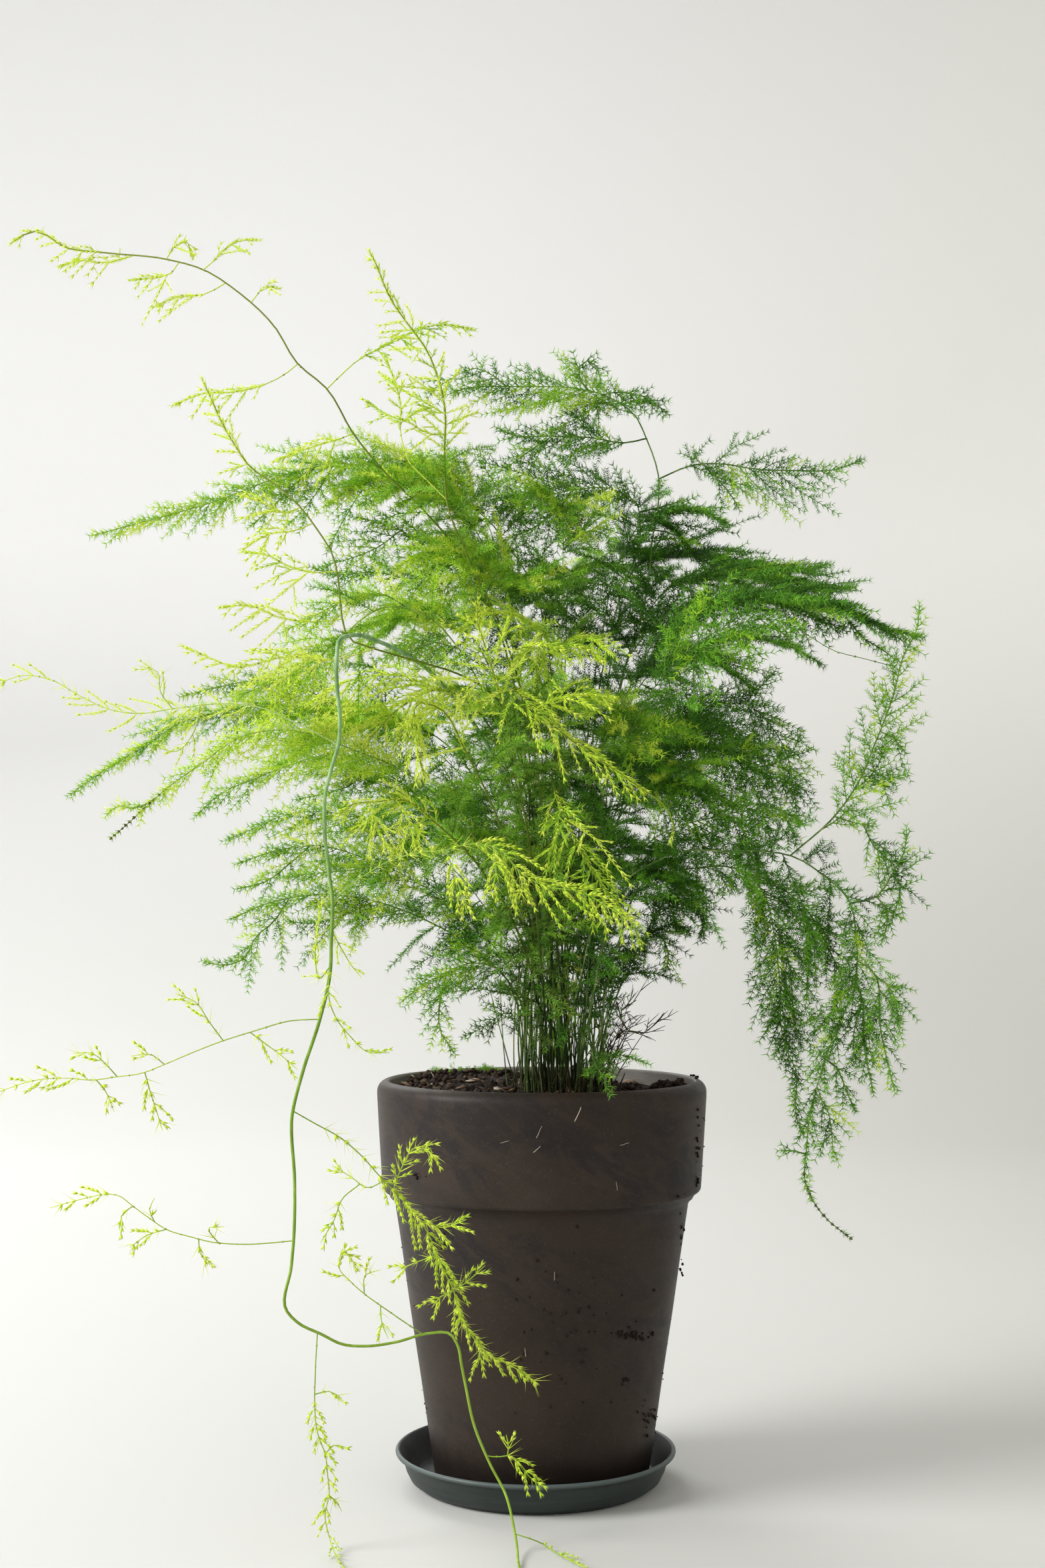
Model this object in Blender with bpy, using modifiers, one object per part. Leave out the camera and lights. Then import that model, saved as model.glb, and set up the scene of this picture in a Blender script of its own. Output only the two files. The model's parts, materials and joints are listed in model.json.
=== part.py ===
"""A lace fern (Asparagus setaceus) in a tall clay pot that stands in a plastic saucer.

Metres, +Z up. The origin is on the saucer's underside, below the middle of the pot, +X is the right of the front
view and -Y its near side. Lengths in this file are written in millimetres and scaled by MM where a mesh is made.
Each stem that leaves the soil is one solid with its side shoots, branchlets and needles, grown face by face."""
import math
import random
from collections import namedtuple

import bmesh
import bpy
import numpy as np
from mathutils import Vector
from mathutils.kdtree import KDTree

MM = 0.001

# Pot and saucer, turned shapes
SIDES_ROUND = 24
LIP_TOP = 197.0
LIP_RADIUS = 80.6
LIP_ROUND = 5.5
WALL = 6.0
COLLAR_FOOT = 143.5
COLLAR_FOOT_RADIUS = 78.0
BODY_TOP = 138.5
BODY_TOP_RADIUS = 71.7
BODY_FOOT_RADIUS = 52.2
POT_FLOOR = 9.0
DRAIN_RADIUS = 9.0
SAUCER_OFF_AXIS = -3.0
SAUCER_LIP_TOP = 17.0
SAUCER_LIP_RADIUS = 68.6
SAUCER_LIP_WIDTH = 2.4
SAUCER_WALL_RADIUS = 65.0
SAUCER_FOOT_RADIUS = 55.0
SAUCER_FLOOR_RADIUS = 56.6
SAUCER_FLOOR = 2.6
TOUCH = 0.3  # gap between pieces that rest on or in each other

# Soil
SOIL_LEVEL = 189.5
MOUND_HEIGHT = 6.0
HOLE_DEPTH = 12.0
CROWN = (9.0, 0.0)  # middle of the clump of stems on the soil
CROWN_SPREAD = (23.0, 18.0)

# The front view from which the shoots' places are read: pixels across and down, and a depth behind the pot's axis
EYE = np.array([-9.4, -992.0, 281.4])
VIEW_MIDDLE = 784.0  # across
HORIZON = 1360.0  # down, at the eye's height
VIEW_FOCAL = 3033.0
LAID = "laid"  # in place of a depth: on the surface that the saucer stands on
LAY_HEIGHT = 1.35

# Shoots
OLD_STEM = (0.75, 0.42)  # radius at the foot and at the tip
YOUNG_STEM = (0.8, 0.45)
VINE_STEM = (1.1, 0.5)
THREAD = (0.55, 0.42)
BRANCHLET = 0.4
NEEDLE = 4.6
BAND = 0.75  # length of the short ring that branchlets and needles grow out of
STEP = 3.0  # spacing of the points along a shoot
CLEARANCE = 0.55  # least gap between two shoots, branchlets or needles
GOLDEN = math.radians(137.5)
WIDEN = 1.2  # the sprays' reaches were read as those of their dense part

Spray = namedtuple("Spray", "first reach roll last gap", defaults=(None, 6.0))
Shoot = namedtuple("Shoot", "route thick spray limbs", defaults=(OLD_STEM, None, ()))
Arch = namedtuple("Arch", "name tone azimuth top reach droop leafy roll")

# A shoot's route is (across, down) in the front view, with a depth where it changes. Its spray starts at the point
# numbered first, reaches so far to each side, and lies flat at a roll of 0 or faces the viewer at 90. None whirls.
PLANT = [
    ("stem_high_right", "old", Shoot(
        [(855, 1420, 12), (890, 1200), (935, 1010), (972, 880, 22), (979, 802), (988, 714, 20), (969, 656), (952, 622),
         (932, 606), (902, 591, 12), (860, 582), (787, 580, 10), (730, 580), (699, 582), (672, 592, 6)],
        OLD_STEM, Spray(8, 17, 75), [
            Shoot([(928, 603, 14), (960, 598), (985, 607), (1004, 622, 12)], THREAD, Spray(0, 9, 60)),
            Shoot([(969, 656, 18), (936, 662), (883, 656), (825, 654), (768, 652), (742, 640, 10)], THREAD,
                  Spray(1, 15, 70)),
            Shoot([(988, 714, 20), (1030, 699), (1086, 696), (1128, 703), (1191, 706), (1254, 704), (1296, 689, 30)],
                  THREAD, Spray(1, 17, 75), [
                      Shoot([(1060, 700, 22), (1080, 722, 20), (1098, 744), (1110, 766, 20)], THREAD,
                            Spray(0, 5, 85))]),
            Shoot([(882, 586, 11), (864, 562, 9), (872, 543), (888, 541), (899, 558), (900, 586, 6)], THREAD,
                  Spray(1, 5, 85)),
        ])),
    ("stem_high_middle", "old", Shoot(
        [(862, 1420, 28), (880, 1200), (905, 1000, 34), (935, 880), (962, 805, 22), (957, 757), (915, 733),
         (860, 735, 12), (805, 748), (745, 768, 6)],
        OLD_STEM, Spray(5, 20, 40), [
            Shoot([(962, 790, 22), (990, 795), (1022, 806, 20)], THREAD),
            Shoot([(958, 762, 21), (1000, 757), (1030, 749, 24)], THREAD, Spray(0, 6, 60)),
            Shoot([(860, 735, 12), (835, 765, 10), (800, 792), (762, 808, 6)], THREAD, Spray(0, 9, 60)),
        ])),
    ("stem_right_top", "old", Shoot(
        [(868, 1420, 48), (900, 1150, 60), (925, 950, 62), (955, 850, 56), (1005, 828, 50), (1075, 839, 44),
         (1145, 850, 38), (1202, 853, 32), (1249, 846, 28)],
        OLD_STEM, Spray(3, 32, 10))),
    ("stem_right_upper", "old", Shoot(
        [(880, 1420, 12), (915, 1150), (950, 970, 8), (1000, 885, 2), (1080, 862, -6), (1180, 868, -12),
         (1233, 881, -14), (1279, 879, -16)],
        OLD_STEM, Spray(3, 32, 10))),
    ("stem_right_front", "old", Shoot(
        [(872, 1420, -28), (905, 1200, -36), (950, 1020, -42), (1020, 920, -46), (1120, 893, -50), (1200, 897, -54),
         (1251, 903), (1296, 927), (1328, 941), (1387, 955, -54)],
        OLD_STEM, Spray(3, 28, 15), [
            Shoot([(1240, 902, -54), (1272, 930), (1296, 958), (1325, 975), (1346, 992, -50)], THREAD,
                  Spray(0, 5, 30, 3)),
        ])),
    ("stem_right_lower", "old", Shoot(
        [(880, 1430, -58), (925, 1180, -66), (990, 1020, -74), (1070, 950, -80), (1174, 932, -82), (1216, 955),
         (1251, 976), (1293, 987), (1342, 1000, -80)],
        OLD_STEM, Spray(2, 20, 55, 5), [
            Shoot([(1115, 935, -81), (1123, 965), (1126, 1006, -81)], THREAD, Spray(0, 6, 90)),
            Shoot([(1160, 933, -82), (1183, 957), (1207, 983, -82)], THREAD, Spray(0, 5, 90)),
            Shoot([(1050, 958, -79), (1042, 1005), (1042, 1057, -79)], THREAD, Spray(0, 6, 90)),
        ])),
    ("stem_right_back", "old", Shoot(
        [(872, 1420, 88), (905, 1180, 100), (960, 1010, 104), (1030, 930, 104), (1110, 900, 100), (1180, 905, 94),
         (1240, 935, 86)],
        OLD_STEM, Spray(2, 34, 10))),
    ("stem_right_wiry", "old", Shoot(
        [(898, 1500, -38), (920, 1390, -50), (945, 1318, -58), (982, 1294, -62), (1026, 1277, -64), (1090, 1277),
         (1152, 1277), (1192, 1285, -62), (1235, 1310), (1283, 1356, -60), (1293, 1400), (1296, 1440), (1292, 1480),
         (1275, 1520), (1251, 1571), (1232, 1619), (1215, 1676), (1210, 1724), (1208, 1772), (1217, 1796),
         (1241, 1829), (1275, 1856, -60)],
        OLD_STEM, Spray(9, 10, None, 19, 5.0), [
            Shoot([(1192, 1285, -62), (1256, 1223), (1285, 1182), (1314, 1115), (1339, 1049), (1360, 974), (1373, 952),
                   (1380, 905, -56)], THREAD, Spray(1, 18, 80)),
            Shoot([(1283, 1356, -60), (1318, 1345), (1340, 1310), (1358, 1275), (1360, 1240, -62)], THREAD,
                  Spray(1, 9, 90), [
                      Shoot([(1318, 1345, -60), (1333, 1368), (1331, 1389), (1322, 1415, -58)], THREAD,
                            Spray(0, 7, 90))]),
            Shoot([(1297, 1435, -60), (1318, 1455, -64), (1325, 1485), (1322, 1520), (1326, 1560), (1334, 1600),
                   (1343, 1640, -64)], THREAD, Spray(1, 9, None)),
            Shoot([(1294, 1470, -60), (1301, 1500, -57), (1300, 1530), (1298, 1566), (1304, 1605), (1311, 1643, -56)],
                  THREAD, Spray(1, 8, None)),
            Shoot([(1247, 1582, -60), (1260, 1600), (1270, 1635), (1284, 1667, -60)], THREAD, Spray(0, 7, None)),
            Shoot([(1210, 1730, -60), (1188, 1725), (1168, 1726, -60)], THREAD, Spray(0, 4, 90)),
        ])),
    ("stem_right_drooping", "old", Shoot(
        [(890, 1520, -15), (922, 1400, -25), (955, 1330, -33), (1000, 1308, -36), (1045, 1302, -38), (1090, 1300),
         (1120, 1312), (1141, 1346), (1150, 1400), (1158, 1485), (1162, 1542), (1175, 1580), (1189, 1604),
         (1193, 1640), (1195, 1676), (1206, 1704, -38)],
        OLD_STEM, Spray(5, 11, 85, None, 5.0), [
            Shoot([(1118, 1311, -38), (1150, 1318, -41), (1170, 1332), (1208, 1365), (1230, 1400), (1245, 1430),
                   (1262, 1466), (1263, 1490), (1245, 1522), (1213, 1557, -42)], THREAD, Spray(1, 11, 80), [
                       Shoot([(1200, 1358, -41), (1213, 1400, -44), (1212, 1450), (1210, 1504, -45)], THREAD,
                             Spray(0, 7, None))]),
        ])),
    ("stem_right_mid_up", "old", Shoot(
        [(880, 1420, 35), (920, 1250, 46), (970, 1130, 50), (1020, 1070, 48), (1065, 1053), (1107, 1049), (1144, 1028),
         (1165, 1003, 38)],
        OLD_STEM, Spray(2, 20, 75))),
    ("stem_right_mid", "old", Shoot(
        [(890, 1430, 0), (930, 1280, -8), (970, 1150, -12), (1010, 1105, -14), (1050, 1103), (1090, 1119),
         (1152, 1157), (1200, 1194, -20)],
        OLD_STEM, Spray(2, 27, 75), [
            Shoot([(1150, 1156, -17), (1180, 1140), (1198, 1110), (1202, 1098, -14)], THREAD, Spray(0, 8, 85)),
        ])),
    ("stem_right_mid_low", "old", Shoot(
        [(895, 1450, -24), (940, 1330, -38), (975, 1262, -46), (1007, 1244), (1090, 1223), (1173, 1215),
         (1206, 1236, -50)],
        OLD_STEM, Spray(2, 15, 60))),
    ("stem_right_dark", "old", Shoot(
        [(885, 1400, 62), (930, 1200, 72), (985, 1090, 76), (1050, 1075, 76), (1110, 1100, 72), (1150, 1150, 70)],
        OLD_STEM, Spray(1, 26, 40))),
    ("stem_right_low", "old", Shoot(
        [(905, 1540, 10), (948, 1430, 18), (985, 1370, 22), (1020, 1352, 24), (1050, 1372, 26), (1045, 1410, 26)],
        OLD_STEM, Spray(2, 14, 50), [
            Shoot([(966, 1395, 20), (990, 1405), (1003, 1440), (996, 1462, 20)], THREAD, Spray(0, 7, 80)),
        ])),
    ("stem_left_top", "old", Shoot(
        [(828, 1400, 0), (818, 1050, 8), (806, 895, 10), (758, 811, 8), (727, 773, 5), (690, 735, 0), (640, 705, -4),
         (577, 688), (531, 698, -8), (459, 703), (398, 723), (332, 749, -12), (270, 768), (204, 786), (135, 804, -12)],
        OLD_STEM, Spray(5, 17, 55), [
            Shoot([(459, 703, -10), (440, 725), (410, 760), (372, 792, -14)], THREAD, Spray(0, 7, 70)),
        ])),
    ("stem_left_far", "old", Shoot(
        [(800, 1420, 42), (735, 1220, 50), (630, 1110, 48), (520, 1070, 44), (400, 1060, 40), (320, 1070, 36),
         (265, 1087, 34), (230, 1112), (168, 1148), (102, 1194, 30)],
        OLD_STEM, Spray(2, 17, 40))),
    ("stem_left_mid", "mid", Shoot(
        [(795, 1420, -34), (715, 1260, -58), (610, 1160, -68), (520, 1120, -74), (430, 1095, -74), (357, 1107, -72),
         (306, 1143), (255, 1179), (214, 1215, -70), (190, 1237), (168, 1256, -70)],
        OLD_STEM, Spray(2, 13, 60, 8), [
            Shoot([(238, 1194, -71), (205, 1212), (173, 1209), (158, 1226, -66)], THREAD, Spray(0, 3, 80)),
        ])),
    ("stem_left_inner", "old", Shoot(
        [(790, 1430, 12), (720, 1300, 14), (640, 1205, 12), (560, 1150, 8), (500, 1132, 6), (434, 1148), (383, 1168),
         (332, 1190), (291, 1227, 4)],
        OLD_STEM, Spray(2, 16, 55))),
    ("stem_left_low", "old", Shoot(
        [(785, 1450, -12), (725, 1350, -18), (640, 1270, -22), (540, 1228, -24), (470, 1217), (423, 1224), (388, 1240),
         (334, 1262, -24)],
        OLD_STEM, Spray(2, 15, 50))),
    ("stem_left_lower", "old", Shoot(
        [(780, 1470, 22), (720, 1390, 28), (640, 1330, 28), (550, 1288, 24), (470, 1268), (408, 1278), (353, 1297, 20)],
        OLD_STEM, Spray(2, 14, 50), [
            Shoot([(470, 1268, 22), (435, 1295), (400, 1322), (352, 1334, 16)], THREAD, Spray(0, 8, 60)),
        ])),
    ("stem_left_lowest", "old", Shoot(
        [(776, 1480, 44), (715, 1420, 54), (640, 1378, 58), (560, 1350, 58), (480, 1342, 54), (415, 1352), (348, 1380, 50)],
        OLD_STEM, Spray(2, 15, 50), [
            Shoot([(440, 1348, 52), (410, 1385), (385, 1405), (366, 1438), (335, 1448), (303, 1441, 48)], THREAD,
                  Spray(0, 8, 75)),
        ])),
    ("stem_left_arch", "mid", Shoot(
        [(822, 1400, -42), (785, 1200, -66), (735, 1060, -80), (690, 975, -86), (650, 930, -88), (612, 912, -90),
         (575, 911), (545, 927), (515, 955, -88), (480, 985), (440, 1008), (400, 1028), (350, 1045, -84)],
        YOUNG_STEM, Spray(8, 15, 60))),
    ("stem_left_upshoot", "young", Shoot(
        [(815, 1420, -30), (795, 1240, -58), (772, 1100, -80), (740, 1042, -92), (690, 1012, -98), (620, 990, -104),
         (560, 972, -108), (524, 957), (512, 920, -108), (510, 893), (497, 827), (480, 800), (449, 759), (408, 723),
         (378, 703), (352, 667), (332, 632), (316, 596), (304, 570, -104)],
        YOUNG_STEM, Spray(14, 6, 90), [
            Shoot([(511, 925, -108), (460, 932), (415, 925), (375, 908), (332, 911, -112)], THREAD, Spray(1, 7, 80)),
            Shoot([(504, 860, -108), (470, 858), (430, 848), (400, 832), (365, 828, -104)], THREAD, Spray(1, 8, 80)),
            Shoot([(470, 787, -108), (440, 796), (405, 800), (367, 822, -110)], THREAD, Spray(1, 7, 80)),
            Shoot([(449, 759, -108), (425, 770), (400, 755), (360, 742, -110)], THREAD, Spray(0, 9, 80)),
            Shoot([(560, 972, -108), (500, 990, -116), (430, 985), (350, 1000, -120), (310, 985), (276, 970, -120)],
                  THREAD, Spray(1, 9, 75)),
        ])),
    ("stem_upper_left_vine", "young", Shoot(
        [(812, 1400, -14), (790, 1150, -30), (750, 950, -44), (690, 830, -50), (635, 765, -52), (577, 708, -52),
         (531, 652), (490, 583), (446, 545), (411, 489), (357, 438), (306, 405), (250, 389), (153, 379), (97, 371),
         (66, 351), (50, 347), (18, 364, -52)],
        YOUNG_STEM, Spray(13, 4, 90), [
            Shoot([(531, 651, -52), (515, 655), (480, 666), (445, 678), (412, 692, -52)], THREAD, Spray(1, 5, 80)),
            Shoot([(490, 583, -52), (515, 558, -54), (541, 537), (571, 522), (600, 508), (627, 494), (665, 487),
                   (709, 494, -54)], THREAD, Spray(2, 4, 80)),
            Shoot([(446, 545, -52), (427, 560), (395, 577), (350, 588), (305, 590), (260, 608, -52)], THREAD,
                  Spray(2, 4, 80)),
            Shoot([(372, 451, -52), (386, 440), (395, 430), (417, 432, -52)], THREAD, Spray(1, 3, 80)),
            Shoot([(306, 405, -52), (316, 394), (334, 376), (357, 361), (388, 360, -52)], THREAD, Spray(1, 4, 80)),
            Shoot([(340, 425, -52), (306, 441), (270, 444), (232, 460, -46)], THREAD, Spray(1, 4, 80)),
            Shoot([(250, 389, -52), (262, 368), (278, 362), (288, 385, -50)], THREAD, Spray(0, 3, 80)),
            Shoot([(270, 395, -52), (255, 410), (225, 417), (196, 420, -48)], THREAD, Spray(1, 4, 80)),
            Shoot([(195, 384, -52), (150, 394), (120, 389), (90, 400, -50)], THREAD, Spray(0, 4, 80)),
        ])),
    ("stem_top_shoot", "young", Shoot(
        [(826, 1400, -22), (805, 1150, -46), (755, 950, -66), (700, 830, -72), (672, 760, -72), (667, 680), (668, 620),
         (664, 590), (655, 560), (640, 525), (615, 490), (590, 455), (578, 432), (566, 400), (555, 378, -68)],
        YOUNG_STEM, Spray(5, 11, 85, None, 5.0), [
            Shoot([(668, 655, -72), (648, 652), (610, 635), (575, 618), (546, 600, -76)], THREAD, Spray(0, 4, 80)),
            Shoot([(668, 620, -72), (640, 605), (612, 590), (585, 572), (570, 560, -66)], THREAD, Spray(0, 4, 80)),
            Shoot([(671, 745, -72), (640, 720), (612, 690), (602, 640), (600, 610), (592, 570), (577, 537, -76)], THREAD,
                  Spray(3, 5, 85)),
        ])),
    ("stem_low_left", "mid", Shoot(
        [(773, 1500, -4), (746, 1453, -8), (708, 1444, -12), (666, 1460), (634, 1477), (600, 1504, -14)], OLD_STEM,
        Spray(1, 13, 45), [
            Shoot([(672, 1458, -12), (660, 1500), (660, 1545), (684, 1582, -12)], THREAD, Spray(0, 6, 90)),
        ])),
    ("stem_low_small", "mid", Shoot(
        [(782, 1560, -26), (757, 1518, -34), (732, 1537, -38), (694, 1556, -40)], THREAD, Spray(0, 6, 40))),
    ("stem_front_low", "mid", Shoot(
        [(805, 1480, -22), (772, 1400, -38), (745, 1360, -50), (752, 1385, -64), (752, 1432, -70)], YOUNG_STEM,
        Spray(1, 10, None))),
    ("stem_front_hanging", "young", Shoot(
        [(832, 1420, -34), (838, 1260, -58), (828, 1160, -80), (832, 1185, -100), (857, 1247, -108), (881, 1290),
         (905, 1328), (929, 1357), (958, 1395, -110), (966, 1420, -110)], YOUNG_STEM, Spray(3, 10, 85))),
    ("stem_front_right", "young", Shoot(
        [(840, 1420, -20), (850, 1250, -50), (815, 1080, -74), (772, 1030, -92), (800, 1062, -108), (848, 1103),
         (896, 1137), (934, 1163, -112), (966, 1185), (999, 1211), (1011, 1236), (1007, 1260, -112)],
        YOUNG_STEM, Spray(3, 13, 80, 8), [
            Shoot([(800, 1062, -108), (832, 1048), (872, 1041), (920, 1046, -110)], THREAD, Spray(0, 9, 60)),
        ])),
    ("stem_front_upper", "young", Shoot(
        [(835, 1420, -52), (815, 1220, -78), (785, 1050, -92), (765, 985, -100), (790, 968, -106), (830, 966),
         (872, 970), (905, 990, -104)], YOUNG_STEM, Spray(2, 13, 70))),
    ("stem_front_left", "young", Shoot(
        [(805, 1440, -48), (770, 1290, -80), (700, 1130, -100), (655, 1060, -112), (624, 1055, -116), (622, 1090),
         (628, 1130), (638, 1170, -116)], YOUNG_STEM, Spray(2, 14, 75))),
    ("stem_front_buds", "young", Shoot(
        [(822, 1440, -60), (790, 1240, -88), (755, 1060, -100), (728, 970, -104), (716, 930), (718, 900, -102)],
        YOUNG_STEM, Spray(2, 14, 70), [
            Shoot([(735, 990, -103), (752, 965), (762, 930, -106)], THREAD, Spray(0, 6, 80)),
        ])),
    ("stem_front_lower_left", "young", Shoot(
        [(798, 1470, -40), (740, 1330, -70), (660, 1240, -92), (600, 1199, -104), (565, 1203, -108), (530, 1206),
         (505, 1225, -108)], YOUNG_STEM, Spray(2, 11, 75), [
            Shoot([(590, 1200, -105), (613, 1233), (623, 1272, -112)], THREAD, Spray(0, 6, 85)),
            Shoot([(545, 1204, -108), (566, 1245), (585, 1275, -114)], THREAD, Spray(0, 6, 85)),
        ])),
    ("stem_rim_sprig", "mid", Shoot(
        [(886, 1575, -34), (890, 1588, -58), (898, 1604, -78), (908, 1622, -86), (916, 1642, -89)], THREAD,
        Spray(1, 6, 30))),
    ("dead_twigs", "dry", Shoot(
        [(912, 1585, 24), (938, 1545, 30), (962, 1551), (988, 1532, 32)], THREAD, None, [
            Shoot([(938, 1545, 30), (930, 1520), (955, 1500, 26)], THREAD),
        ])),
    ("long_vine", "vine", Shoot(
        [(822, 1440, -18), (790, 1260, -40), (720, 1100, -62), (640, 1003, -80), (570, 963, -100), (528, 953, -114),
         (509, 960, -121), (505, 990, -123), (506, 1036, -122), (510, 1077), (508, 1115), (497, 1153), (487, 1199),
         (487, 1240), (491, 1304), (494, 1366, -118), (491, 1400), (488, 1459), (473, 1530), (451, 1606), (438, 1673),
         (442, 1771), (441, 1852), (437, 1900), (430, 1966, -108), (447, 1984), (482, 2001), (513, 2016), (549, 2019),
         (594, 2013), (643, 2000, -101), (676, 2001), (688, 2021), (692, 2044, -100), (699, 2080), (711, 2136),
         (734, 2193, -99), (760, 2245, -101), (773, 2302, -108), (778, 2345, LAID), (790, 2400, LAID),
         (830, 2452, LAID), (900, 2490, LAID)],
        VINE_STEM, Spray(39, 6, 0), [
            Shoot([(508, 1115, -122), (444, 1084), (383, 1059), (337, 1055), (265, 1062), (204, 1070), (168, 1065),
                   (122, 1045), (77, 1020), (36, 1013), (0, 1025), (-22, 1042, -116)], THREAD, Spray(2, 8, 80), [
                       Shoot([(265, 1062, -119), (240, 1035), (238, 1010), (205, 998, -119)], THREAD, Spray(0, 4, 80)),
                       Shoot([(300, 1058, -120), (290, 1100), (262, 1128), (235, 1120, -126)], THREAD,
                             Spray(0, 5, 80)),
                   ]),
            Shoot([(493, 1360, -118), (515, 1335), (545, 1312), (585, 1290), (633, 1278), (666, 1275), (704, 1266),
                   (752, 1276), (776, 1304), (814, 1328), (872, 1338), (920, 1365), (950, 1385, -122)], THREAD,
                  Spray(6, 9, 85), [
                      Shoot([(666, 1275, -120), (680, 1310), (692, 1340), (702, 1371, -124)], THREAD, Spray(0, 4, 85)),
                      Shoot([(733, 1270, -120), (743, 1310), (735, 1345, -126)], THREAD, Spray(0, 4, 85)),
                      Shoot([(776, 1304, -120), (783, 1330), (778, 1349, -126)], THREAD, Spray(0, 4, 85)),
                  ]),
            Shoot([(489, 1300, -119), (470, 1275), (449, 1247), (441, 1204, -124)], THREAD, Spray(0, 7, 80)),
            Shoot([(491, 1399, -117), (510, 1425), (528, 1450), (543, 1467, -120)], THREAD, Spray(0, 3, 80)),
            Shoot([(489, 1450, -116), (475, 1470), (470, 1430), (478, 1385), (486, 1340, -108)], THREAD,
                  Spray(0, 5, 80)),
            Shoot([(489, 1455, -116), (490, 1499, -120), (504, 1530), (527, 1557), (549, 1577), (585, 1579, -122)],
                  THREAD, Spray(0, 4, 80)),
            Shoot([(473, 1530, -115), (429, 1532), (371, 1548), (328, 1562), (290, 1577), (246, 1596), (210, 1610),
                   (174, 1615), (138, 1620), (98, 1617), (54, 1620), (0, 1637), (-20, 1645, -115)], THREAD,
                  Spray(8, 4, 80), [
                      Shoot([(371, 1548, -115), (395, 1565), (420, 1582), (446, 1604, -120)], THREAD,
                            Spray(0, 4, 80)),
                      Shoot([(328, 1562, -115), (310, 1530), (295, 1505), (263, 1490, -115)], THREAD,
                            Spray(0, 5, 80)),
                      Shoot([(210, 1610, -115), (225, 1640), (235, 1668), (244, 1697, -115)], THREAD,
                            Spray(0, 4, 80)),
                      Shoot([(174, 1615, -115), (158, 1597), (138, 1580), (108, 1580, -115)], THREAD,
                            Spray(1, 3, 80)),
                      Shoot([(138, 1620, -115), (158, 1638), (171, 1668, -115)], THREAD, Spray(0, 3, 80)),
                      Shoot([(244, 1597, -115), (225, 1582), (197, 1584, -115)], THREAD, Spray(0, 3, 80)),
                  ]),
            Shoot([(438, 1676, -112), (473, 1689), (504, 1704), (540, 1733), (571, 1767), (598, 1794), (625, 1825),
                   (643, 1852), (654, 1879), (670, 1914), (684, 1946), (690, 1980), (715, 2012), (734, 2032),
                   (766, 2048), (807, 2075, -88)], THREAD, Spray(4, 5, None), [
                       Shoot([(590, 1786, -106), (604, 1750), (622, 1722), (645, 1722), (648, 1748, -108)], THREAD,
                             Spray(0, 4, 80)),
                       Shoot([(576, 1772, -107), (553, 1783), (527, 1766), (498, 1748, -100)], THREAD,
                             Spray(1, 3, 80), [
                                 Shoot([(540, 1775, -104), (512, 1801), (503, 1826), (480, 1865, -100)], THREAD,
                                       Spray(1, 3, 80))]),
                       Shoot([(632, 1837, -103), (665, 1842), (700, 1829, -106)], THREAD, Spray(0, 4, 80)),
                       Shoot([(656, 1882, -100), (628, 1893), (592, 1908, -102)], THREAD, Spray(0, 5, 80)),
                       Shoot([(680, 1935, -96), (663, 1945), (648, 1962, -98)], THREAD, Spray(0, 3, 80)),
                       Shoot([(682, 1940, -96), (705, 1920), (728, 1898, -98)], THREAD, Spray(0, 3, 80)),
                       Shoot([(715, 2012, -92), (721, 2030), (716, 2052, -94)], THREAD, Spray(0, 3, 80)),
                   ]),
            Shoot([(441, 1871, -110), (379, 1868), (312, 1863), (286, 1856), (250, 1845), (223, 1827), (196, 1807),
                   (179, 1794), (163, 1791), (134, 1796), (74, 1812, -110)], THREAD, Spray(8, 3, 80), [
                       Shoot([(325, 1864, -110), (312, 1843), (337, 1840, -112)], THREAD, Spray(0, 3, 80)),
                       Shoot([(296, 1859, -110), (300, 1880), (312, 1896, -110)], THREAD, Spray(0, 3, 80)),
                       Shoot([(250, 1845, -110), (222, 1852), (194, 1872, -110)], THREAD, Spray(0, 3, 80)),
                       Shoot([(228, 1831, -110), (224, 1815), (232, 1796, -110)], THREAD, Spray(0, 3, 80)),
                       Shoot([(200, 1810, -110), (183, 1822), (179, 1846, -110)], THREAD, Spray(0, 3, 80)),
                   ]),
            Shoot([(484, 2002, -107), (475, 2057), (473, 2103), (478, 2153), (488, 2180), (492, 2214), (494, 2245),
                   (488, 2268), (494, 2306, -109), (504, 2334, LAID), (526, 2366, LAID)], THREAD, Spray(2, 3, 80), [
                       Shoot([(474, 2090, -107), (495, 2088), (513, 2098, -107)], THREAD, Spray(0, 3, 80)),
                       Shoot([(487, 2178, -107), (500, 2169), (519, 2171, -107)], THREAD, Spray(0, 3, 80)),
                       Shoot([(494, 2240, -107), (503, 2252), (513, 2268, -107)], THREAD, Spray(0, 3, 80)),
                   ]),
            Shoot([(636, 2002, -101), (622, 1990, -104), (576, 1961), (545, 1939), (527, 1923), (508, 1900), (513, 1878),
                   (541, 1906, -106)], THREAD, Spray(4, 3, 80), [
                       Shoot([(546, 1939, -105), (549, 1914), (571, 1905, -105)], THREAD, Spray(0, 3, 80)),
                       Shoot([(572, 1959, -105), (574, 1985, -109), (583, 2008, -110)], THREAD, Spray(0, 3, 80)),
                   ]),
            Shoot([(733, 2193, -99), (748, 2189), (765, 2186), (780, 2196), (797, 2218), (818, 2232, -98)], THREAD,
                  Spray(2, 3, 80), [
                      Shoot([(763, 2186, -99), (764, 2170), (760, 2153, -99)], THREAD, Spray(0, 3, 80)),
                  ]),
            Shoot([(774, 2306, -108), (795, 2311, -110), (814, 2317, LAID), (832, 2328, LAID), (853, 2339, LAID),
                   (878, 2352, LAID)], THREAD, Spray(3, 3, 20)),
        ])),
]

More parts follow.
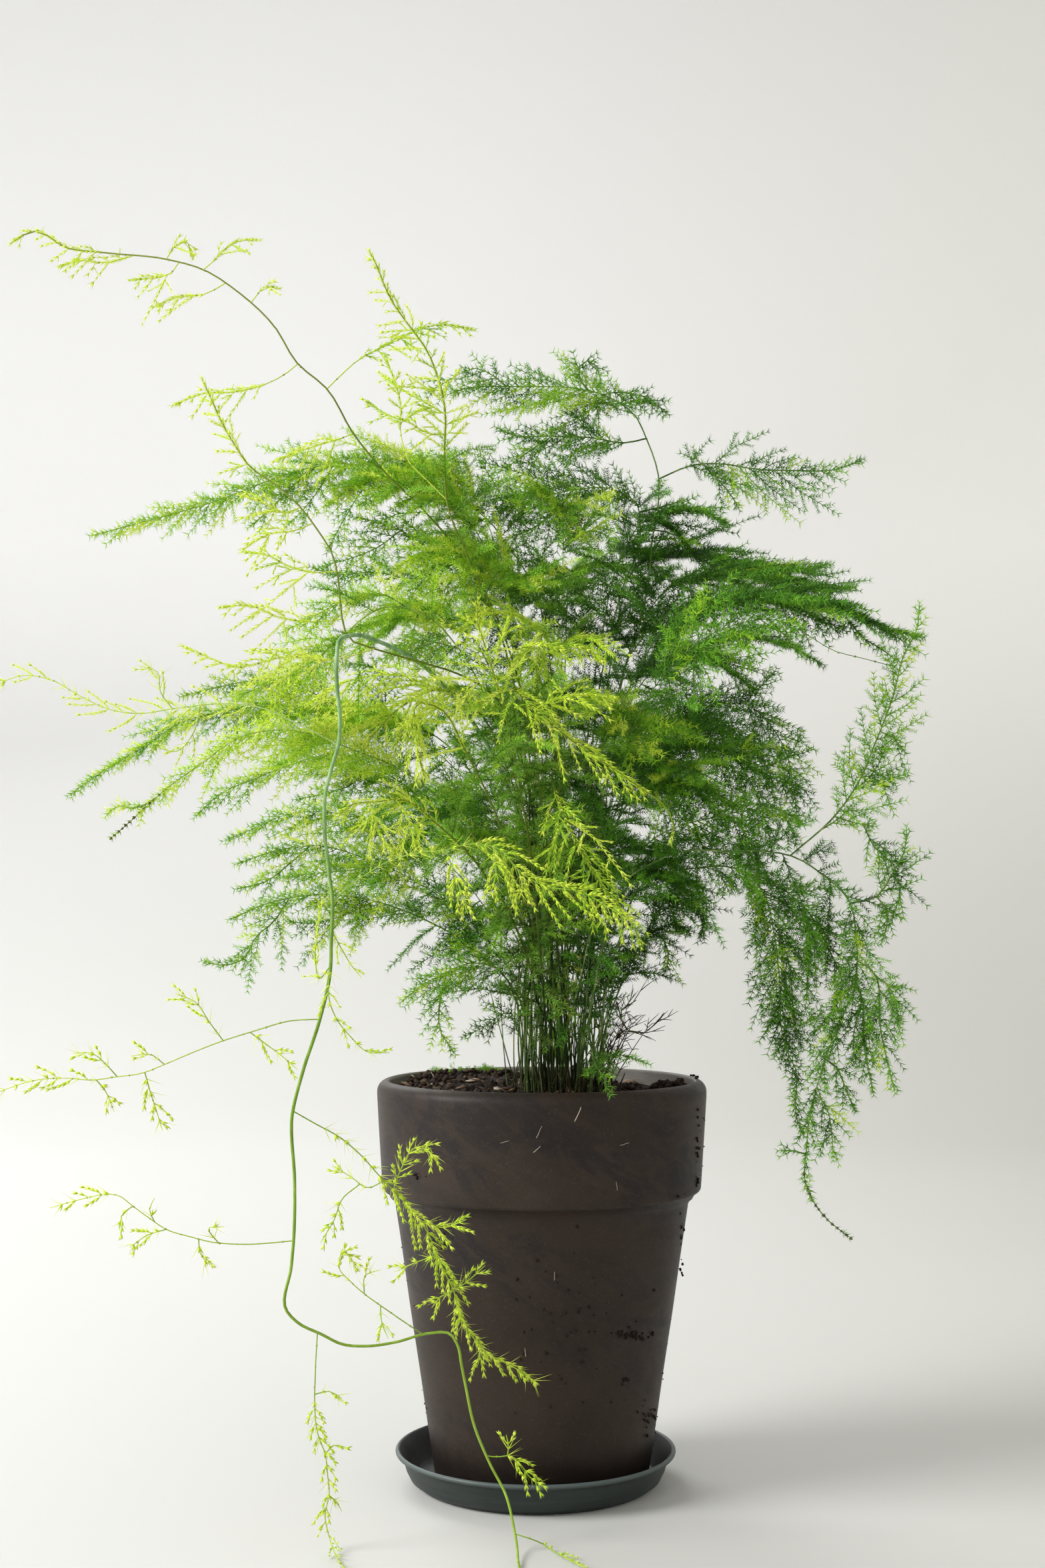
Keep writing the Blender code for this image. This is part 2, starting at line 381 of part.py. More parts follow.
# Stems of the back and of the dense middle, which the front view shows only as a mass: each rises from the crown
# and arches out at its azimuth (0 is the right, 90 the back) to a height, a reach and a droop of its end
ARCHES = [
    Arch("stem_back_1", "old", 36, 425, 122, 30, 26, 10),
    Arch("stem_back_2", "old", 62, 372, 134, 40, 26, 10),
    Arch("stem_back_3", "mid", 84, 472, 96, 26, 24, 15),
    Arch("stem_back_4", "old", 104, 402, 130, 42, 26, 10),
    Arch("stem_back_5", "old", 128, 345, 128, 40, 26, 10),
    Arch("stem_back_6", "mid", 146, 448, 118, 34, 24, 15),
    Arch("stem_back_7", "old", 76, 315, 108, 34, 24, 10),
    Arch("stem_back_8", "mid", 168, 388, 138, 36, 24, 15),
    Arch("stem_top_1", "mid", 176, 512, 78, 26, 22, 25),
    Arch("stem_top_2", "old", 24, 490, 66, 30, 22, 20),
    Arch("stem_top_3", "mid", 272, 486, 52, 34, 20, 45),
    Arch("stem_middle_1", "mid", 202, 500, 96, 30, 22, 30),
    Arch("stem_middle_2", "mid", 238, 458, 80, 36, 22, 35),
    Arch("stem_middle_3", "young", 262, 425, 84, 44, 22, 40),
    Arch("stem_middle_4", "young", 218, 398, 108, 44, 22, 40),
    Arch("stem_middle_5", "mid", 296, 384, 84, 38, 20, 35),
    Arch("stem_middle_6", "old", 328, 352, 84, 30, 20, 25),
    Arch("stem_low_front", "mid", 246, 318, 72, 26, 20, 30),
    Arch("stem_low_right", "old", 332, 306, 64, 24, 18, 20),
    Arch("stem_low_back", "old", 98, 296, 66, 20, 20, 15),
]
ARCH_LIMBS = ((0.62, 40), (0.76, -44))  # where the side shoots of those stems leave them, and how far they turn off
ARCH_LIMB_SHARE = 0.5  # of the reach of the stem


def seen(across, down, depth):
    """The place that the front view shows at a pixel, at a depth behind the pot's axis or laid on the surface."""
    ray = np.array([(across - VIEW_MIDDLE) / VIEW_FOCAL, 1.0, (HORIZON - down) / VIEW_FOCAL])
    if depth is LAID:
        return EYE + ray * (LAY_HEIGHT - EYE[2]) / ray[2]
    return EYE + ray * (depth - EYE[1]) / ray[1]


def placed(route):
    """A route's points in space. A point without a depth takes one between those of its neighbours."""
    if isinstance(route, np.ndarray):
        return list(route)
    known = [i for i, point in enumerate(route) if len(point) == 3 and point[2] is not LAID]
    depths = np.interp(range(len(route)), known, [route[i][2] for i in known])
    return [seen(p[0], p[1], LAID if len(p) == 3 and p[2] is LAID else d) for p, d in zip(route, depths)]


def arch_at(arch, t):
    """A place on an arching stem, from the soil at 0 to its tip at 1."""
    height = (arch.top - SOIL_LEVEL) * (1 - (1 - t) ** 2.3) - arch.droop * max(0.0, (t - 0.6) / 0.4) ** 2
    out = 8 + arch.reach * t ** 1.9
    turn = math.radians(arch.azimuth)
    return np.array([CROWN[0] + out * math.cos(turn), CROWN[1] + out * math.sin(turn), SOIL_LEVEL + height])


def arch_limbs(arch):
    """The side shoots of an arching stem."""
    limbs = []
    for t, turn_off in ARCH_LIMBS:
        turn = math.radians(arch.azimuth + turn_off)
        way = np.array([math.cos(turn), math.sin(turn), 0.0])
        reach = ARCH_LIMB_SHARE * (arch.reach + 20)
        points = [arch_at(arch, t) + (way * k + np.array([0, 0, 0.55 * k - 0.65 * k * k])) * reach
                  for k in (0.0, 0.33, 0.67, 1.0)]
        limbs.append(Shoot(np.array(points), THREAD, Spray(0, arch.leafy * 0.7, arch.roll)))
    return limbs


def soil_top(x, y):
    """The height of the soil: mounded to the rim at the back left, lower at the right, with a rough crumb."""
    mound = math.exp(-((x + 38) ** 2 + (y - 34) ** 2) / 1800)
    dip = math.exp(-((x - 52) ** 2 + (y - 20) ** 2) / 900)
    crumb = 0.8 * math.sin(0.33 * x + 0.8) * math.cos(0.29 * y) + 0.5 * math.sin(0.61 * y - 0.4 * x)
    return SOIL_LEVEL + MOUND_HEIGHT * mound - 4.0 * dip + crumb


class Line:
    """A smooth line through points at even steps, with a side direction carried along it."""

    def __init__(self, points, shoot, parent=None):
        self.shoot, self.parent, self.root_at = shoot, parent, 0.0
        points = np.array(points)
        chord = np.concatenate([[0], np.cumsum(np.linalg.norm(np.diff(points, axis=0), axis=1))])
        slope = np.gradient(points, chord, axis=0)
        count = max(3, int(round(chord[-1] / STEP)))
        along = np.linspace(0, chord[-1], count + 1)
        span = np.clip(np.searchsorted(chord, along, side="right") - 1, 0, len(points) - 2)
        width = (chord[span + 1] - chord[span])[:, None]
        u = ((along - chord[span]) / width[:, 0])[:, None]
        a, b = points[span], points[span + 1]
        self.points = ((1 + 2 * u) * (1 - u) ** 2 * a + u * (1 - u) ** 2 * width * slope[span]
                       + u * u * (3 - 2 * u) * b + u * u * (u - 1) * width * slope[span + 1])
        self.measure()
        self.knots = [self.nearest(point) for point in points]

    def measure(self):
        """Works out the lengths and headings along the points."""
        steps = np.linalg.norm(np.diff(self.points, axis=0), axis=1)
        self.along = np.concatenate([[0], np.cumsum(steps)])
        self.length = self.along[-1]
        heading = np.gradient(self.points, self.along, axis=0)
        self.headings = heading / np.linalg.norm(heading, axis=1)[:, None]

    def nearest(self, point):
        return self.along[np.argmin(np.linalg.norm(self.points - point, axis=1))]

    def at(self, s):
        return np.array([np.interp(s, self.along, self.points[:, i]) for i in range(3)])

    def heading(self, s):
        return unit(np.array([np.interp(s, self.along, self.headings[:, i]) for i in range(3)]))

    def carry_side(self, s, normal):
        """Sets the side direction at s square to the normal, and carries it without twist to both ends."""
        start = int(np.argmin(abs(self.along - s)))
        side = unit(np.cross(normal, self.headings[start]))
        self.sides = np.zeros_like(self.points)
        for order in (range(start, len(self.points)), range(start, -1, -1)):
            carried = side
            for i in order:
                carried = unit(carried - self.headings[i] * np.dot(carried, self.headings[i]))
                self.sides[i] = carried

    def side(self, s):
        heading = self.heading(s)
        side = np.array([np.interp(s, self.along, self.sides[:, i]) for i in range(3)])
        return unit(side - heading * np.dot(side, heading))


def unit(vector):
    return vector / max(np.linalg.norm(vector), 1e-9)


def feet(count):
    """Places for the stems' feet, spread evenly over the crown."""
    spots = []
    for i in range(count):
        r = math.sqrt((i + 0.5) / count)
        spots.append((CROWN[0] + CROWN_SPREAD[0] * r * math.cos(i * GOLDEN),
                      CROWN[1] + CROWN_SPREAD[1] * r * math.sin(i * GOLDEN)))
    return spots


def stem_points():
    """Each stem's points above the soil, from the front view or from its arch, with the foot nearest its way out."""
    rises = [(name, tone, shoot, placed(shoot.route)) for name, tone, shoot in PLANT]
    for arch in ARCHES:
        spray = Spray(2, arch.leafy, arch.roll)
        shoot = Shoot(None, YOUNG_STEM if arch.tone == "young" else OLD_STEM, spray, arch_limbs(arch))
        rises.append((arch.name, arch.tone, shoot, [arch_at(arch, t) for t in (0.25, 0.45, 0.62, 0.76, 0.88, 1.0)]))
    free = feet(len(rises))

    def lean(rise):
        first = rise[3][0]
        return np.array([first[0] - CROWN[0], first[1] - CROWN[1]]) / (first[2] - SOIL_LEVEL + 5)

    placed_feet = {}
    for rise in sorted(rises, key=lambda r: -np.linalg.norm(lean(r))):
        way = lean(rise) * 55
        wish = np.array(CROWN) + way * min(1.0, 20 / max(np.linalg.norm(way), 1e-6))
        placed_feet[rise[0]] = min(free, key=lambda f: math.hypot(f[0] - wish[0], f[1] - wish[1]))
        free.remove(placed_feet[rise[0]])
    return [(name, tone, shoot, placed_feet[name], points) for name, tone, shoot, points in rises]


def add_limbs(line, lines):
    for limb in line.shoot.limbs:
        points = placed(limb.route)
        root_at = line.nearest(points[0])
        points[0] = line.at(root_at)
        child = Line(points, limb, line)
        child.root_at = root_at
        lines.append(child)
        add_limbs(child, lines)


def all_lines():
    """The lines of every stem and its limbs, bent clear of each other, with each line's stem by number."""
    stems, lines = [], []
    for name, tone, shoot, foot, points in stem_points():
        top = soil_top(*foot)
        start = [np.array([foot[0], foot[1], z]) for z in (top - HOLE_DEPTH, top - HOLE_DEPTH / 2, top + 3)]
        line = Line(start + list(points), shoot)
        line.lead = len(start)
        stems.append((name, tone, foot))
        grown = [line]
        add_limbs(line, grown)
        for each in grown:
            each.stem = len(stems) - 1
        lines.extend(grown)
    bend_clear(lines)
    return stems, lines


BEND_ROUNDS = 24
BEND_GAP = 4.2  # spacing of points on two lines, below which both are bent away
HELD = 12.0  # length at a stem's foot, or beside a fork, that isn't bent


def bend_clear(lines):
    """Bends lines that come too near each other apart, a little in each round, and seats each limb on its parent."""
    for _ in range(BEND_ROUNDS):
        tree = KDTree(sum(len(line.points) for line in lines))
        owner = [(line, i) for line in lines for i in range(len(line.points))]
        for number, (line, i) in enumerate(owner):
            tree.insert(line.points[i], number)
        tree.balance()
        pushes = {id(line): np.zeros_like(line.points) for line in lines}
        for line, i in owner:
            for spot, number, distance in tree.find_range(line.points[i], BEND_GAP):
                other, j = owner[number]
                if other is line or forked(line, i, other, j):
                    continue
                away = line.points[i] - np.array(spot)
                if distance < 0.05:
                    away = np.cross(line.headings[i], other.headings[j]) * (1 if id_order(line, other, lines) else -1)
                pushes[id(line)][i] += unit(away) * (BEND_GAP - distance) * 0.3
        for line in lines:
            push = pushes[id(line)]
            if not push.any():
                continue
            weights = np.array([0.15, 0.35, 0.7, 1.0, 0.7, 0.35, 0.15])
            for axis in range(3):
                push[:, axis] = np.convolve(push[:, axis], weights, mode="same")[:len(push)]
            free = np.clip((line.along - HELD) / HELD, 0, 1) if line.parent is None else 1.0
            line.points += push * np.array(free).reshape(-1, 1)
            line.points[:, 2] = np.maximum(line.points[:, 2], LAY_HEIGHT)
            line.measure()
        for line in lines:
            if line.parent is not None:
                shift = line.parent.at(line.root_at) - line.points[0]
                line.points += shift * np.clip(1 - line.along / 20, 0, 1)[:, None]
                line.measure()


def id_order(line, other, lines):
    return lines.index(line) < lines.index(other)


def forked(line, i, other, j):
    """True for two points beside the fork that joins their lines."""
    if other.parent is line:
        line, i, other, j = other, j, line, i
    if line.parent is other:
        return line.along[i] < HELD or abs(other.along[j] - line.root_at) < HELD * 0.6
    siblings = line.parent is not None and line.parent is other.parent
    return siblings and line.along[i] < HELD and other.along[j] < HELD and abs(line.root_at - other.root_at) < HELD


def spray_range(line):
    """Where a line's spray starts and ends, as lengths along it."""
    spray = line.shoot.spray
    lead = getattr(line, "lead", 0)
    start = line.along[0] + line.knots[spray.first + lead]
    end = line.length if spray.last is None else line.knots[spray.last + lead]
    return start + (3.0 if spray.first == 0 else 0.0), min(end, line.length - 2.0)


def set_side(line):
    spray = line.shoot.spray
    roll = math.radians(60 if spray is None or spray.roll is None else spray.roll)
    s = line.length * 0.6 if spray is None else spray_range(line)[0]
    line.carry_side(s, np.array([0.0, -math.sin(roll), math.cos(roll)]))


Branchlet = namedtuple("Branchlet", "pair s start reach bend droop up")


def branchlets(line, seed):
    """A spray's branchlets in pairs along its shoot: longest a fifth of the way out, and shorter to the tip."""
    spray = line.shoot.spray
    draw = random.Random(seed)
    start, end = spray_range(line)
    found = []
    pairs = max(1, int((end - start) / spray.gap))
    for pair in range(pairs):
        t = (pair + 0.5) / pairs
        s = start + (end - start) * t
        heading, side = line.heading(s), line.side(s)
        up = np.cross(heading, side)
        for hand in (-1, 1):
            angle = math.radians(draw.uniform(46, 62) - 14 * t)
            lift = draw.uniform(-0.22, 0.22)
            length = (spray.reach * WIDEN * min(1.0, 0.5 + 3 * t) * (1 - t) ** 0.6 + 1.5) * draw.uniform(0.78, 1.12)
            out = side * hand
            if spray.roll is None:
                turn = pair * GOLDEN
                out = (side * math.cos(turn) + up * math.sin(turn)) * hand
            reach = unit(heading * math.cos(angle) + out * math.sin(angle) + up * lift) * length
            bend = heading * length * 0.16 + np.array([0, 0, -0.09 * length * min(1.5, length / 20)])
            found.append(Branchlet(pair, s, line.at(s), reach, bend, hand, up))
    return found


def along_branchlet(branchlet, u):
    return branchlet.start + branchlet.reach * u + branchlet.bend * u * u


class Thicket:
    """Every stretch of shoot, branchlet and needle so far, so that the next one can keep clear of it."""

    def __init__(self, size):
        self.a, self.b = np.zeros((size, 3)), np.zeros((size, 3))
        self.r, self.group = np.zeros(size), np.zeros(size, dtype=int)
        self.count = self.groups = 0

    def new_group(self):
        self.groups += 1
        return self.groups

    def add(self, a, b, r, group):
        i = self.count
        self.a[i], self.b[i], self.r[i], self.group[i] = a, b, r, group
        self.count += 1

    def clear(self, a, b, r, group):
        """True if a stretch keeps its clearance to all but its own group, and to the pot, the soil and the surface."""
        if not outside_holders(a, b, r):
            return False
        p, q = self.a[:self.count], self.b[:self.count]
        near = (np.abs((p + q) / 2 - (a + b) / 2).max(axis=1) < 45) & (self.group[:self.count] != group)
        p, q, radii = p[near], q[near], self.r[:self.count][near]
        if not len(p):
            return True
        own, others, between = b - a, q - p, a - p
        oo, ee = own @ own, (others * others).sum(1) + 1e-9
        oe, ob, eb = others @ own, between @ own, (others * between).sum(1)
        scale = oo * ee - oe * oe
        s = np.clip(np.where(scale > 1e-9, (oe * eb - ob * ee) / np.maximum(scale, 1e-9), 0), 0, 1)
        t = np.clip((oe * s + eb) / ee, 0, 1)
        s = np.clip((oe * t - ob) / oo, 0, 1)
        gap = np.linalg.norm(a + own * s[:, None] - p - others * t[:, None], axis=1) - radii - r
        return gap.min() >= CLEARANCE


def pot_radius(z):
    """The pot's outer radius at a height."""
    if z > COLLAR_FOOT - 3:
        return LIP_RADIUS
    return BODY_FOOT_RADIUS + (BODY_TOP_RADIUS - BODY_FOOT_RADIUS) * max(0.0, z) / BODY_TOP


def outside_holders(a, b, r):
    """True if a stretch keeps off the surface, the saucer, the pot and the soil."""
    for t in (0.0, 0.34, 0.67, 1.0):
        x, y, z = a + (b - a) * t
        from_axis = math.hypot(x, y)
        if z - r < 0.25:
            return False
        if z < SAUCER_LIP_TOP + 1.5 and math.hypot(x - SAUCER_OFF_AXIS, y) < SAUCER_LIP_RADIUS + 1.5:
            return False
        above_soil = from_axis < LIP_RADIUS - WALL - 1.5 and z > soil_top(x, y) + 1.2
        if z < LIP_TOP + 1.2 and from_axis < pot_radius(z) + 1.2 and not above_soil:
            return False
    return True


SAG = 1.12  # a ring is added where a straight run would leave the shoot's line by more
RING_GAP = 2.4  # and is no nearer than this to another
PICK = 5  # every fifth pair of a spray's branchlets is kept in these solids
FILL_PICK = 10  # and every tenth on the stems of the dense middle
WHORLED = 17.5  # a shorter branchlet is one pointed spike
WHORL_GAP = 24.0
TUFT_REACH = 7.0  # a spray that reaches less has tufts of needles on its shoot, and no branchlets
TUFT_GAP = 34.0
NEEDLE_LEAN = 0.62
TIP = 2.0
LONG_TIP = 24.0  # a shoot with a ring so near its end has no further ring at its tip


class Growth:
    """What grows out of one line: its limbs, its kept branchlets and their needles."""

    def __init__(self, line, group):
        self.line, self.group, self.limbs, self.twigs, self.tufts = line, group, [], [], []


class Twig:
    """A kept branchlet, its share of the full length, and its whorls of needles by place along it."""

    def __init__(self, branchlet, share, group):
        self.branchlet, self.share, self.group, self.whorls = branchlet, share, group, []
        self.length = share * np.linalg.norm(branchlet.reach)

    def at(self, s):
        return along_branchlet(self.branchlet, self.share * s / self.length)

    def frame(self, s):
        heading = unit(self.at(s + 0.3) - self.at(s - 0.3))
        side = unit(np.cross(self.branchlet.up, heading))
        return heading, side, np.cross(heading, side)


def wall_ways(side, up):
    """The outward directions of the three walls of a section."""
    angles = [math.pi / 2 + math.tau * (j + 0.5) / 3 for j in range(3)]
    return [side * math.cos(a) + up * math.sin(a) for a in angles]


class Tuft:
    """Needles that grow straight out of a shoot."""

    def __init__(self, s, whorl):
        self.s, self.whorl = s, whorl


def plan_tufts(growth, draw, thicket):
    line = growth.line
    start, end = spray_range(line)
    count = max(1, int(round((end - start) / TUFT_GAP)))
    for i in range(count):
        s = start + (end - start) * (i + 0.6) / count
        heading, side = line.heading(s), line.side(s)
        whorl = clear_whorl(line.at(s), heading, side, np.cross(heading, side), draw, thicket, growth.group)
        if whorl:
            growth.tufts.append(Tuft(s, whorl))


def clear_whorl(root, heading, side, up, draw, thicket, group):
    """The needles of a whorl that are clear of everything, as their ways out and their tips."""
    whorl = []
    for way in wall_ways(side, up):
        tip = root + unit(way + heading * NEEDLE_LEAN) * NEEDLE * draw.uniform(0.85, 1.1)
        if thicket.clear(root, tip, 0.3, group):
            thicket.add(root, tip, 0.3, group)
            whorl.append((way, tip))
    return whorl


def plan_twigs(growth, seed, thicket):
    """Keeps each branchlet at the greatest length that is clear, or leaves it out."""
    if growth.line.shoot.spray.reach < TUFT_REACH:
        return
    pick = PICK if isinstance(growth.line.shoot.route, list) else FILL_PICK
    for branchlet in branchlets(growth.line, seed):
        if branchlet.pair % pick != 1:
            continue
        full = np.linalg.norm(branchlet.reach)
        for share in (1.0, 0.8, 0.6, 0.42):
            if full * share < 4.5:
                break
            places = [along_branchlet(branchlet, share * u) for u in (min(0.5, 2.2 / (full * share)), 0.6, 1.0)]
            if all(thicket.clear(a, b, BRANCHLET, growth.group) for a, b in zip(places, places[1:])):
                twig = Twig(branchlet, share, thicket.new_group())
                for a, b in zip(places, places[1:]):
                    thicket.add(a, b, BRANCHLET, twig.group)
                growth.twigs.append(twig)
                break


def plan_needles(growth, seed, thicket):
    draw = random.Random(seed + 1000)
    if growth.line.shoot.spray.reach < TUFT_REACH:
        plan_tufts(growth, draw, thicket)
    for twig in growth.twigs:
        count = int(round((twig.length - 3) / WHORL_GAP)) or int(twig.length > WHORLED)
        for i in range(count):
            s = 2.6 + (twig.length - 4.2) * (i + 0.62) / count
            heading, side, up = twig.frame(s)
            whorl = clear_whorl(twig.at(s), heading, side, up, draw, thicket, twig.group)
            if whorl:
                twig.whorls.append((s, whorl))


def section(centre, side, up, radius):
    """The three corners of a ring, anticlockwise as seen from ahead."""
    angles = [math.pi / 2 + math.tau * j / 3 for j in range(3)]
    return [Vector(centre + (side * math.cos(a) + up * math.sin(a)) * radius) for a in angles]


def extrude_to(bm, face, ring):
    """Extrudes a face onto a ring, with the least twist. Returns the new end face and the walls."""
    end = bmesh.ops.extrude_discrete_faces(bm, faces=[face])["faces"][0]
    corners = list(end.verts)
    n = len(corners)
    turns = [sum((corners[i].co - ring[(i + k) % n]).length_squared for i in range(n)) for k in range(n)]
    k = turns.index(min(turns))
    for i, corner in enumerate(corners):
        corner.co = ring[(i + k) % n]
    end.normal_update()
    walls = [next(f for f in edge.link_faces if f is not end) for edge in end.edges]
    for wall in walls:
        wall.normal_update()
    return end, walls


def sharpen(bm, face, tip):
    """Draws a face out to a point."""
    bmesh.ops.poke(bm, faces=[face])["verts"][0].co = Vector(tip)


def take_wall(walls, way):
    """Takes the wall that faces most nearly that way."""
    wall = max(walls, key=lambda f: f.normal.dot(Vector(way)))
    walls.remove(wall)
    return wall


def three_sided(bm, wall):
    """A triangle of the wall, for a three-sided shoot to grow from."""
    if len(wall.verts) == 3:
        return wall
    return bmesh.ops.triangulate(bm, faces=[wall])["faces"][0]


def grow_twig(bm, face, twig):
    for s, whorl in twig.whorls:
        for half in (-0.5, 0.5):
            heading, side, up = twig.frame(s + half * BAND)
            ring = section(twig.at(s + half * BAND), side, up, BRANCHLET)
            face, walls = extrude_to(bm, face, ring)
        for way, tip in whorl:
            sharpen(bm, take_wall(walls, way), tip)
    sharpen(bm, face, twig.at(twig.length))


def first_ring(line):
    """How far along a limb its first ring stands clear of its parent."""
    if line.parent is None:
        return HOLE_DEPTH + 2
    radius = line.parent.shoot.thick[0] + line.shoot.thick[0]
    parent = line.parent.points
    for s in np.arange(2.0, line.length * 0.6, 0.5):
        if np.linalg.norm(parent - line.at(s), axis=1).min() > radius + 1.0:
            return float(s)
    return 3.0


def ring_places(growth):
    """The lengths along a line at which it gets rings, and the bands that limbs and branchlets grow out of."""
    line = growth.line
    first = first_ring(line)
    wanted = [(limb.line.root_at, limb) for limb in growth.limbs]
    pairs = {}
    for twig in growth.twigs:
        pairs.setdefault(twig.branchlet.pair, []).append(twig)
    wanted += [(twigs[0].branchlet.s, twigs) for twigs in pairs.values()]
    wanted += [(tuft.s, tuft) for tuft in growth.tufts]
    bands, last = [], first + 0.6
    for s, what in sorted(wanted, key=lambda w: w[0]):
        s = min(max(s, last + BAND), line.length - TIP - BAND)
        bands.append((s, what))
        last = s + BAND
    fixed = [first] + [s for s, what in bands] + [line.length]
    free = [(s, None) for a, b in zip(fixed, fixed[1:]) for s in bowed(line, a, b)]
    return first, sorted(free + bands, key=lambda b: b[0])


def bowed(line, a, b):
    """The lengths between a and b at which rings keep straight runs near the line."""
    inner = [i for i, s in enumerate(line.along) if a + RING_GAP < s < b - RING_GAP]
    if not inner:
        return []
    start = line.at(a)
    gaps = np.linalg.norm(np.cross(line.points[inner] - start, unit(line.at(b) - start)), axis=1)
    worst = int(np.argmax(gaps))
    if gaps[worst] < SAG:
        return []
    s = float(line.along[inner[worst]])
    return bowed(line, a, s) + [s] + bowed(line, s, b)


def grow_line(bm, growth, face=None):
    """Grows a line from a face, or from the bottom of its hole, and then all that grows out of it."""
    line = growth.line
    base, tip = line.shoot.thick

    def ring(s):
        side = line.side(s)
        radius = base + (tip - base) * s / line.length
        return section(line.at(s), side, np.cross(line.heading(s), side), radius)

    first, places = ring_places(growth)
    if face is None:
        bmesh.ops.create_cone(bm, cap_ends=True, segments=3, radius1=1, radius2=1, depth=2)
        caps = [f for f in bm.faces if abs(f.normal.z) > 0.9]
        bottom, face = sorted(caps, key=lambda f: f.calc_center_median().z)
        for cap, s in ((bottom, 0.0), (face, first)):
            for corner, spot in zip(sorted(cap.verts, key=lambda v: math.atan2(v.co.y, v.co.x)), spun(ring(s))):
                corner.co = spot
    else:
        face, walls = extrude_to(bm, three_sided(bm, face), ring(first))
    sprouts = []
    for s, what in places:
        if what is None:
            face, walls = extrude_to(bm, face, ring(s))
            continue
        face, walls = extrude_to(bm, face, ring(s - BAND / 2))
        face, walls = extrude_to(bm, face, ring(s + BAND / 2))
        if isinstance(what, Growth):
            way = unit(what.line.at(first_ring(what.line)) - line.at(s))
            sprouts.append((what, take_wall(walls, way)))
        elif isinstance(what, Tuft):
            for way, point in what.whorl:
                sharpen(bm, take_wall(walls, way), point)
        else:
            for twig in what:
                sprouts.append((twig, take_wall(walls, unit(twig.branchlet.reach))))
    if not places or line.length - places[-1][0] > LONG_TIP:
        face, walls = extrude_to(bm, face, ring(line.length - TIP))
    sharpen(bm, face, line.at(line.length))
    for what, wall in sprouts:
        if isinstance(what, Growth):
            grow_line(bm, what, wall)
        else:
            grow_twig(bm, three_sided(bm, wall), what)


def spun(ring):
    """A ring's corners in the order of their angle about the upright through its middle."""
    middle = sum(ring, Vector()) / len(ring)
    return sorted(ring, key=lambda p: math.atan2(p.y - middle.y, p.x - middle.x))


def material(name, colour, roughness, metallic=0.0):
    made = bpy.data.materials.new(name)
    made.use_nodes = True
    shader = made.node_tree.nodes["Principled BSDF"]
    shader.inputs["Base Color"].default_value = (*colour, 1.0)
    shader.inputs["Roughness"].default_value = roughness
    shader.inputs["Metallic"].default_value = metallic
    return made


def add_object(name, bm, finish, collection):
    """Makes a mesh object of a bmesh in millimetres."""
    bmesh.ops.scale(bm, verts=bm.verts, vec=(MM, MM, MM))
    mesh = bpy.data.meshes.new(name)
    bm.to_mesh(mesh)
    bm.free()
    made = bpy.data.objects.new(name, mesh)
    mesh.materials.append(finish)
    collection.objects.link(made)
    return made


def turned(name, profile, finish, collection, off_axis=0.0):
    """A solid turned about the upright from a profile of (radius, height) that runs down its outer side."""
    bm = bmesh.new()
    corners = [bm.verts.new((r, 0, z)) for r, z in profile]
    closed = profile[0][0] > 0
    for a, b in zip(corners, corners[1:] + corners[:1] if closed else corners[1:]):
        bm.edges.new((a, b))
    made = add_object(name, bm, finish, collection)
    made.location.x = off_axis * MM
    screw = made.modifiers.new("turn", "SCREW")
    screw.steps = screw.render_steps = SIDES_ROUND
    screw.use_merge_vertices = True
    screw.merge_threshold = 0.00005
    screw.use_normal_calculate = True
    return made


def arc(centre, radius, start, end, count):
    """Points of a round edge in a profile, by angle in degrees from outwards."""
    angles = np.radians(np.linspace(start, end, count))
    return [(centre[0] + radius * math.cos(a), centre[1] + radius * math.sin(a)) for a in angles]


def pot_inner_radius(z):
    """The radius of the pot's inner wall, a wall's thickness inside the body and upright in the collar."""
    body = BODY_FOOT_RADIUS + (BODY_TOP_RADIUS - BODY_FOOT_RADIUS) * z / BODY_TOP
    return min(body, LIP_RADIUS) - WALL if z < BODY_TOP else LIP_RADIUS - WALL


def make_pot(collection, finish):
    lip = (LIP_RADIUS - LIP_ROUND, LIP_TOP - LIP_ROUND)
    inner_lip = LIP_RADIUS - WALL
    profile = [(inner_lip, LIP_TOP - LIP_ROUND), (inner_lip + 1.2, LIP_TOP - 1.2)]
    profile += arc(lip, LIP_ROUND, 75, 0, 3)
    profile += [(COLLAR_FOOT_RADIUS, COLLAR_FOOT), (COLLAR_FOOT_RADIUS - 2.2, BODY_TOP + 0.4),
                (BODY_TOP_RADIUS, BODY_TOP), (BODY_FOOT_RADIUS, SAUCER_FLOOR + TOUCH), (DRAIN_RADIUS, SAUCER_FLOOR + TOUCH),
                (DRAIN_RADIUS, POT_FLOOR), (pot_inner_radius(POT_FLOOR), POT_FLOOR),
                (pot_inner_radius(BODY_TOP - 2), BODY_TOP - 2), (inner_lip - 0.4, BODY_TOP + 12)]
    return turned("pot", profile, finish, collection)


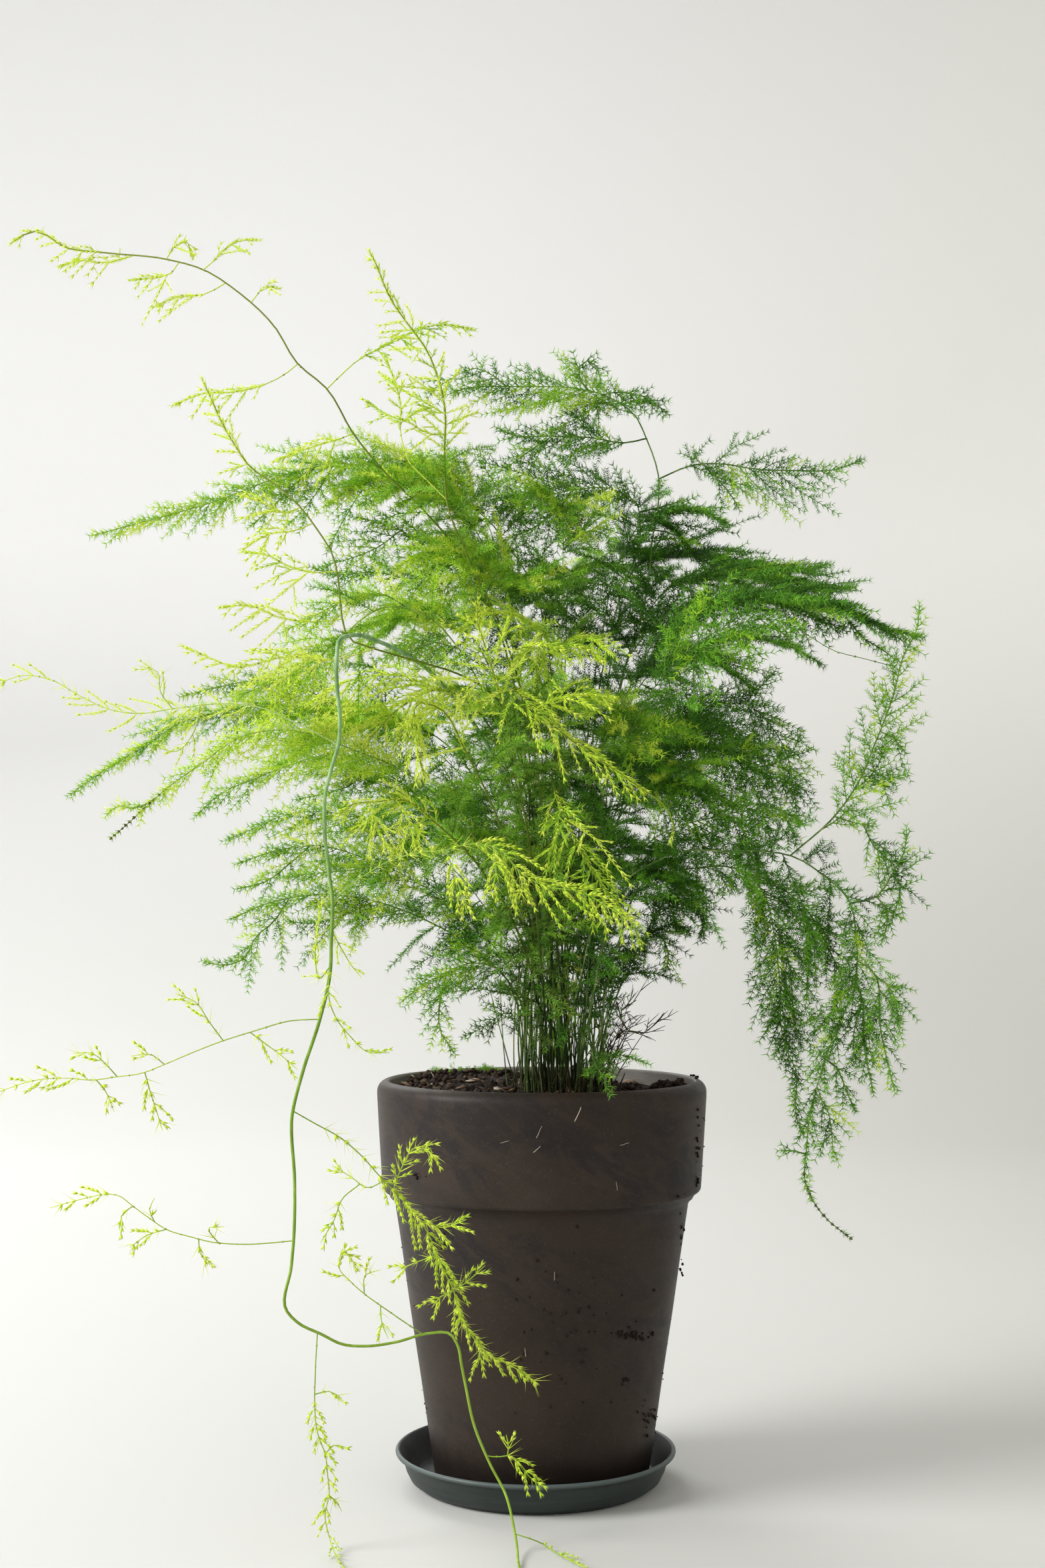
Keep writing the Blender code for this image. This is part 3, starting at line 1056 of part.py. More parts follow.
def make_saucer(collection, finish):
    lip = (SAUCER_LIP_RADIUS - SAUCER_LIP_WIDTH / 2, SAUCER_LIP_TOP - SAUCER_LIP_WIDTH / 2)
    inner = SAUCER_LIP_RADIUS - SAUCER_LIP_WIDTH
    profile = [(0, SAUCER_FLOOR), (SAUCER_FLOOR_RADIUS, SAUCER_FLOOR), (SAUCER_WALL_RADIUS - 3.4, 7.0)]
    profile += [(inner - 1.4, SAUCER_LIP_TOP - 2.6)]
    profile += arc(lip, SAUCER_LIP_WIDTH / 2, 150, -30, 4)
    profile += [(SAUCER_WALL_RADIUS, SAUCER_LIP_TOP - 3.6), (SAUCER_WALL_RADIUS - 1.6, 6.5), (SAUCER_FOOT_RADIUS + 4, 1.6),
                (SAUCER_FOOT_RADIUS, 0), (0, 0)]
    return turned("saucer", profile, finish, collection, SAUCER_OFF_AXIS)


def make_soil(collection, cutters, finish, stems):
    """The soil: turned to fit the pot, raised in relief on top, with a plain hole for each stem's foot."""
    edge = LIP_RADIUS - WALL - 0.7
    top = [(r, SOIL_LEVEL) for r in (0, 18, 36, 56, edge)]
    wall = [(edge - 0.4, BODY_TOP + 11.5), (pot_inner_radius(BODY_TOP - 2) - 0.4, BODY_TOP - 2.4)]
    wall += [(pot_inner_radius(POT_FLOOR) - 0.35, POT_FLOOR + TOUCH), (DRAIN_RADIUS - TOUCH, POT_FLOOR + TOUCH)]
    wall += [(DRAIN_RADIUS - TOUCH, SAUCER_FLOOR + 2 * TOUCH), (0, SAUCER_FLOOR + 2 * TOUCH)]
    bm = bmesh.new()
    corners = [bm.verts.new((r, 0, z)) for r, z in top + wall]
    edges = [bm.edges.new(pair) for pair in zip(corners, corners[1:])]
    bmesh.ops.spin(bm, geom=corners + edges, cent=(0, 0, 0), axis=(0, 0, 1), angle=math.tau, steps=SIDES_ROUND,
                   use_merge=True, use_duplicate=False)
    bmesh.ops.remove_doubles(bm, verts=bm.verts, dist=0.01)
    for vert in bm.verts:
        if vert.co.z > SOIL_LEVEL - 0.1:
            x, y = vert.co.x, vert.co.y
            fade = min(1.0, (edge + 4 - math.hypot(x, y)) / 12)
            vert.co.z = SOIL_LEVEL + (soil_top(x, y) - SOIL_LEVEL) * fade
    bmesh.ops.recalc_face_normals(bm, faces=bm.faces)
    soil = add_object("soil", bm, finish, collection)
    bm = bmesh.new()
    for name, tone, foot in stems:
        radius = (VINE_STEM if tone == "vine" else YOUNG_STEM)[0] + TOUCH
        made = bmesh.ops.create_cone(bm, cap_ends=True, segments=4, radius1=radius / math.cos(math.pi / 4),
                                     radius2=radius / math.cos(math.pi / 4), depth=HOLE_DEPTH + TOUCH + 8)
        middle = soil_top(*foot) - HOLE_DEPTH - TOUCH + (HOLE_DEPTH + TOUCH + 8) / 2
        bmesh.ops.translate(bm, verts=made["verts"], vec=(foot[0], foot[1], middle))
    holes = add_object("stem_holes", bm, finish, cutters)
    holes.hide_render, holes.display_type = True, "WIRE"
    cut = soil.modifiers.new("holes", "BOOLEAN")
    cut.operation, cut.solver, cut.object = "DIFFERENCE", "EXACT", holes
    return soil


def make_plant(collection, finishes):
    stems, lines = all_lines()
    thicket = Thicket(60000)
    growths = {}
    for line in lines:
        set_side(line)
        growth = growths[id(line)] = Growth(line, thicket.new_group())
        if line.parent is not None:
            growths[id(line.parent)].limbs.append(growth)
        spots = line.points[::2] if len(line.points) % 2 else np.vstack([line.points[::2], line.points[-1:]])
        for a, b in zip(spots, spots[1:]):
            thicket.add(a, b, line.shoot.thick[0] * 0.8 + 0.15, growth.group)
    for plan in (plan_twigs, plan_needles):
        for seed, line in enumerate(lines):
            if line.shoot.spray is not None:
                plan(growths[id(line)], seed, thicket)
    for number, (name, tone, foot) in enumerate(stems):
        bm = bmesh.new()
        grow_line(bm, growths[id(next(line for line in lines if line.stem == number))])
        bmesh.ops.triangulate(bm, faces=[f for f in bm.faces if len(f.verts) > 3])
        bmesh.ops.recalc_face_normals(bm, faces=bm.faces)
        add_object(name, bm, finishes[tone], collection)
    return stems


def main():
    for old in list(bpy.data.objects):
        bpy.data.objects.remove(old, do_unlink=True)
    parts = bpy.data.collections.new("lace_fern")
    cutters = bpy.data.collections.new("cutters")
    for collection in (parts, cutters):
        bpy.context.scene.collection.children.link(collection)
    finishes = {
        "old": material("old_foliage", (0.05, 0.15, 0.03), 0.6),
        "mid": material("mid_foliage", (0.10, 0.26, 0.04), 0.6),
        "young": material("young_foliage", (0.30, 0.45, 0.06), 0.6),
        "vine": material("vine_green", (0.22, 0.36, 0.14), 0.5),
        "dry": material("dry_stalk", (0.10, 0.07, 0.04), 0.8),
    }
    make_saucer(parts, material("saucer_plastic", (0.05, 0.07, 0.065), 0.5))
    make_pot(parts, material("clay", (0.16, 0.12, 0.10), 0.75))
    stems = make_plant(parts, finishes)
    make_soil(parts, cutters, material("potting_soil", (0.03, 0.02, 0.015), 0.95), stems)


main()
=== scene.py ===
"""The looks of a lace fern in a tall clay pot that stands in a plastic saucer.

Each stem of the frame is replaced by a finer one on the same line: a bark tube, its side shoots, branchlets
and whorls of needles or buds. The pot, the saucer and the soil are turned again with rounder edges. Lengths
are written in millimetres and scaled by MM where a mesh is made."""
import json
import math
import random
from collections import namedtuple

import bmesh
import bpy
import numpy as np
from mathutils import Euler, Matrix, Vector
from mathutils.kdtree import KDTree
from mathutils.noise import noise as lumps

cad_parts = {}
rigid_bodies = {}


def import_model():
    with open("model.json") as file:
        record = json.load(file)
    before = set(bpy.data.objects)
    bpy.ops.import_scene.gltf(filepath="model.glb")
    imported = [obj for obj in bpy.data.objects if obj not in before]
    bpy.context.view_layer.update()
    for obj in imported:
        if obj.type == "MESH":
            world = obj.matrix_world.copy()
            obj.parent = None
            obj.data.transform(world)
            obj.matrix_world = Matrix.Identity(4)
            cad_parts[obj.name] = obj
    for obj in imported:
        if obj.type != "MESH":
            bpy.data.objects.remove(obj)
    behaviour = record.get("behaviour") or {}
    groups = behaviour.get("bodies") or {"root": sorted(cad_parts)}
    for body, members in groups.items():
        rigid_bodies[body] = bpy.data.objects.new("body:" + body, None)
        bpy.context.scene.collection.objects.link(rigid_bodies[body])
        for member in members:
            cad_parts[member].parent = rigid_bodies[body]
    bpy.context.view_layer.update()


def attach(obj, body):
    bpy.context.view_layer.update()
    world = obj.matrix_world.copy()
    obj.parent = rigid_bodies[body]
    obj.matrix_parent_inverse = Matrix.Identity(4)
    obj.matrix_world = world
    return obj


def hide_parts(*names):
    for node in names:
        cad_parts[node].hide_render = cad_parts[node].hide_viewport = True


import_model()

MM = 0.001

# Pot and saucer
SIDES_ROUND = 128
LIP_TOP = 197.0
LIP_RADIUS = 80.6
LIP_ROUND = 5.5
WALL = 6.0
INNER_RADIUS = LIP_RADIUS - WALL
COLLAR_FOOT = 143.5
COLLAR_FOOT_RADIUS = 78.0
BODY_TOP = 138.5
BODY_TOP_RADIUS = 71.7
BODY_FOOT_RADIUS = 52.2
POT_FLOOR = 9.0
DRAIN_RADIUS = 9.0
SAUCER_OFF_AXIS = -3.0
SAUCER_LIP_TOP = 17.0
SAUCER_LIP_RADIUS = 68.6
SAUCER_LIP_WIDTH = 2.4
SAUCER_WALL_RADIUS = 65.0
SAUCER_FOOT_RADIUS = 55.0
SAUCER_FLOOR_RADIUS = 56.6
SAUCER_FLOOR = 2.6
TOUCH = 0.3

# Soil
SOIL_LEVEL = 189.5
MOUND_HEIGHT = 6.0
HOLE_DEPTH = 12.0
CROWN = (9.0, 0.0)  # middle of the clump of stems on the soil
CROWN_SPREAD = (23.0, 18.0)

# The front view from which the shoots' places are read: pixels across and down, and a depth behind the axis
EYE = np.array([-9.4, -992.0, 281.4])
VIEW_MIDDLE = 784.0  # across
HORIZON = 1360.0  # down, at the eye's height
VIEW_TALL = 2352.0
VIEW_FOCAL = 3033.0
LAID = "laid"  # in place of a depth: on the surface that the saucer stands on
LAY_HEIGHT = 1.35

# Shoots
OLD_STEM = (0.75, 0.42)  # radius at the foot and at the tip
YOUNG_STEM = (0.8, 0.45)
VINE_STEM = (1.1, 0.5)
THREAD = (0.55, 0.42)
THICK = {"old": OLD_STEM, "mid": OLD_STEM, "young": YOUNG_STEM, "vine": VINE_STEM, "dry": THREAD}
STEP = 3.0  # spacing of the points along a shoot
GOLDEN = math.radians(137.5)
WIDEN = 1.2  # the sprays' reaches were read as those of their dense part

Spray = namedtuple("Spray", "first reach roll last gap", defaults=(None, 6.0))
Shoot = namedtuple("Shoot", "route thick spray limbs", defaults=((),))
Arch = namedtuple("Arch", "name tone azimuth top reach droop leafy roll")
PLANT = []


def limb(route, reach=0, roll=80, first=0, limbs=(), last=None):
    """A side shoot, thin as a thread. One whose spray has no reach is bare."""
    return Shoot(route, THREAD, Spray(first, reach, roll, last) if reach else None, limbs)


def stem(name, tone, route, spray=None, limbs=(), thick=None):
    """Adds a stem from the soil to the plant, as thick as those of its tone unless told otherwise."""
    PLANT.append((name, tone, Shoot(route, thick or THICK[tone], Spray(*spray) if spray else None, limbs)))


# A shoot's route is (across, down) in the front view, with a depth where it changes. Its spray starts at the
# point numbered first, reaches so far to each side, and lies flat at a roll of 0 or faces the viewer at 90.
# Where the roll is None, it whirls round the shoot.
stem("stem_high_right", "old", [(855, 1420, 12), (890, 1200), (935, 1010), (972, 880, 22), (979, 802),
    (988, 714, 20), (969, 656), (952, 622), (932, 606), (902, 591, 12), (860, 582), (787, 580, 10),
    (730, 580), (699, 582), (672, 592, 6)], (8, 17, 75), [
    limb([(928, 603, 14), (960, 598), (985, 607), (1004, 622, 12)], 9, 60),
    limb([(969, 656, 18), (936, 662), (883, 656), (825, 654), (768, 652), (742, 640, 10)], 15, 70, 1),
    limb([(988, 714, 20), (1030, 699), (1086, 696), (1128, 703), (1191, 706), (1254, 704), (1296, 689, 30)],
        17, 75, 1, [
        limb([(1060, 700, 22), (1080, 722, 20), (1098, 744), (1110, 766)], 5, 85)]),
    limb([(882, 586, 11), (864, 562, 9), (872, 543), (888, 541), (899, 558), (900, 586, 6)], 5, 85, 1)])
stem("stem_high_middle", "old", [(862, 1420, 28), (880, 1200), (905, 1000, 34), (935, 880), (962, 805, 22),
    (957, 757), (915, 733), (860, 735, 12), (805, 748), (745, 768, 6)], (5, 20, 40), [
    limb([(962, 790, 22), (990, 795), (1022, 806, 20)]),
    limb([(958, 762, 21), (1000, 757), (1030, 749, 24)], 6, 60),
    limb([(860, 735, 12), (835, 765), (800, 792), (762, 808, 6)], 9, 60)])
stem("stem_right_top", "old", [(868, 1420, 48), (900, 1150, 60), (925, 950, 62), (955, 850), (1005, 828),
    (1075, 839), (1145, 850), (1202, 853, 32), (1249, 846, 28)], (3, 32, 10))
stem("stem_right_upper", "old", [(880, 1420, 12), (915, 1150), (950, 970, 8), (1000, 885, 2), (1080, 862, -6),
    (1180, 868, -12), (1233, 881), (1279, 879, -16)], (3, 32, 10))
stem("stem_right_front", "old", [(872, 1420, -28), (905, 1200, -36), (950, 1020, -42), (1020, 920),
    (1120, 893), (1200, 897, -54), (1251, 903), (1296, 927), (1328, 941), (1387, 955)], (3, 28, 15), [
    limb([(1240, 902, -54), (1272, 930), (1296, 958), (1325, 975), (1346, 992, -50)], 5, 30, last=3)])
stem("stem_right_lower", "old", [(880, 1430, -58), (925, 1180), (990, 1020, -74), (1070, 950, -80),
    (1174, 932, -82), (1216, 955), (1251, 976), (1293, 987), (1342, 1000, -80)], (2, 20, 55, 5), [
    limb([(1115, 935, -81), (1123, 965), (1126, 1006)], 6, 90),
    limb([(1160, 933, -82), (1183, 957), (1207, 983)], 5, 90),
    limb([(1050, 958, -79), (1042, 1005), (1042, 1057)], 6, 90)])
stem("stem_right_back", "old", [(872, 1420, 88), (905, 1180, 100), (960, 1010, 104), (1030, 930, 104),
    (1110, 900, 100), (1180, 905, 94), (1240, 935, 86)], (2, 34, 10))
stem("stem_right_wiry", "old", [(898, 1500, -38), (920, 1390, -50), (945, 1318, -58), (982, 1294, -62),
    (1026, 1277, -64), (1090, 1277), (1152, 1277), (1192, 1285, -62), (1235, 1310), (1283, 1356, -60),
    (1293, 1400), (1296, 1440), (1292, 1480), (1275, 1520), (1251, 1571), (1232, 1619), (1215, 1676),
    (1210, 1724), (1208, 1772), (1217, 1796), (1241, 1829), (1275, 1856)], (9, 10, None, 19, 5.0), [
    limb([(1192, 1285, -62), (1256, 1223), (1285, 1182), (1314, 1115), (1339, 1049), (1360, 974), (1373, 952),
        (1380, 905, -56)], 18, first=1),
    limb([(1283, 1356, -60), (1318, 1345), (1340, 1310), (1358, 1275), (1360, 1240, -62)], 9, 90, 1, [
        limb([(1318, 1345, -60), (1333, 1368), (1331, 1389), (1322, 1415, -58)], 7, 90)]),
    limb([(1297, 1435, -60), (1318, 1455, -64), (1325, 1485), (1322, 1520), (1326, 1560), (1334, 1600),
        (1343, 1640)], 9, None, 1),
    limb([(1294, 1470, -60), (1301, 1500, -57), (1300, 1530), (1298, 1566), (1304, 1605), (1311, 1643, -56)],
        8, None, 1),
    limb([(1247, 1582, -60), (1260, 1600), (1270, 1635), (1284, 1667)], 7, None),
    limb([(1210, 1730, -60), (1188, 1725), (1168, 1726)], 4, 90)])
stem("stem_right_drooping", "old", [(890, 1520, -15), (922, 1400, -25), (955, 1330, -33), (1000, 1308, -36),
    (1045, 1302, -38), (1090, 1300), (1120, 1312), (1141, 1346), (1150, 1400), (1158, 1485), (1162, 1542),
    (1175, 1580), (1189, 1604), (1193, 1640), (1195, 1676), (1206, 1704)], (5, 11, 85, None, 5.0), [
    limb([(1118, 1311, -38), (1150, 1318, -41), (1170, 1332), (1208, 1365), (1230, 1400), (1245, 1430),
        (1262, 1466), (1263, 1490), (1245, 1522), (1213, 1557, -42)], 11, 80, 1, [
        limb([(1200, 1358, -41), (1213, 1400, -44), (1212, 1450), (1210, 1504, -45)], 7, None)])])
stem("stem_right_mid_up", "old", [(880, 1420, 35), (920, 1250, 46), (970, 1130, 50), (1020, 1070, 48),
    (1065, 1053), (1107, 1049), (1144, 1028), (1165, 1003, 38)], (2, 20, 75))
stem("stem_right_mid", "old", [(890, 1430, 0), (930, 1280, -8), (970, 1150, -12), (1010, 1105, -14),
    (1050, 1103), (1090, 1119), (1152, 1157), (1200, 1194, -20)], (2, 27, 75), [
    limb([(1150, 1156, -17), (1180, 1140), (1198, 1110), (1202, 1098, -14)], 8, 85)])
stem("stem_right_mid_low", "old", [(895, 1450, -24), (940, 1330, -38), (975, 1262, -46), (1007, 1244),
    (1090, 1223), (1173, 1215), (1206, 1236, -50)], (2, 15, 60))
stem("stem_right_dark", "old", [(885, 1400, 62), (930, 1200, 72), (985, 1090, 76), (1050, 1075, 76),
    (1110, 1100, 72), (1150, 1150, 70)], (1, 26, 40))
stem("stem_right_low", "old", [(905, 1540, 10), (948, 1430, 18), (985, 1370, 22), (1020, 1352),
    (1050, 1372, 26), (1045, 1410)], (2, 14, 50), [
    limb([(966, 1395, 20), (990, 1405), (1003, 1440), (996, 1462)], 7)])
stem("stem_left_top", "old", [(828, 1400, 0), (818, 1050, 8), (806, 895, 10), (758, 811, 8), (727, 773, 5),
    (690, 735, 0), (640, 705, -4), (577, 688), (531, 698, -8), (459, 703), (398, 723), (332, 749, -12),
    (270, 768), (204, 786), (135, 804)], (5, 17, 55), [
    limb([(459, 703, -10), (440, 725), (410, 760), (372, 792, -14)], 7, 70)])
stem("stem_left_far", "old", [(800, 1420, 42), (735, 1220, 50), (630, 1110, 48), (520, 1070), (400, 1060),
    (320, 1070, 36), (265, 1087, 34), (230, 1112), (168, 1148), (102, 1194, 30)], (2, 17, 40))
stem("stem_left_mid", "mid", [(795, 1420, -34), (715, 1260, -58), (610, 1160, -68), (520, 1120, -74),
    (430, 1095, -74), (357, 1107, -72), (306, 1143), (255, 1179), (214, 1215, -70), (190, 1237), (168, 1256)],
    (2, 13, 60, 8), [
    limb([(238, 1194, -71), (205, 1212), (173, 1209), (158, 1226, -66)], 3)])
stem("stem_left_inner", "old", [(790, 1430, 12), (720, 1300, 14), (640, 1205, 12), (560, 1150, 8),
    (500, 1132, 6), (434, 1148), (383, 1168), (332, 1190), (291, 1227, 4)], (2, 16, 55))
stem("stem_left_low", "old", [(785, 1450, -12), (725, 1350, -18), (640, 1270, -22), (540, 1228, -24),
    (470, 1217), (423, 1224), (388, 1240), (334, 1262)], (2, 15, 50))
stem("stem_left_lower", "old", [(780, 1470, 22), (720, 1390, 28), (640, 1330, 28), (550, 1288, 24),
    (470, 1268), (408, 1278), (353, 1297, 20)], (2, 14, 50), [
    limb([(470, 1268, 22), (435, 1295), (400, 1322), (352, 1334, 16)], 8, 60)])
stem("stem_left_lowest", "old", [(776, 1480, 44), (715, 1420, 54), (640, 1378, 58), (560, 1350, 58),
    (480, 1342, 54), (415, 1352), (348, 1380, 50)], (2, 15, 50), [
    limb([(440, 1348, 52), (410, 1385), (385, 1405), (366, 1438), (335, 1448), (303, 1441, 48)], 8, 75)])
stem("stem_left_arch", "mid", [(822, 1400, -42), (785, 1200, -66), (735, 1060, -80), (690, 975, -86),
    (650, 930), (612, 912, -90), (575, 911), (545, 927), (515, 955, -88), (480, 985), (440, 1008),
    (400, 1028), (350, 1045, -84)], (8, 15, 60), thick=YOUNG_STEM)
stem("stem_left_upshoot", "young", [(815, 1420, -30), (795, 1240, -58), (772, 1100, -80), (740, 1042, -92),
    (690, 1012), (620, 990, -104), (560, 972, -108), (524, 957), (512, 920, -108), (510, 893), (497, 827),
    (480, 800), (449, 759), (408, 723), (378, 703), (352, 667), (332, 632), (316, 596), (304, 570, -104)],
    (14, 6, 90), [
    limb([(511, 925, -108), (460, 932), (415, 925), (375, 908), (332, 911, -112)], 7, first=1),
    limb([(504, 860, -108), (470, 858), (430, 848), (400, 832), (365, 828, -104)], 8, first=1),
    limb([(470, 787, -108), (440, 796), (405, 800), (367, 822, -110)], 7, first=1),
    limb([(449, 759, -108), (425, 770), (400, 755), (360, 742, -110)], 9),
    limb([(560, 972, -108), (500, 990, -116), (430, 985), (350, 1000, -120), (310, 985), (276, 970)],
        9, 75, 1)])
stem("stem_upper_left_vine", "young", [(812, 1400, -14), (790, 1150, -30), (750, 950, -44), (690, 830, -50),
    (635, 765, -52), (577, 708), (531, 652), (490, 583), (446, 545), (411, 489), (357, 438), (306, 405),
    (250, 389), (153, 379), (97, 371), (66, 351), (50, 347), (18, 364)], (13, 4, 90), [
    limb([(531, 651, -52), (515, 655), (480, 666), (445, 678), (412, 692)], 5, first=1),
    limb([(490, 583, -52), (515, 558, -54), (541, 537), (571, 522), (600, 508), (627, 494), (665, 487),
        (709, 494)], 4, first=2),
    limb([(446, 545, -52), (427, 560), (395, 577), (350, 588), (305, 590), (260, 608)], 4, first=2),
    limb([(372, 451, -52), (386, 440), (395, 430), (417, 432)], 3, first=1),
    limb([(306, 405, -52), (316, 394), (334, 376), (357, 361), (388, 360)], 4, first=1),
    limb([(340, 425, -52), (306, 441), (270, 444), (232, 460, -46)], 4, first=1),
    limb([(250, 389, -52), (262, 368), (278, 362), (288, 385, -50)], 3),
    limb([(270, 395, -52), (255, 410), (225, 417), (196, 420, -48)], 4, first=1),
    limb([(195, 384, -52), (150, 394), (120, 389), (90, 400, -50)], 4)])
stem("stem_top_shoot", "young", [(826, 1400, -22), (805, 1150, -46), (755, 950, -66), (700, 830, -72),
    (672, 760, -72), (667, 680), (668, 620), (664, 590), (655, 560), (640, 525), (615, 490), (590, 455),
    (578, 432), (566, 400), (555, 378, -68)], (5, 11, 85, None, 5.0), [
    limb([(668, 655, -72), (648, 652), (610, 635), (575, 618), (546, 600, -76)], 4),
    limb([(668, 620, -72), (640, 605), (612, 590), (585, 572), (570, 560, -66)], 4),
    limb([(671, 745, -72), (640, 720), (612, 690), (602, 640), (600, 610), (592, 570), (577, 537, -76)],
        5, 85, 3)])
stem("stem_low_left", "mid", [(773, 1500, -4), (746, 1453), (708, 1444, -12), (666, 1460), (634, 1477),
    (600, 1504, -14)], (1, 13, 45), [
    limb([(672, 1458, -12), (660, 1500), (660, 1545), (684, 1582)], 6, 90)])
stem("stem_low_small", "mid", [(782, 1560, -26), (757, 1518, -34), (732, 1537, -38), (694, 1556, -40)],
    (0, 6, 40), thick=THREAD)
stem("stem_front_low", "mid", [(805, 1480, -22), (772, 1400, -38), (745, 1360, -50), (752, 1385, -64),
    (752, 1432, -70)], (1, 10, None), thick=YOUNG_STEM)
stem("stem_front_hanging", "young", [(832, 1420, -34), (838, 1260, -58), (828, 1160, -80), (832, 1185, -100),
    (857, 1247, -108), (881, 1290), (905, 1328), (929, 1357), (958, 1395, -110), (966, 1420)], (3, 10, 85))
stem("stem_front_right", "young", [(840, 1420, -20), (850, 1250, -50), (815, 1080, -74), (772, 1030, -92),
    (800, 1062, -108), (848, 1103), (896, 1137), (934, 1163, -112), (966, 1185), (999, 1211), (1011, 1236),
    (1007, 1260)], (3, 13, 80, 8), [
    limb([(800, 1062, -108), (832, 1048), (872, 1041), (920, 1046, -110)], 9, 60)])
stem("stem_front_upper", "young", [(835, 1420, -52), (815, 1220, -78), (785, 1050, -92), (765, 985, -100),
    (790, 968, -106), (830, 966), (872, 970), (905, 990, -104)], (2, 13, 70))
stem("stem_front_left", "young", [(805, 1440, -48), (770, 1290, -80), (700, 1130, -100), (655, 1060, -112),
    (624, 1055, -116), (622, 1090), (628, 1130), (638, 1170)], (2, 14, 75))
stem("stem_front_buds", "young", [(822, 1440, -60), (790, 1240, -88), (755, 1060, -100), (728, 970, -104),
    (716, 930), (718, 900, -102)], (2, 14, 70), [
    limb([(735, 990, -103), (752, 965), (762, 930, -106)], 6)])
stem("stem_front_lower_left", "young", [(798, 1470, -40), (740, 1330, -70), (660, 1240, -92),
    (600, 1199, -104), (565, 1203, -108), (530, 1206), (505, 1225)], (2, 11, 75), [
    limb([(590, 1200, -105), (613, 1233), (623, 1272, -112)], 6, 85),
    limb([(545, 1204, -108), (566, 1245), (585, 1275, -114)], 6, 85)])
stem("stem_rim_sprig", "mid", [(886, 1575, -34), (890, 1588, -58), (898, 1604, -78), (908, 1622, -86),
    (916, 1642, -89)], (1, 6, 30), thick=THREAD)
stem("dead_twigs", "dry", [(912, 1585, 24), (938, 1545, 30), (962, 1551), (988, 1532, 32)], limbs=[
    limb([(938, 1545, 30), (930, 1520), (955, 1500, 26)])])
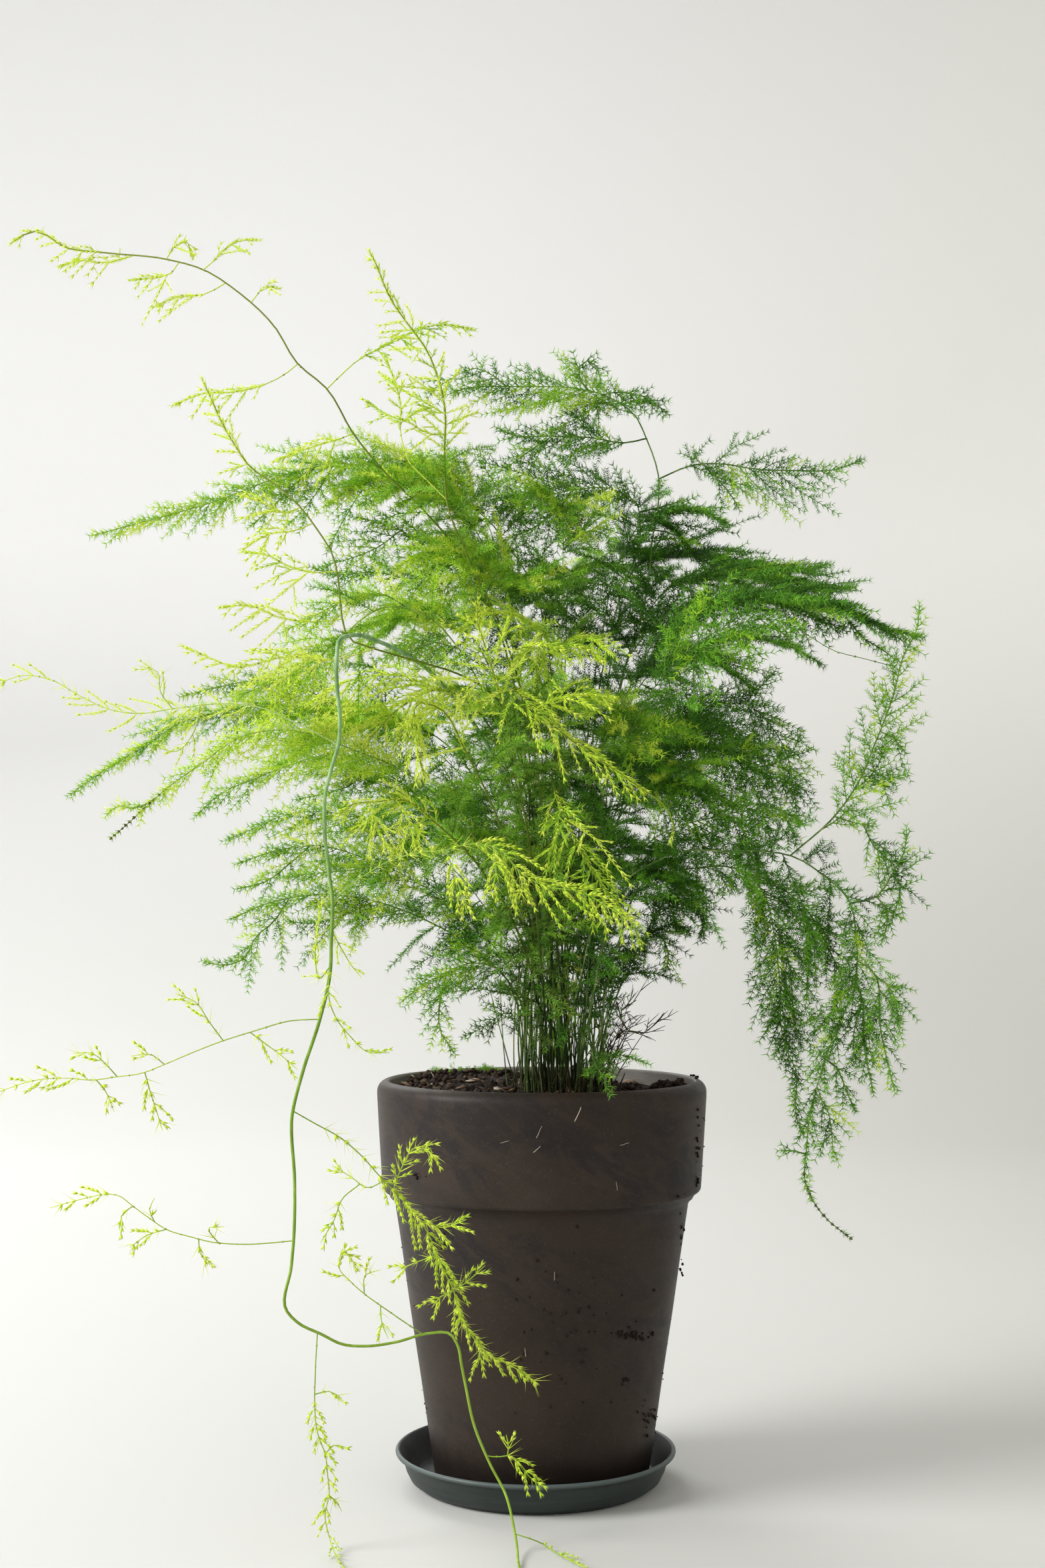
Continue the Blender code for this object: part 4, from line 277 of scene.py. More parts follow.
stem("long_vine", "vine", [(822, 1440, -18), (790, 1260), (720, 1100, -62), (640, 1003, -80),
    (570, 963, -100), (528, 953, -114), (509, 960, -121), (505, 990, -123), (506, 1036, -122), (510, 1077),
    (508, 1115), (497, 1153), (487, 1199), (487, 1240), (491, 1304), (494, 1366, -118), (491, 1400),
    (488, 1459), (473, 1530), (451, 1606), (438, 1673), (442, 1771), (441, 1852), (437, 1900),
    (430, 1966, -108), (447, 1984), (482, 2001), (513, 2016), (549, 2019), (594, 2013), (643, 2000, -101),
    (676, 2001), (688, 2021), (692, 2044), (699, 2080), (711, 2136), (734, 2193, -99), (760, 2245, -101),
    (773, 2302, -108), (778, 2345, LAID), (790, 2400, LAID), (830, 2452, LAID), (900, 2490, LAID)],
    (39, 6, 0), [
    limb([(508, 1115, -122), (444, 1084), (383, 1059), (337, 1055), (265, 1062), (204, 1070), (168, 1065),
        (122, 1045), (77, 1020), (36, 1013), (0, 1025), (-22, 1042, -116)], 8, 80, 2, [
        limb([(265, 1062, -119), (240, 1035), (238, 1010), (205, 998)], 4),
        limb([(300, 1058, -120), (290, 1100), (262, 1128), (235, 1120, -126)], 5)]),
    limb([(493, 1360, -118), (515, 1335), (545, 1312), (585, 1290), (633, 1278), (666, 1275), (704, 1266),
        (752, 1276), (776, 1304), (814, 1328), (872, 1338), (920, 1365), (950, 1385, -122)], 9, 85, 6, [
        limb([(666, 1275, -120), (680, 1310), (692, 1340), (702, 1371, -124)], 4, 85),
        limb([(733, 1270, -120), (743, 1310), (735, 1345, -126)], 4, 85),
        limb([(776, 1304, -120), (783, 1330), (778, 1349, -126)], 4, 85)]),
    limb([(489, 1300, -119), (470, 1275), (449, 1247), (441, 1204, -124)], 7),
    limb([(491, 1399, -117), (510, 1425), (528, 1450), (543, 1467, -120)], 3),
    limb([(489, 1450, -116), (475, 1470), (470, 1430), (478, 1385), (486, 1340, -108)], 5),
    limb([(489, 1455, -116), (490, 1499, -120), (504, 1530), (527, 1557), (549, 1577), (585, 1579, -122)], 4),
    limb([(473, 1530, -115), (429, 1532), (371, 1548), (328, 1562), (290, 1577), (246, 1596), (210, 1610),
        (174, 1615), (138, 1620), (98, 1617), (54, 1620), (0, 1637), (-20, 1645)], 4, 80, 8, [
        limb([(371, 1548, -115), (395, 1565), (420, 1582), (446, 1604, -120)], 4),
        limb([(328, 1562, -115), (310, 1530), (295, 1505), (263, 1490)], 5),
        limb([(210, 1610, -115), (225, 1640), (235, 1668), (244, 1697)], 4),
        limb([(174, 1615, -115), (158, 1597), (138, 1580), (108, 1580)], 3, first=1),
        limb([(138, 1620, -115), (158, 1638), (171, 1668)], 3),
        limb([(244, 1597, -115), (225, 1582), (197, 1584)], 3)]),
    limb([(438, 1676, -112), (473, 1689), (504, 1704), (540, 1733), (571, 1767), (598, 1794), (625, 1825),
        (643, 1852), (654, 1879), (670, 1914), (684, 1946), (690, 1980), (715, 2012), (734, 2032),
        (766, 2048), (807, 2075, -88)], 5, None, 4, [
        limb([(590, 1786, -106), (604, 1750), (622, 1722), (645, 1722), (648, 1748, -108)], 4),
        limb([(576, 1772, -107), (553, 1783), (527, 1766), (498, 1748, -100)], 3, 80, 1, [
            limb([(540, 1775, -104), (512, 1801), (503, 1826), (480, 1865, -100)], 3, first=1)]),
        limb([(632, 1837, -103), (665, 1842), (700, 1829, -106)], 4),
        limb([(656, 1882, -100), (628, 1893), (592, 1908, -102)], 5),
        limb([(680, 1935, -96), (663, 1945), (648, 1962, -98)], 3),
        limb([(682, 1940, -96), (705, 1920), (728, 1898, -98)], 3),
        limb([(715, 2012, -92), (721, 2030), (716, 2052, -94)], 3)]),
    limb([(441, 1871, -110), (379, 1868), (312, 1863), (286, 1856), (250, 1845), (223, 1827), (196, 1807),
        (179, 1794), (163, 1791), (134, 1796), (74, 1812)], 3, 80, 8, [
        limb([(325, 1864, -110), (312, 1843), (337, 1840, -112)], 3),
        limb([(296, 1859, -110), (300, 1880), (312, 1896)], 3),
        limb([(250, 1845, -110), (222, 1852), (194, 1872)], 3),
        limb([(228, 1831, -110), (224, 1815), (232, 1796)], 3),
        limb([(200, 1810, -110), (183, 1822), (179, 1846)], 3)]),
    limb([(484, 2002, -107), (475, 2057), (473, 2103), (478, 2153), (488, 2180), (492, 2214), (494, 2245),
        (488, 2268), (494, 2306, -109), (504, 2334, LAID), (526, 2366, LAID)], 3, 80, 2, [
        limb([(474, 2090, -107), (495, 2088), (513, 2098)], 3),
        limb([(487, 2178, -107), (500, 2169), (519, 2171)], 3),
        limb([(494, 2240, -107), (503, 2252), (513, 2268)], 3)]),
    limb([(636, 2002, -101), (622, 1990, -104), (576, 1961), (545, 1939), (527, 1923), (508, 1900),
        (513, 1878), (541, 1906, -106)], 3, 80, 4, [
        limb([(546, 1939, -105), (549, 1914), (571, 1905)], 3),
        limb([(572, 1959, -105), (574, 1985, -109), (583, 2008, -110)], 3)]),
    limb([(733, 2193, -99), (748, 2189), (765, 2186), (780, 2196), (797, 2218), (818, 2232, -98)], 3, 80, 2, [
        limb([(763, 2186, -99), (764, 2170), (760, 2153)], 3)]),
    limb([(774, 2306, -108), (795, 2311, -110), (814, 2317, LAID), (832, 2328, LAID), (853, 2339, LAID),
        (878, 2352, LAID)], 3, 20, 3)])

# Stems of the back and the dense middle, which the front view shows only as a mass, named after stem_. Each
# arches out at its azimuth (0 is right, 90 the back) to a height, a reach and a droop of its end
ARCHES = [
    ("back_1", "old", 36, 425, 122, 30, 26, 10),
    ("back_2", "old", 62, 372, 134, 40, 26, 10),
    ("back_3", "mid", 84, 472, 96, 26, 24, 15),
    ("back_4", "old", 104, 402, 130, 42, 26, 10),
    ("back_5", "old", 128, 345, 128, 40, 26, 10),
    ("back_6", "mid", 146, 448, 118, 34, 24, 15),
    ("back_7", "old", 76, 315, 108, 34, 24, 10),
    ("back_8", "mid", 168, 388, 138, 36, 24, 15),
    ("top_1", "mid", 176, 512, 78, 26, 22, 25),
    ("top_2", "old", 24, 490, 66, 30, 22, 20),
    ("top_3", "mid", 272, 486, 52, 34, 20, 45),
    ("middle_1", "mid", 202, 500, 96, 30, 22, 30),
    ("middle_2", "mid", 238, 458, 80, 36, 22, 35),
    ("middle_3", "young", 262, 425, 84, 44, 22, 40),
    ("middle_4", "young", 218, 398, 108, 44, 22, 40),
    ("middle_5", "mid", 296, 384, 84, 38, 20, 35),
    ("middle_6", "old", 328, 352, 84, 30, 20, 25),
    ("low_front", "mid", 246, 318, 72, 26, 20, 30),
    ("low_right", "old", 332, 306, 64, 24, 18, 20),
    ("low_back", "old", 98, 296, 66, 20, 20, 15),
]
ARCH_LIMBS = ((0.62, 40), (0.76, -44))  # where their side shoots leave them, and how far these turn off
ARCH_LIMB_SHARE = 0.5  # of the reach of the stem

UP = np.array([0.0, 0.0, 1.0])
HALVES = (0.0, 0.5, 1.0)


def seen(across, down, depth):
    """The place that the front view shows at a pixel, at a depth or laid on the surface."""
    ray = np.array([(across - VIEW_MIDDLE) / VIEW_FOCAL, 1.0, (HORIZON - down) / VIEW_FOCAL])
    if depth is LAID:
        return EYE + ray * (LAY_HEIGHT - EYE[2]) / ray[2]
    return EYE + ray * (depth - EYE[1]) / ray[1]


def placed(route):
    """A route's points in space. A point without a depth takes one between those of its neighbours."""
    if isinstance(route, np.ndarray):
        return list(route)
    known = [i for i, point in enumerate(route) if len(point) == 3 and point[2] is not LAID]
    depths = np.interp(range(len(route)), known, [route[i][2] for i in known])
    return [seen(p[0], p[1], LAID if len(p) == 3 and p[2] is LAID else d) for p, d in zip(route, depths)]


def arch_at(arch, t):
    """A place on an arching stem, from the soil at 0 to its tip at 1."""
    height = (arch.top - SOIL_LEVEL) * (1 - (1 - t) ** 2.3) - arch.droop * max(0.0, (t - 0.6) / 0.4) ** 2
    out = 8 + arch.reach * t ** 1.9
    turn = math.radians(arch.azimuth)
    return np.array([CROWN[0] + out * math.cos(turn), CROWN[1] + out * math.sin(turn), SOIL_LEVEL + height])


def arch_limbs(arch):
    """The side shoots of an arching stem."""
    limbs = []
    for t, turn_off in ARCH_LIMBS:
        turn = math.radians(arch.azimuth + turn_off)
        way = np.array([math.cos(turn), math.sin(turn), 0.0])
        reach = ARCH_LIMB_SHARE * (arch.reach + 20)
        points = [arch_at(arch, t) + (way * k + UP * (0.55 * k - 0.65 * k * k)) * reach
                  for k in (0.0, 0.33, 0.67, 1.0)]
        limbs.append(limb(np.array(points), arch.leafy * 0.7, arch.roll))
    return limbs


def soil_top(x, y):
    """The height of the soil: mounded to the rim at the back left, lower at the right, with a rough crumb."""
    mound = math.exp(-((x + 38) ** 2 + (y - 34) ** 2) / 1800)
    dip = math.exp(-((x - 52) ** 2 + (y - 20) ** 2) / 900)
    crumb = 0.8 * math.sin(0.33 * x + 0.8) * math.cos(0.29 * y) + 0.5 * math.sin(0.61 * y - 0.4 * x)
    return SOIL_LEVEL + MOUND_HEIGHT * mound - 4.0 * dip + crumb


class Line:
    """A smooth line through points at even steps, with a side direction carried along it."""

    def __init__(self, points, shoot, parent=None):
        self.shoot, self.parent, self.root_at = shoot, parent, 0.0
        points = np.array(points)
        chord = np.concatenate([[0], np.cumsum(np.linalg.norm(np.diff(points, axis=0), axis=1))])
        slope = np.gradient(points, chord, axis=0)
        count = max(3, int(round(chord[-1] / STEP)))
        along = np.linspace(0, chord[-1], count + 1)
        span = np.clip(np.searchsorted(chord, along, side="right") - 1, 0, len(points) - 2)
        width = (chord[span + 1] - chord[span])[:, None]
        u = ((along - chord[span]) / width[:, 0])[:, None]
        a, b = points[span], points[span + 1]
        self.points = ((1 + 2 * u) * (1 - u) ** 2 * a + u * (1 - u) ** 2 * width * slope[span]
                       + u * u * (3 - 2 * u) * b + u * u * (u - 1) * width * slope[span + 1])
        self.measure()
        self.knots = [self.nearest(point) for point in points]

    def measure(self):
        """Works out the lengths and headings along the points."""
        steps = np.linalg.norm(np.diff(self.points, axis=0), axis=1)
        self.along = np.concatenate([[0], np.cumsum(steps)])
        self.length = self.along[-1]
        heading = np.gradient(self.points, self.along, axis=0)
        self.headings = heading / np.linalg.norm(heading, axis=1)[:, None]

    def nearest(self, point):
        return self.along[np.argmin(np.linalg.norm(self.points - point, axis=1))]

    def between(self, rows, s):
        """What the rows, one for each point, say at a length along the line."""
        return np.array([np.interp(s, self.along, column) for column in rows.T])

    def at(self, s):
        return self.between(self.points, s)

    def heading(self, s):
        return unit(self.between(self.headings, s))

    def carry_side(self, s, normal):
        """Sets the side direction at s square to the normal, and carries it without twist to both ends."""
        start = int(np.argmin(abs(self.along - s)))
        side = unit(np.cross(normal, self.headings[start]))
        self.sides = np.zeros_like(self.points)
        for order in (range(start, len(self.points)), range(start, -1, -1)):
            carried = side
            for i in order:
                carried = unit(carried - self.headings[i] * np.dot(carried, self.headings[i]))
                self.sides[i] = carried

    def side(self, s):
        heading, side = self.heading(s), self.between(self.sides, s)
        return unit(side - heading * np.dot(side, heading))


def size_of(vector):
    return float(np.linalg.norm(vector))


def unit(vector):
    return vector / max(np.linalg.norm(vector), 1e-9)


def in_crown(r, turn):
    """A place in the clump of stems, whose edge is at 1."""
    return CROWN[0] + CROWN_SPREAD[0] * r * math.cos(turn), CROWN[1] + CROWN_SPREAD[1] * r * math.sin(turn)


def stem_points():
    """Each stem's points above the soil, by its route or its arch, with the foot nearest its way out."""
    rises = [(name, tone, shoot, placed(shoot.route)) for name, tone, shoot in PLANT]
    for arch in map(Arch._make, ARCHES):
        spray = Spray(2, arch.leafy, arch.roll)
        shoot = Shoot(None, THICK[arch.tone], spray, arch_limbs(arch))
        points = [arch_at(arch, t) for t in (0.25, 0.45, 0.62, 0.76, 0.88, 1.0)]
        rises.append(("stem_" + arch.name, arch.tone, shoot, points))
    free = [in_crown(math.sqrt((i + 0.5) / len(rises)), i * GOLDEN) for i in range(len(rises))]

    def lean(rise):
        first = rise[3][0]
        return (first[:2] - CROWN) / (first[2] - SOIL_LEVEL + 5)

    placed_feet = {}
    for rise in sorted(rises, key=lambda rise: -size_of(lean(rise))):
        way = lean(rise) * 55
        wish = CROWN + way * min(1.0, 20 / max(size_of(way), 1e-6))
        placed_feet[rise[0]] = min(free, key=lambda f: math.hypot(f[0] - wish[0], f[1] - wish[1]))
        free.remove(placed_feet[rise[0]])
    return [(name, tone, shoot, placed_feet[name], points) for name, tone, shoot, points in rises]


def add_limbs(line, lines):
    """Adds a line's limbs, and theirs, each from the line's nearest point."""
    for shoot in line.shoot.limbs:
        points = placed(shoot.route)
        root_at = line.nearest(points[0])
        points[0] = line.at(root_at)
        child = Line(points, shoot, line)
        child.root_at = root_at
        lines.append(child)
        add_limbs(child, lines)


def all_lines():
    """The lines of every stem and its limbs, bent clear of each other, with each line's stem by number."""
    stems, lines = [], []
    for name, tone, shoot, foot, points in stem_points():
        top = soil_top(*foot)
        start = [np.array([foot[0], foot[1], z]) for z in (top - HOLE_DEPTH, top - HOLE_DEPTH / 2, top + 3)]
        line = Line(start + list(points), shoot)
        line.lead = len(start)
        stems.append((name, tone))
        grown = [line]
        add_limbs(line, grown)
        for each in grown:
            each.stem = len(stems) - 1
        lines.extend(grown)
    bend_clear(lines)
    return stems, lines


BEND_ROUNDS = 24
BEND_GAP = 4.2  # spacing of points on two lines, below which both are bent away
BEND_SHARE = 0.3  # of what is missing, in one round
BEND_BLUR = (0.15, 0.35, 0.7, 1.0, 0.7, 0.35, 0.15)  # how far a bend spreads to the next points
HELD = 12.0  # length at a stem's foot, or beside a fork, that isn't bent


def bend_clear(lines):
    """Bends lines that come too near apart, a little in each round, and seats each limb on its parent."""
    for _ in range(BEND_ROUNDS):
        tree = KDTree(sum(len(line.points) for line in lines))
        owner = [(line, i) for line in lines for i in range(len(line.points))]
        for number, (line, i) in enumerate(owner):
            tree.insert(line.points[i], number)
        tree.balance()
        pushes = {id(line): np.zeros_like(line.points) for line in lines}
        for line, i in owner:
            for spot, number, distance in tree.find_range(line.points[i], BEND_GAP):
                other, j = owner[number]
                if other is line or forked(line, i, other, j):
                    continue
                away = line.points[i] - np.array(spot)
                if distance < 0.05:
                    first = lines.index(line) < lines.index(other)
                    away = np.cross(line.headings[i], other.headings[j]) * (1 if first else -1)
                pushes[id(line)][i] += unit(away) * (BEND_GAP - distance) * BEND_SHARE
        for line in lines:
            push = pushes[id(line)]
            if not push.any():
                continue
            for axis in range(3):
                push[:, axis] = np.convolve(push[:, axis], BEND_BLUR, mode="same")[:len(push)]
            free = np.clip((line.along - HELD) / HELD, 0, 1) if line.parent is None else 1.0
            line.points += push * np.array(free).reshape(-1, 1)
            line.points[:, 2] = np.maximum(line.points[:, 2], LAY_HEIGHT)
            line.measure()
        for line in lines:
            if line.parent is not None:
                shift = line.parent.at(line.root_at) - line.points[0]
                line.points += shift * np.clip(1 - line.along / 20, 0, 1)[:, None]
                line.measure()


def forked(line, i, other, j):
    """True for two points beside the fork that joins their lines."""
    if other.parent is line:
        line, i, other, j = other, j, line, i
    if line.parent is other:
        return line.along[i] < HELD or abs(other.along[j] - line.root_at) < HELD * 0.6
    if line.parent is None or line.parent is not other.parent:
        return False
    return max(line.along[i], other.along[j], abs(line.root_at - other.root_at)) < HELD


def spray_range(line):
    """Where a line's spray starts and ends, as lengths along it."""
    spray = line.shoot.spray
    lead = getattr(line, "lead", 0)
    start = line.along[0] + line.knots[spray.first + lead]
    end = line.length if spray.last is None else line.knots[spray.last + lead]
    return start + (3.0 if spray.first == 0 else 0.0), min(end, line.length - 2.0)


def set_side(line):
    """Turns a line's side direction so that its spray lies at its roll."""
    spray = line.shoot.spray
    roll = math.radians(60 if spray is None or spray.roll is None else spray.roll)
    s = line.length * 0.6 if spray is None else spray_range(line)[0]
    line.carry_side(s, np.array([0.0, -math.sin(roll), math.cos(roll)]))


class Branchlet(namedtuple("Branchlet", "s start reach bend up")):
    """A branchlet of a spray, that starts at a length along its shoot and bends on its way."""

    def at(self, u):
        return self.start + self.reach * u + self.bend * u * u

    def aim(self, u):
        return unit(self.reach + 2 * self.bend * u)


def branchlets(line, seed, shift=0.5):
    """A spray's branchlets, in pairs along its shoot: longest a fifth of the way out, shorter to the tip."""
    spray = line.shoot.spray
    draw = random.Random(seed)
    start, end = spray_range(line)
    found = []
    pairs = max(1, int((end - start) / spray.gap))
    for pair in range(pairs):
        t = (pair + shift) / pairs
        s = start + (end - start) * t
        heading, side = line.heading(s), line.side(s)
        up = np.cross(heading, side)
        for hand in (-1, 1):
            angle = math.radians(draw.uniform(46, 62) - 14 * t)
            lift = draw.uniform(-0.22, 0.22)
            length = spray.reach * WIDEN * min(1.0, 0.5 + 3 * t) * (1 - t) ** 0.6 + 1.5
            length *= draw.uniform(0.78, 1.12)
            out = side * hand
            if spray.roll is None:
                turn = pair * GOLDEN
                out = (side * math.cos(turn) + up * math.sin(turn)) * hand
            reach = unit(heading * math.cos(angle) + out * math.sin(angle) + up * lift) * length
            bend = heading * length * 0.16 - UP * (0.09 * length * min(1.5, length / 20))
            found.append(Branchlet(s, line.at(s), reach, bend, up))
    return found


def body_radius(z):
    """The outer radius of the pot's body, which widens evenly up to the collar."""
    return BODY_FOOT_RADIUS + (BODY_TOP_RADIUS - BODY_FOOT_RADIUS) * z / BODY_TOP


TWIG_KEEPS_OFF = 0.3  # a twig's radius, for the rule below


def outside_holders(a, b):
    """True if a stretch of twig keeps off the surface, the saucer, the pot and the soil."""
    for t in (0.0, 0.34, 0.67, 1.0):
        x, y, z = a + (b - a) * t
        from_axis = math.hypot(x, y)
        if z - TWIG_KEEPS_OFF < 0.25:
            return False
        if z < SAUCER_LIP_TOP + 1.5 and math.hypot(x - SAUCER_OFF_AXIS, y) < SAUCER_LIP_RADIUS + 1.5:
            return False
        above_soil = from_axis < INNER_RADIUS - 1.5 and z > soil_top(x, y) + 1.2
        outer = LIP_RADIUS if z > COLLAR_FOOT - 3 else body_radius(max(0.0, z))
        if z < LIP_TOP + 1.2 and from_axis < outer + 1.2 and not above_soil:
            return False
    return True


class Wire:
    """A value or colour on its way through a net of nodes. Arithmetic on it adds Math nodes."""

    def __init__(self, net, socket):
        self.net, self.socket = net, socket

    def calc(self, operation, *values):
        return self.net.node("ShaderNodeMath", {"operation": operation}, dict(enumerate(values)))

    def __add__(self, other):
        return self.calc("ADD", self, other)

    def __sub__(self, other):
        return self.calc("SUBTRACT", self, other)

    def __rsub__(self, other):
        return self.calc("SUBTRACT", other, self)

    def __mul__(self, other):
        return self.calc("MULTIPLY", self, other)

    def __gt__(self, other):
        return self.calc("GREATER_THAN", self, other)

    __radd__, __rmul__ = __add__, __mul__


class Net:
    """A tree of nodes, with the one way that its nodes are added."""

    def __init__(self, tree):
        self.tree = tree

    def node(self, kind, settings=None, inputs=None, output=0):
        made = self.tree.nodes.new(kind)
        for name, value in (settings or {}).items():
            if name == "stops":
                ramp = made.color_ramp.elements
                while len(ramp) < len(value):
                    ramp.new(1.0)
                for stop, (place, colour) in zip(ramp, value):
                    stop.position, stop.color = place, (*colour, 1.0)
            else:
                setattr(made, name, value)
        self.join(made, inputs or {})
        return Wire(self, made.outputs[output])

    def join(self, node, inputs):
        for name, value in inputs.items():
            socket = node.inputs[name]
            if isinstance(value, Wire):
                self.tree.links.new(value.socket, socket)
            elif socket.type == "RGBA":
                socket.default_value = (*value, 1.0)
            else:
                socket.default_value = value


def tint(*colour):
    """A colour as it shows on a screen, red, green and blue from 0 to 255, as light."""
    shares = [value / 255 for value in colour]
    return tuple(c / 12.92 if c <= 0.04045 else ((c + 0.055) / 1.055) ** 2.4 for c in shares)


class Paint(Net):
    """A material. Its constants are set on the shader itself, and what varies over the surface is wired.
    Colours are given to it as they show on a screen."""

    def __init__(self, name, **constants):
        self.material = bpy.data.materials.new(name)
        self.material.use_nodes = True
        super().__init__(self.material.node_tree)
        self.shader = self.tree.nodes["Principled BSDF"]
        self.finish(**constants)

    def finish(self, **inputs):
        self.join(self.shader, {name.replace("_", " "): value for name, value in inputs.items()})
        return self.material

    def place(self, stretch=(1.0, 1.0, 1.0)):
        """Object coordinates, stretched for a pattern that runs one way."""
        here = self.node("ShaderNodeTexCoord", output="Object")
        return self.node("ShaderNodeMapping", None, {"Vector": here, "Scale": stretch})

    def height(self):
        """The height above the surface that the saucer stands on, in metres."""
        return self.node("ShaderNodeSeparateXYZ", None, {0: self.place()}, "Z")

    def from_axis(self):
        """The distance from the upright line through the middle of the pot, in metres."""
        flat = self.place((1.0, 1.0, 0.0))
        return self.node("ShaderNodeVectorMath", {"operation": "LENGTH"}, {0: flat}, "Value")

    def inward(self):
        """1 where the surface faces the middle of the pot, and 0 where it faces up, down or away."""
        facing = self.node("ShaderNodeTexCoord", output="Normal")
        across = self.node("ShaderNodeVectorMath", {"operation": "DOT_PRODUCT"},
                           {0: facing, 1: self.place((1.0, 1.0, 0.0))}, "Value")
        return self.rise(-1.0 * across, 0.004, 0.03)

    def noise(self, scale, detail=3.0, roughness=0.5, at=(1.0, 1.0, 1.0), distortion=0.0):
        """Noise at a place, or at the object's own coordinates with a stretch."""
        where = at if isinstance(at, Wire) else self.place(at)
        return self.node("ShaderNodeTexNoise", None, {"Vector": where, "Scale": scale, "Detail": detail,
                                                      "Roughness": roughness, "Distortion": distortion})

    def cells(self, scale):
        """Patches, each with a colour of its own."""
        return self.node("ShaderNodeTexVoronoi", None, {"Vector": self.place(), "Scale": scale}, "Color")

    def rise(self, value, low, high):
        """0 where the value is below low and 1 above high, smooth between."""
        return self.node("ShaderNodeMapRange", {"interpolation_type": "SMOOTHSTEP"},
                         {"Value": value, "From Min": low, "From Max": high})

    def named(self, attribute):
        return self.node("ShaderNodeAttribute", {"attribute_name": attribute}, output="Fac")

    def ramp(self, value, *stops):
        """The colour of a value, between stops of a place and a colour each."""
        stops = [(place, tint(*colour)) for place, *colour in stops]
        return self.node("ShaderNodeValToRGB", {"stops": stops}, {"Fac": value})

    def blend(self, share, under, over):
        """The colour over laid on the colour under by a share."""
        over = over if isinstance(over, Wire) else tint(*over)
        return self.node("ShaderNodeMix", {"data_type": "RGBA"}, {0: share, 6: under, 7: over}, 2)

    def layer(self, under, over, share, value, low, high):
        """The colour over laid on the colour under by a share, where the value is high."""
        return self.blend(self.rise(value, low, high) * share, under, over)

    def bump(self, height, strength, depth):
        """A relief of so many millimetres."""
        return self.node("ShaderNodeBump", None,
                         {"Height": height, "Strength": strength, "Distance": depth * MM}, "Normal")


# Finishes

def foliage_paint(name, tips, bark, high_bark=None):
    """A stem's finish: needles by their tone, paler at the tips, on bark that shows by the woody share."""
    paint = Paint(name, Specular_IOR_Level=0.14)
    patch = paint.noise(46.0, 2.0)
    fine = paint.noise(900.0, 2.0)
    tone = paint.named("tone") + (patch - 0.5) * 0.45 + (fine - 0.5) * 0.25
    needle = paint.ramp(tone, *LEAF)
    needle = paint.blend(paint.named("tipness") * 0.4, needle, tips)
    rings = paint.noise(260.0, 3.0, 0.6, (1.0, 1.0, 0.35))
    wood = paint.ramp(rings, *bark)
    if high_bark:
        wood = paint.blend(paint.rise(paint.height(), 0.24, 0.36), wood, paint.ramp(rings, *high_bark))
    low = 1.0 - paint.rise(paint.height(), 0.197, 0.221)
    wood = paint.blend(low * (1.0 - paint.rise(paint.from_axis(), 0.045, 0.06)) * 0.65, wood, (38, 31, 20))
    colour = paint.blend(paint.named("woody"), needle, wood)
    colour = paint.blend(paint.named("dry"), colour, paint.ramp(rings, *BARK_DRY))
    return paint.finish(Base_Color=colour, Roughness=0.72 - 0.2 * patch, Normal=paint.bump(rings, 0.35, 0.12))


def clay_paint():
    """Dark taupe fired clay with slanting blue-black marbling, a fine speckle and rubbed dust, darker towards
    the foot, and painted light on the upper inner wall.
    """
    paint = Paint("clay", Specular_IOR_Level=0.2, Coat_Roughness=0.35)
    clouds = paint.noise(9.0, 4.0, 0.55, (1.0, 1.0, 1.6), 0.5)
    slant = paint.node("ShaderNodeMapping", {"vector_type": "TEXTURE"}, {
        "Vector": paint.place(), "Rotation": (0.15, math.radians(33), 0.1), "Scale": (3.4, 1.6, 1.0)})
    veins = paint.noise(125.0, 6.0, 0.7, slant, 0.8)
    where = paint.noise(22.0, 3.0, 0.55, slant, 0.3)
    speckle = paint.noise(1300.0, 2.0, 0.7)
    scuffs = paint.noise(90.0, 6.0, 0.75, (1.0, 1.0, 4.0))
    colour = paint.ramp(clouds, (0.3, 40, 31, 24), (0.52, 49, 39, 31), (0.75, 63, 52, 43))
    dark = paint.rise(veins, 0.38, 0.62) * paint.rise(where, 0.4, 0.6) * 0.8
    colour = paint.blend(dark, colour, (24, 21, 25))
    colour = paint.layer(colour, (104, 92, 82), 0.3, speckle, 0.6, 0.74)
    colour = paint.layer(colour, (34, 26, 23), 0.35, 0.42 - speckle, 0.0, 0.16)
    colour = paint.layer(colour, (112, 101, 92), 0.2, scuffs, 0.62, 0.8)
    # darker towards the foot
    darker_foot = 1.0 - paint.rise(paint.height() + (scuffs - 0.5) * 0.02, 0.012, 0.034)
    colour = paint.blend(darker_foot * 0.6, colour, (20, 16, 15))
    # painted light: the upper part of the pot's inner wall is painted pale, as if lit
    inner = paint.inward() * paint.rise(paint.height(), 0.17, 0.186)
    colour = paint.blend(inner * (0.35 + 0.5 * scuffs), colour, (168, 162, 156))
    relief = paint.bump(speckle * 0.5 + scuffs * 0.35 + clouds, 0.5, 0.3)
    return paint.finish(Base_Color=colour, Roughness=0.46 + 0.24 * scuffs - 0.1 * clouds,
                        Coat_Weight=0.1 * clouds, Normal=relief)


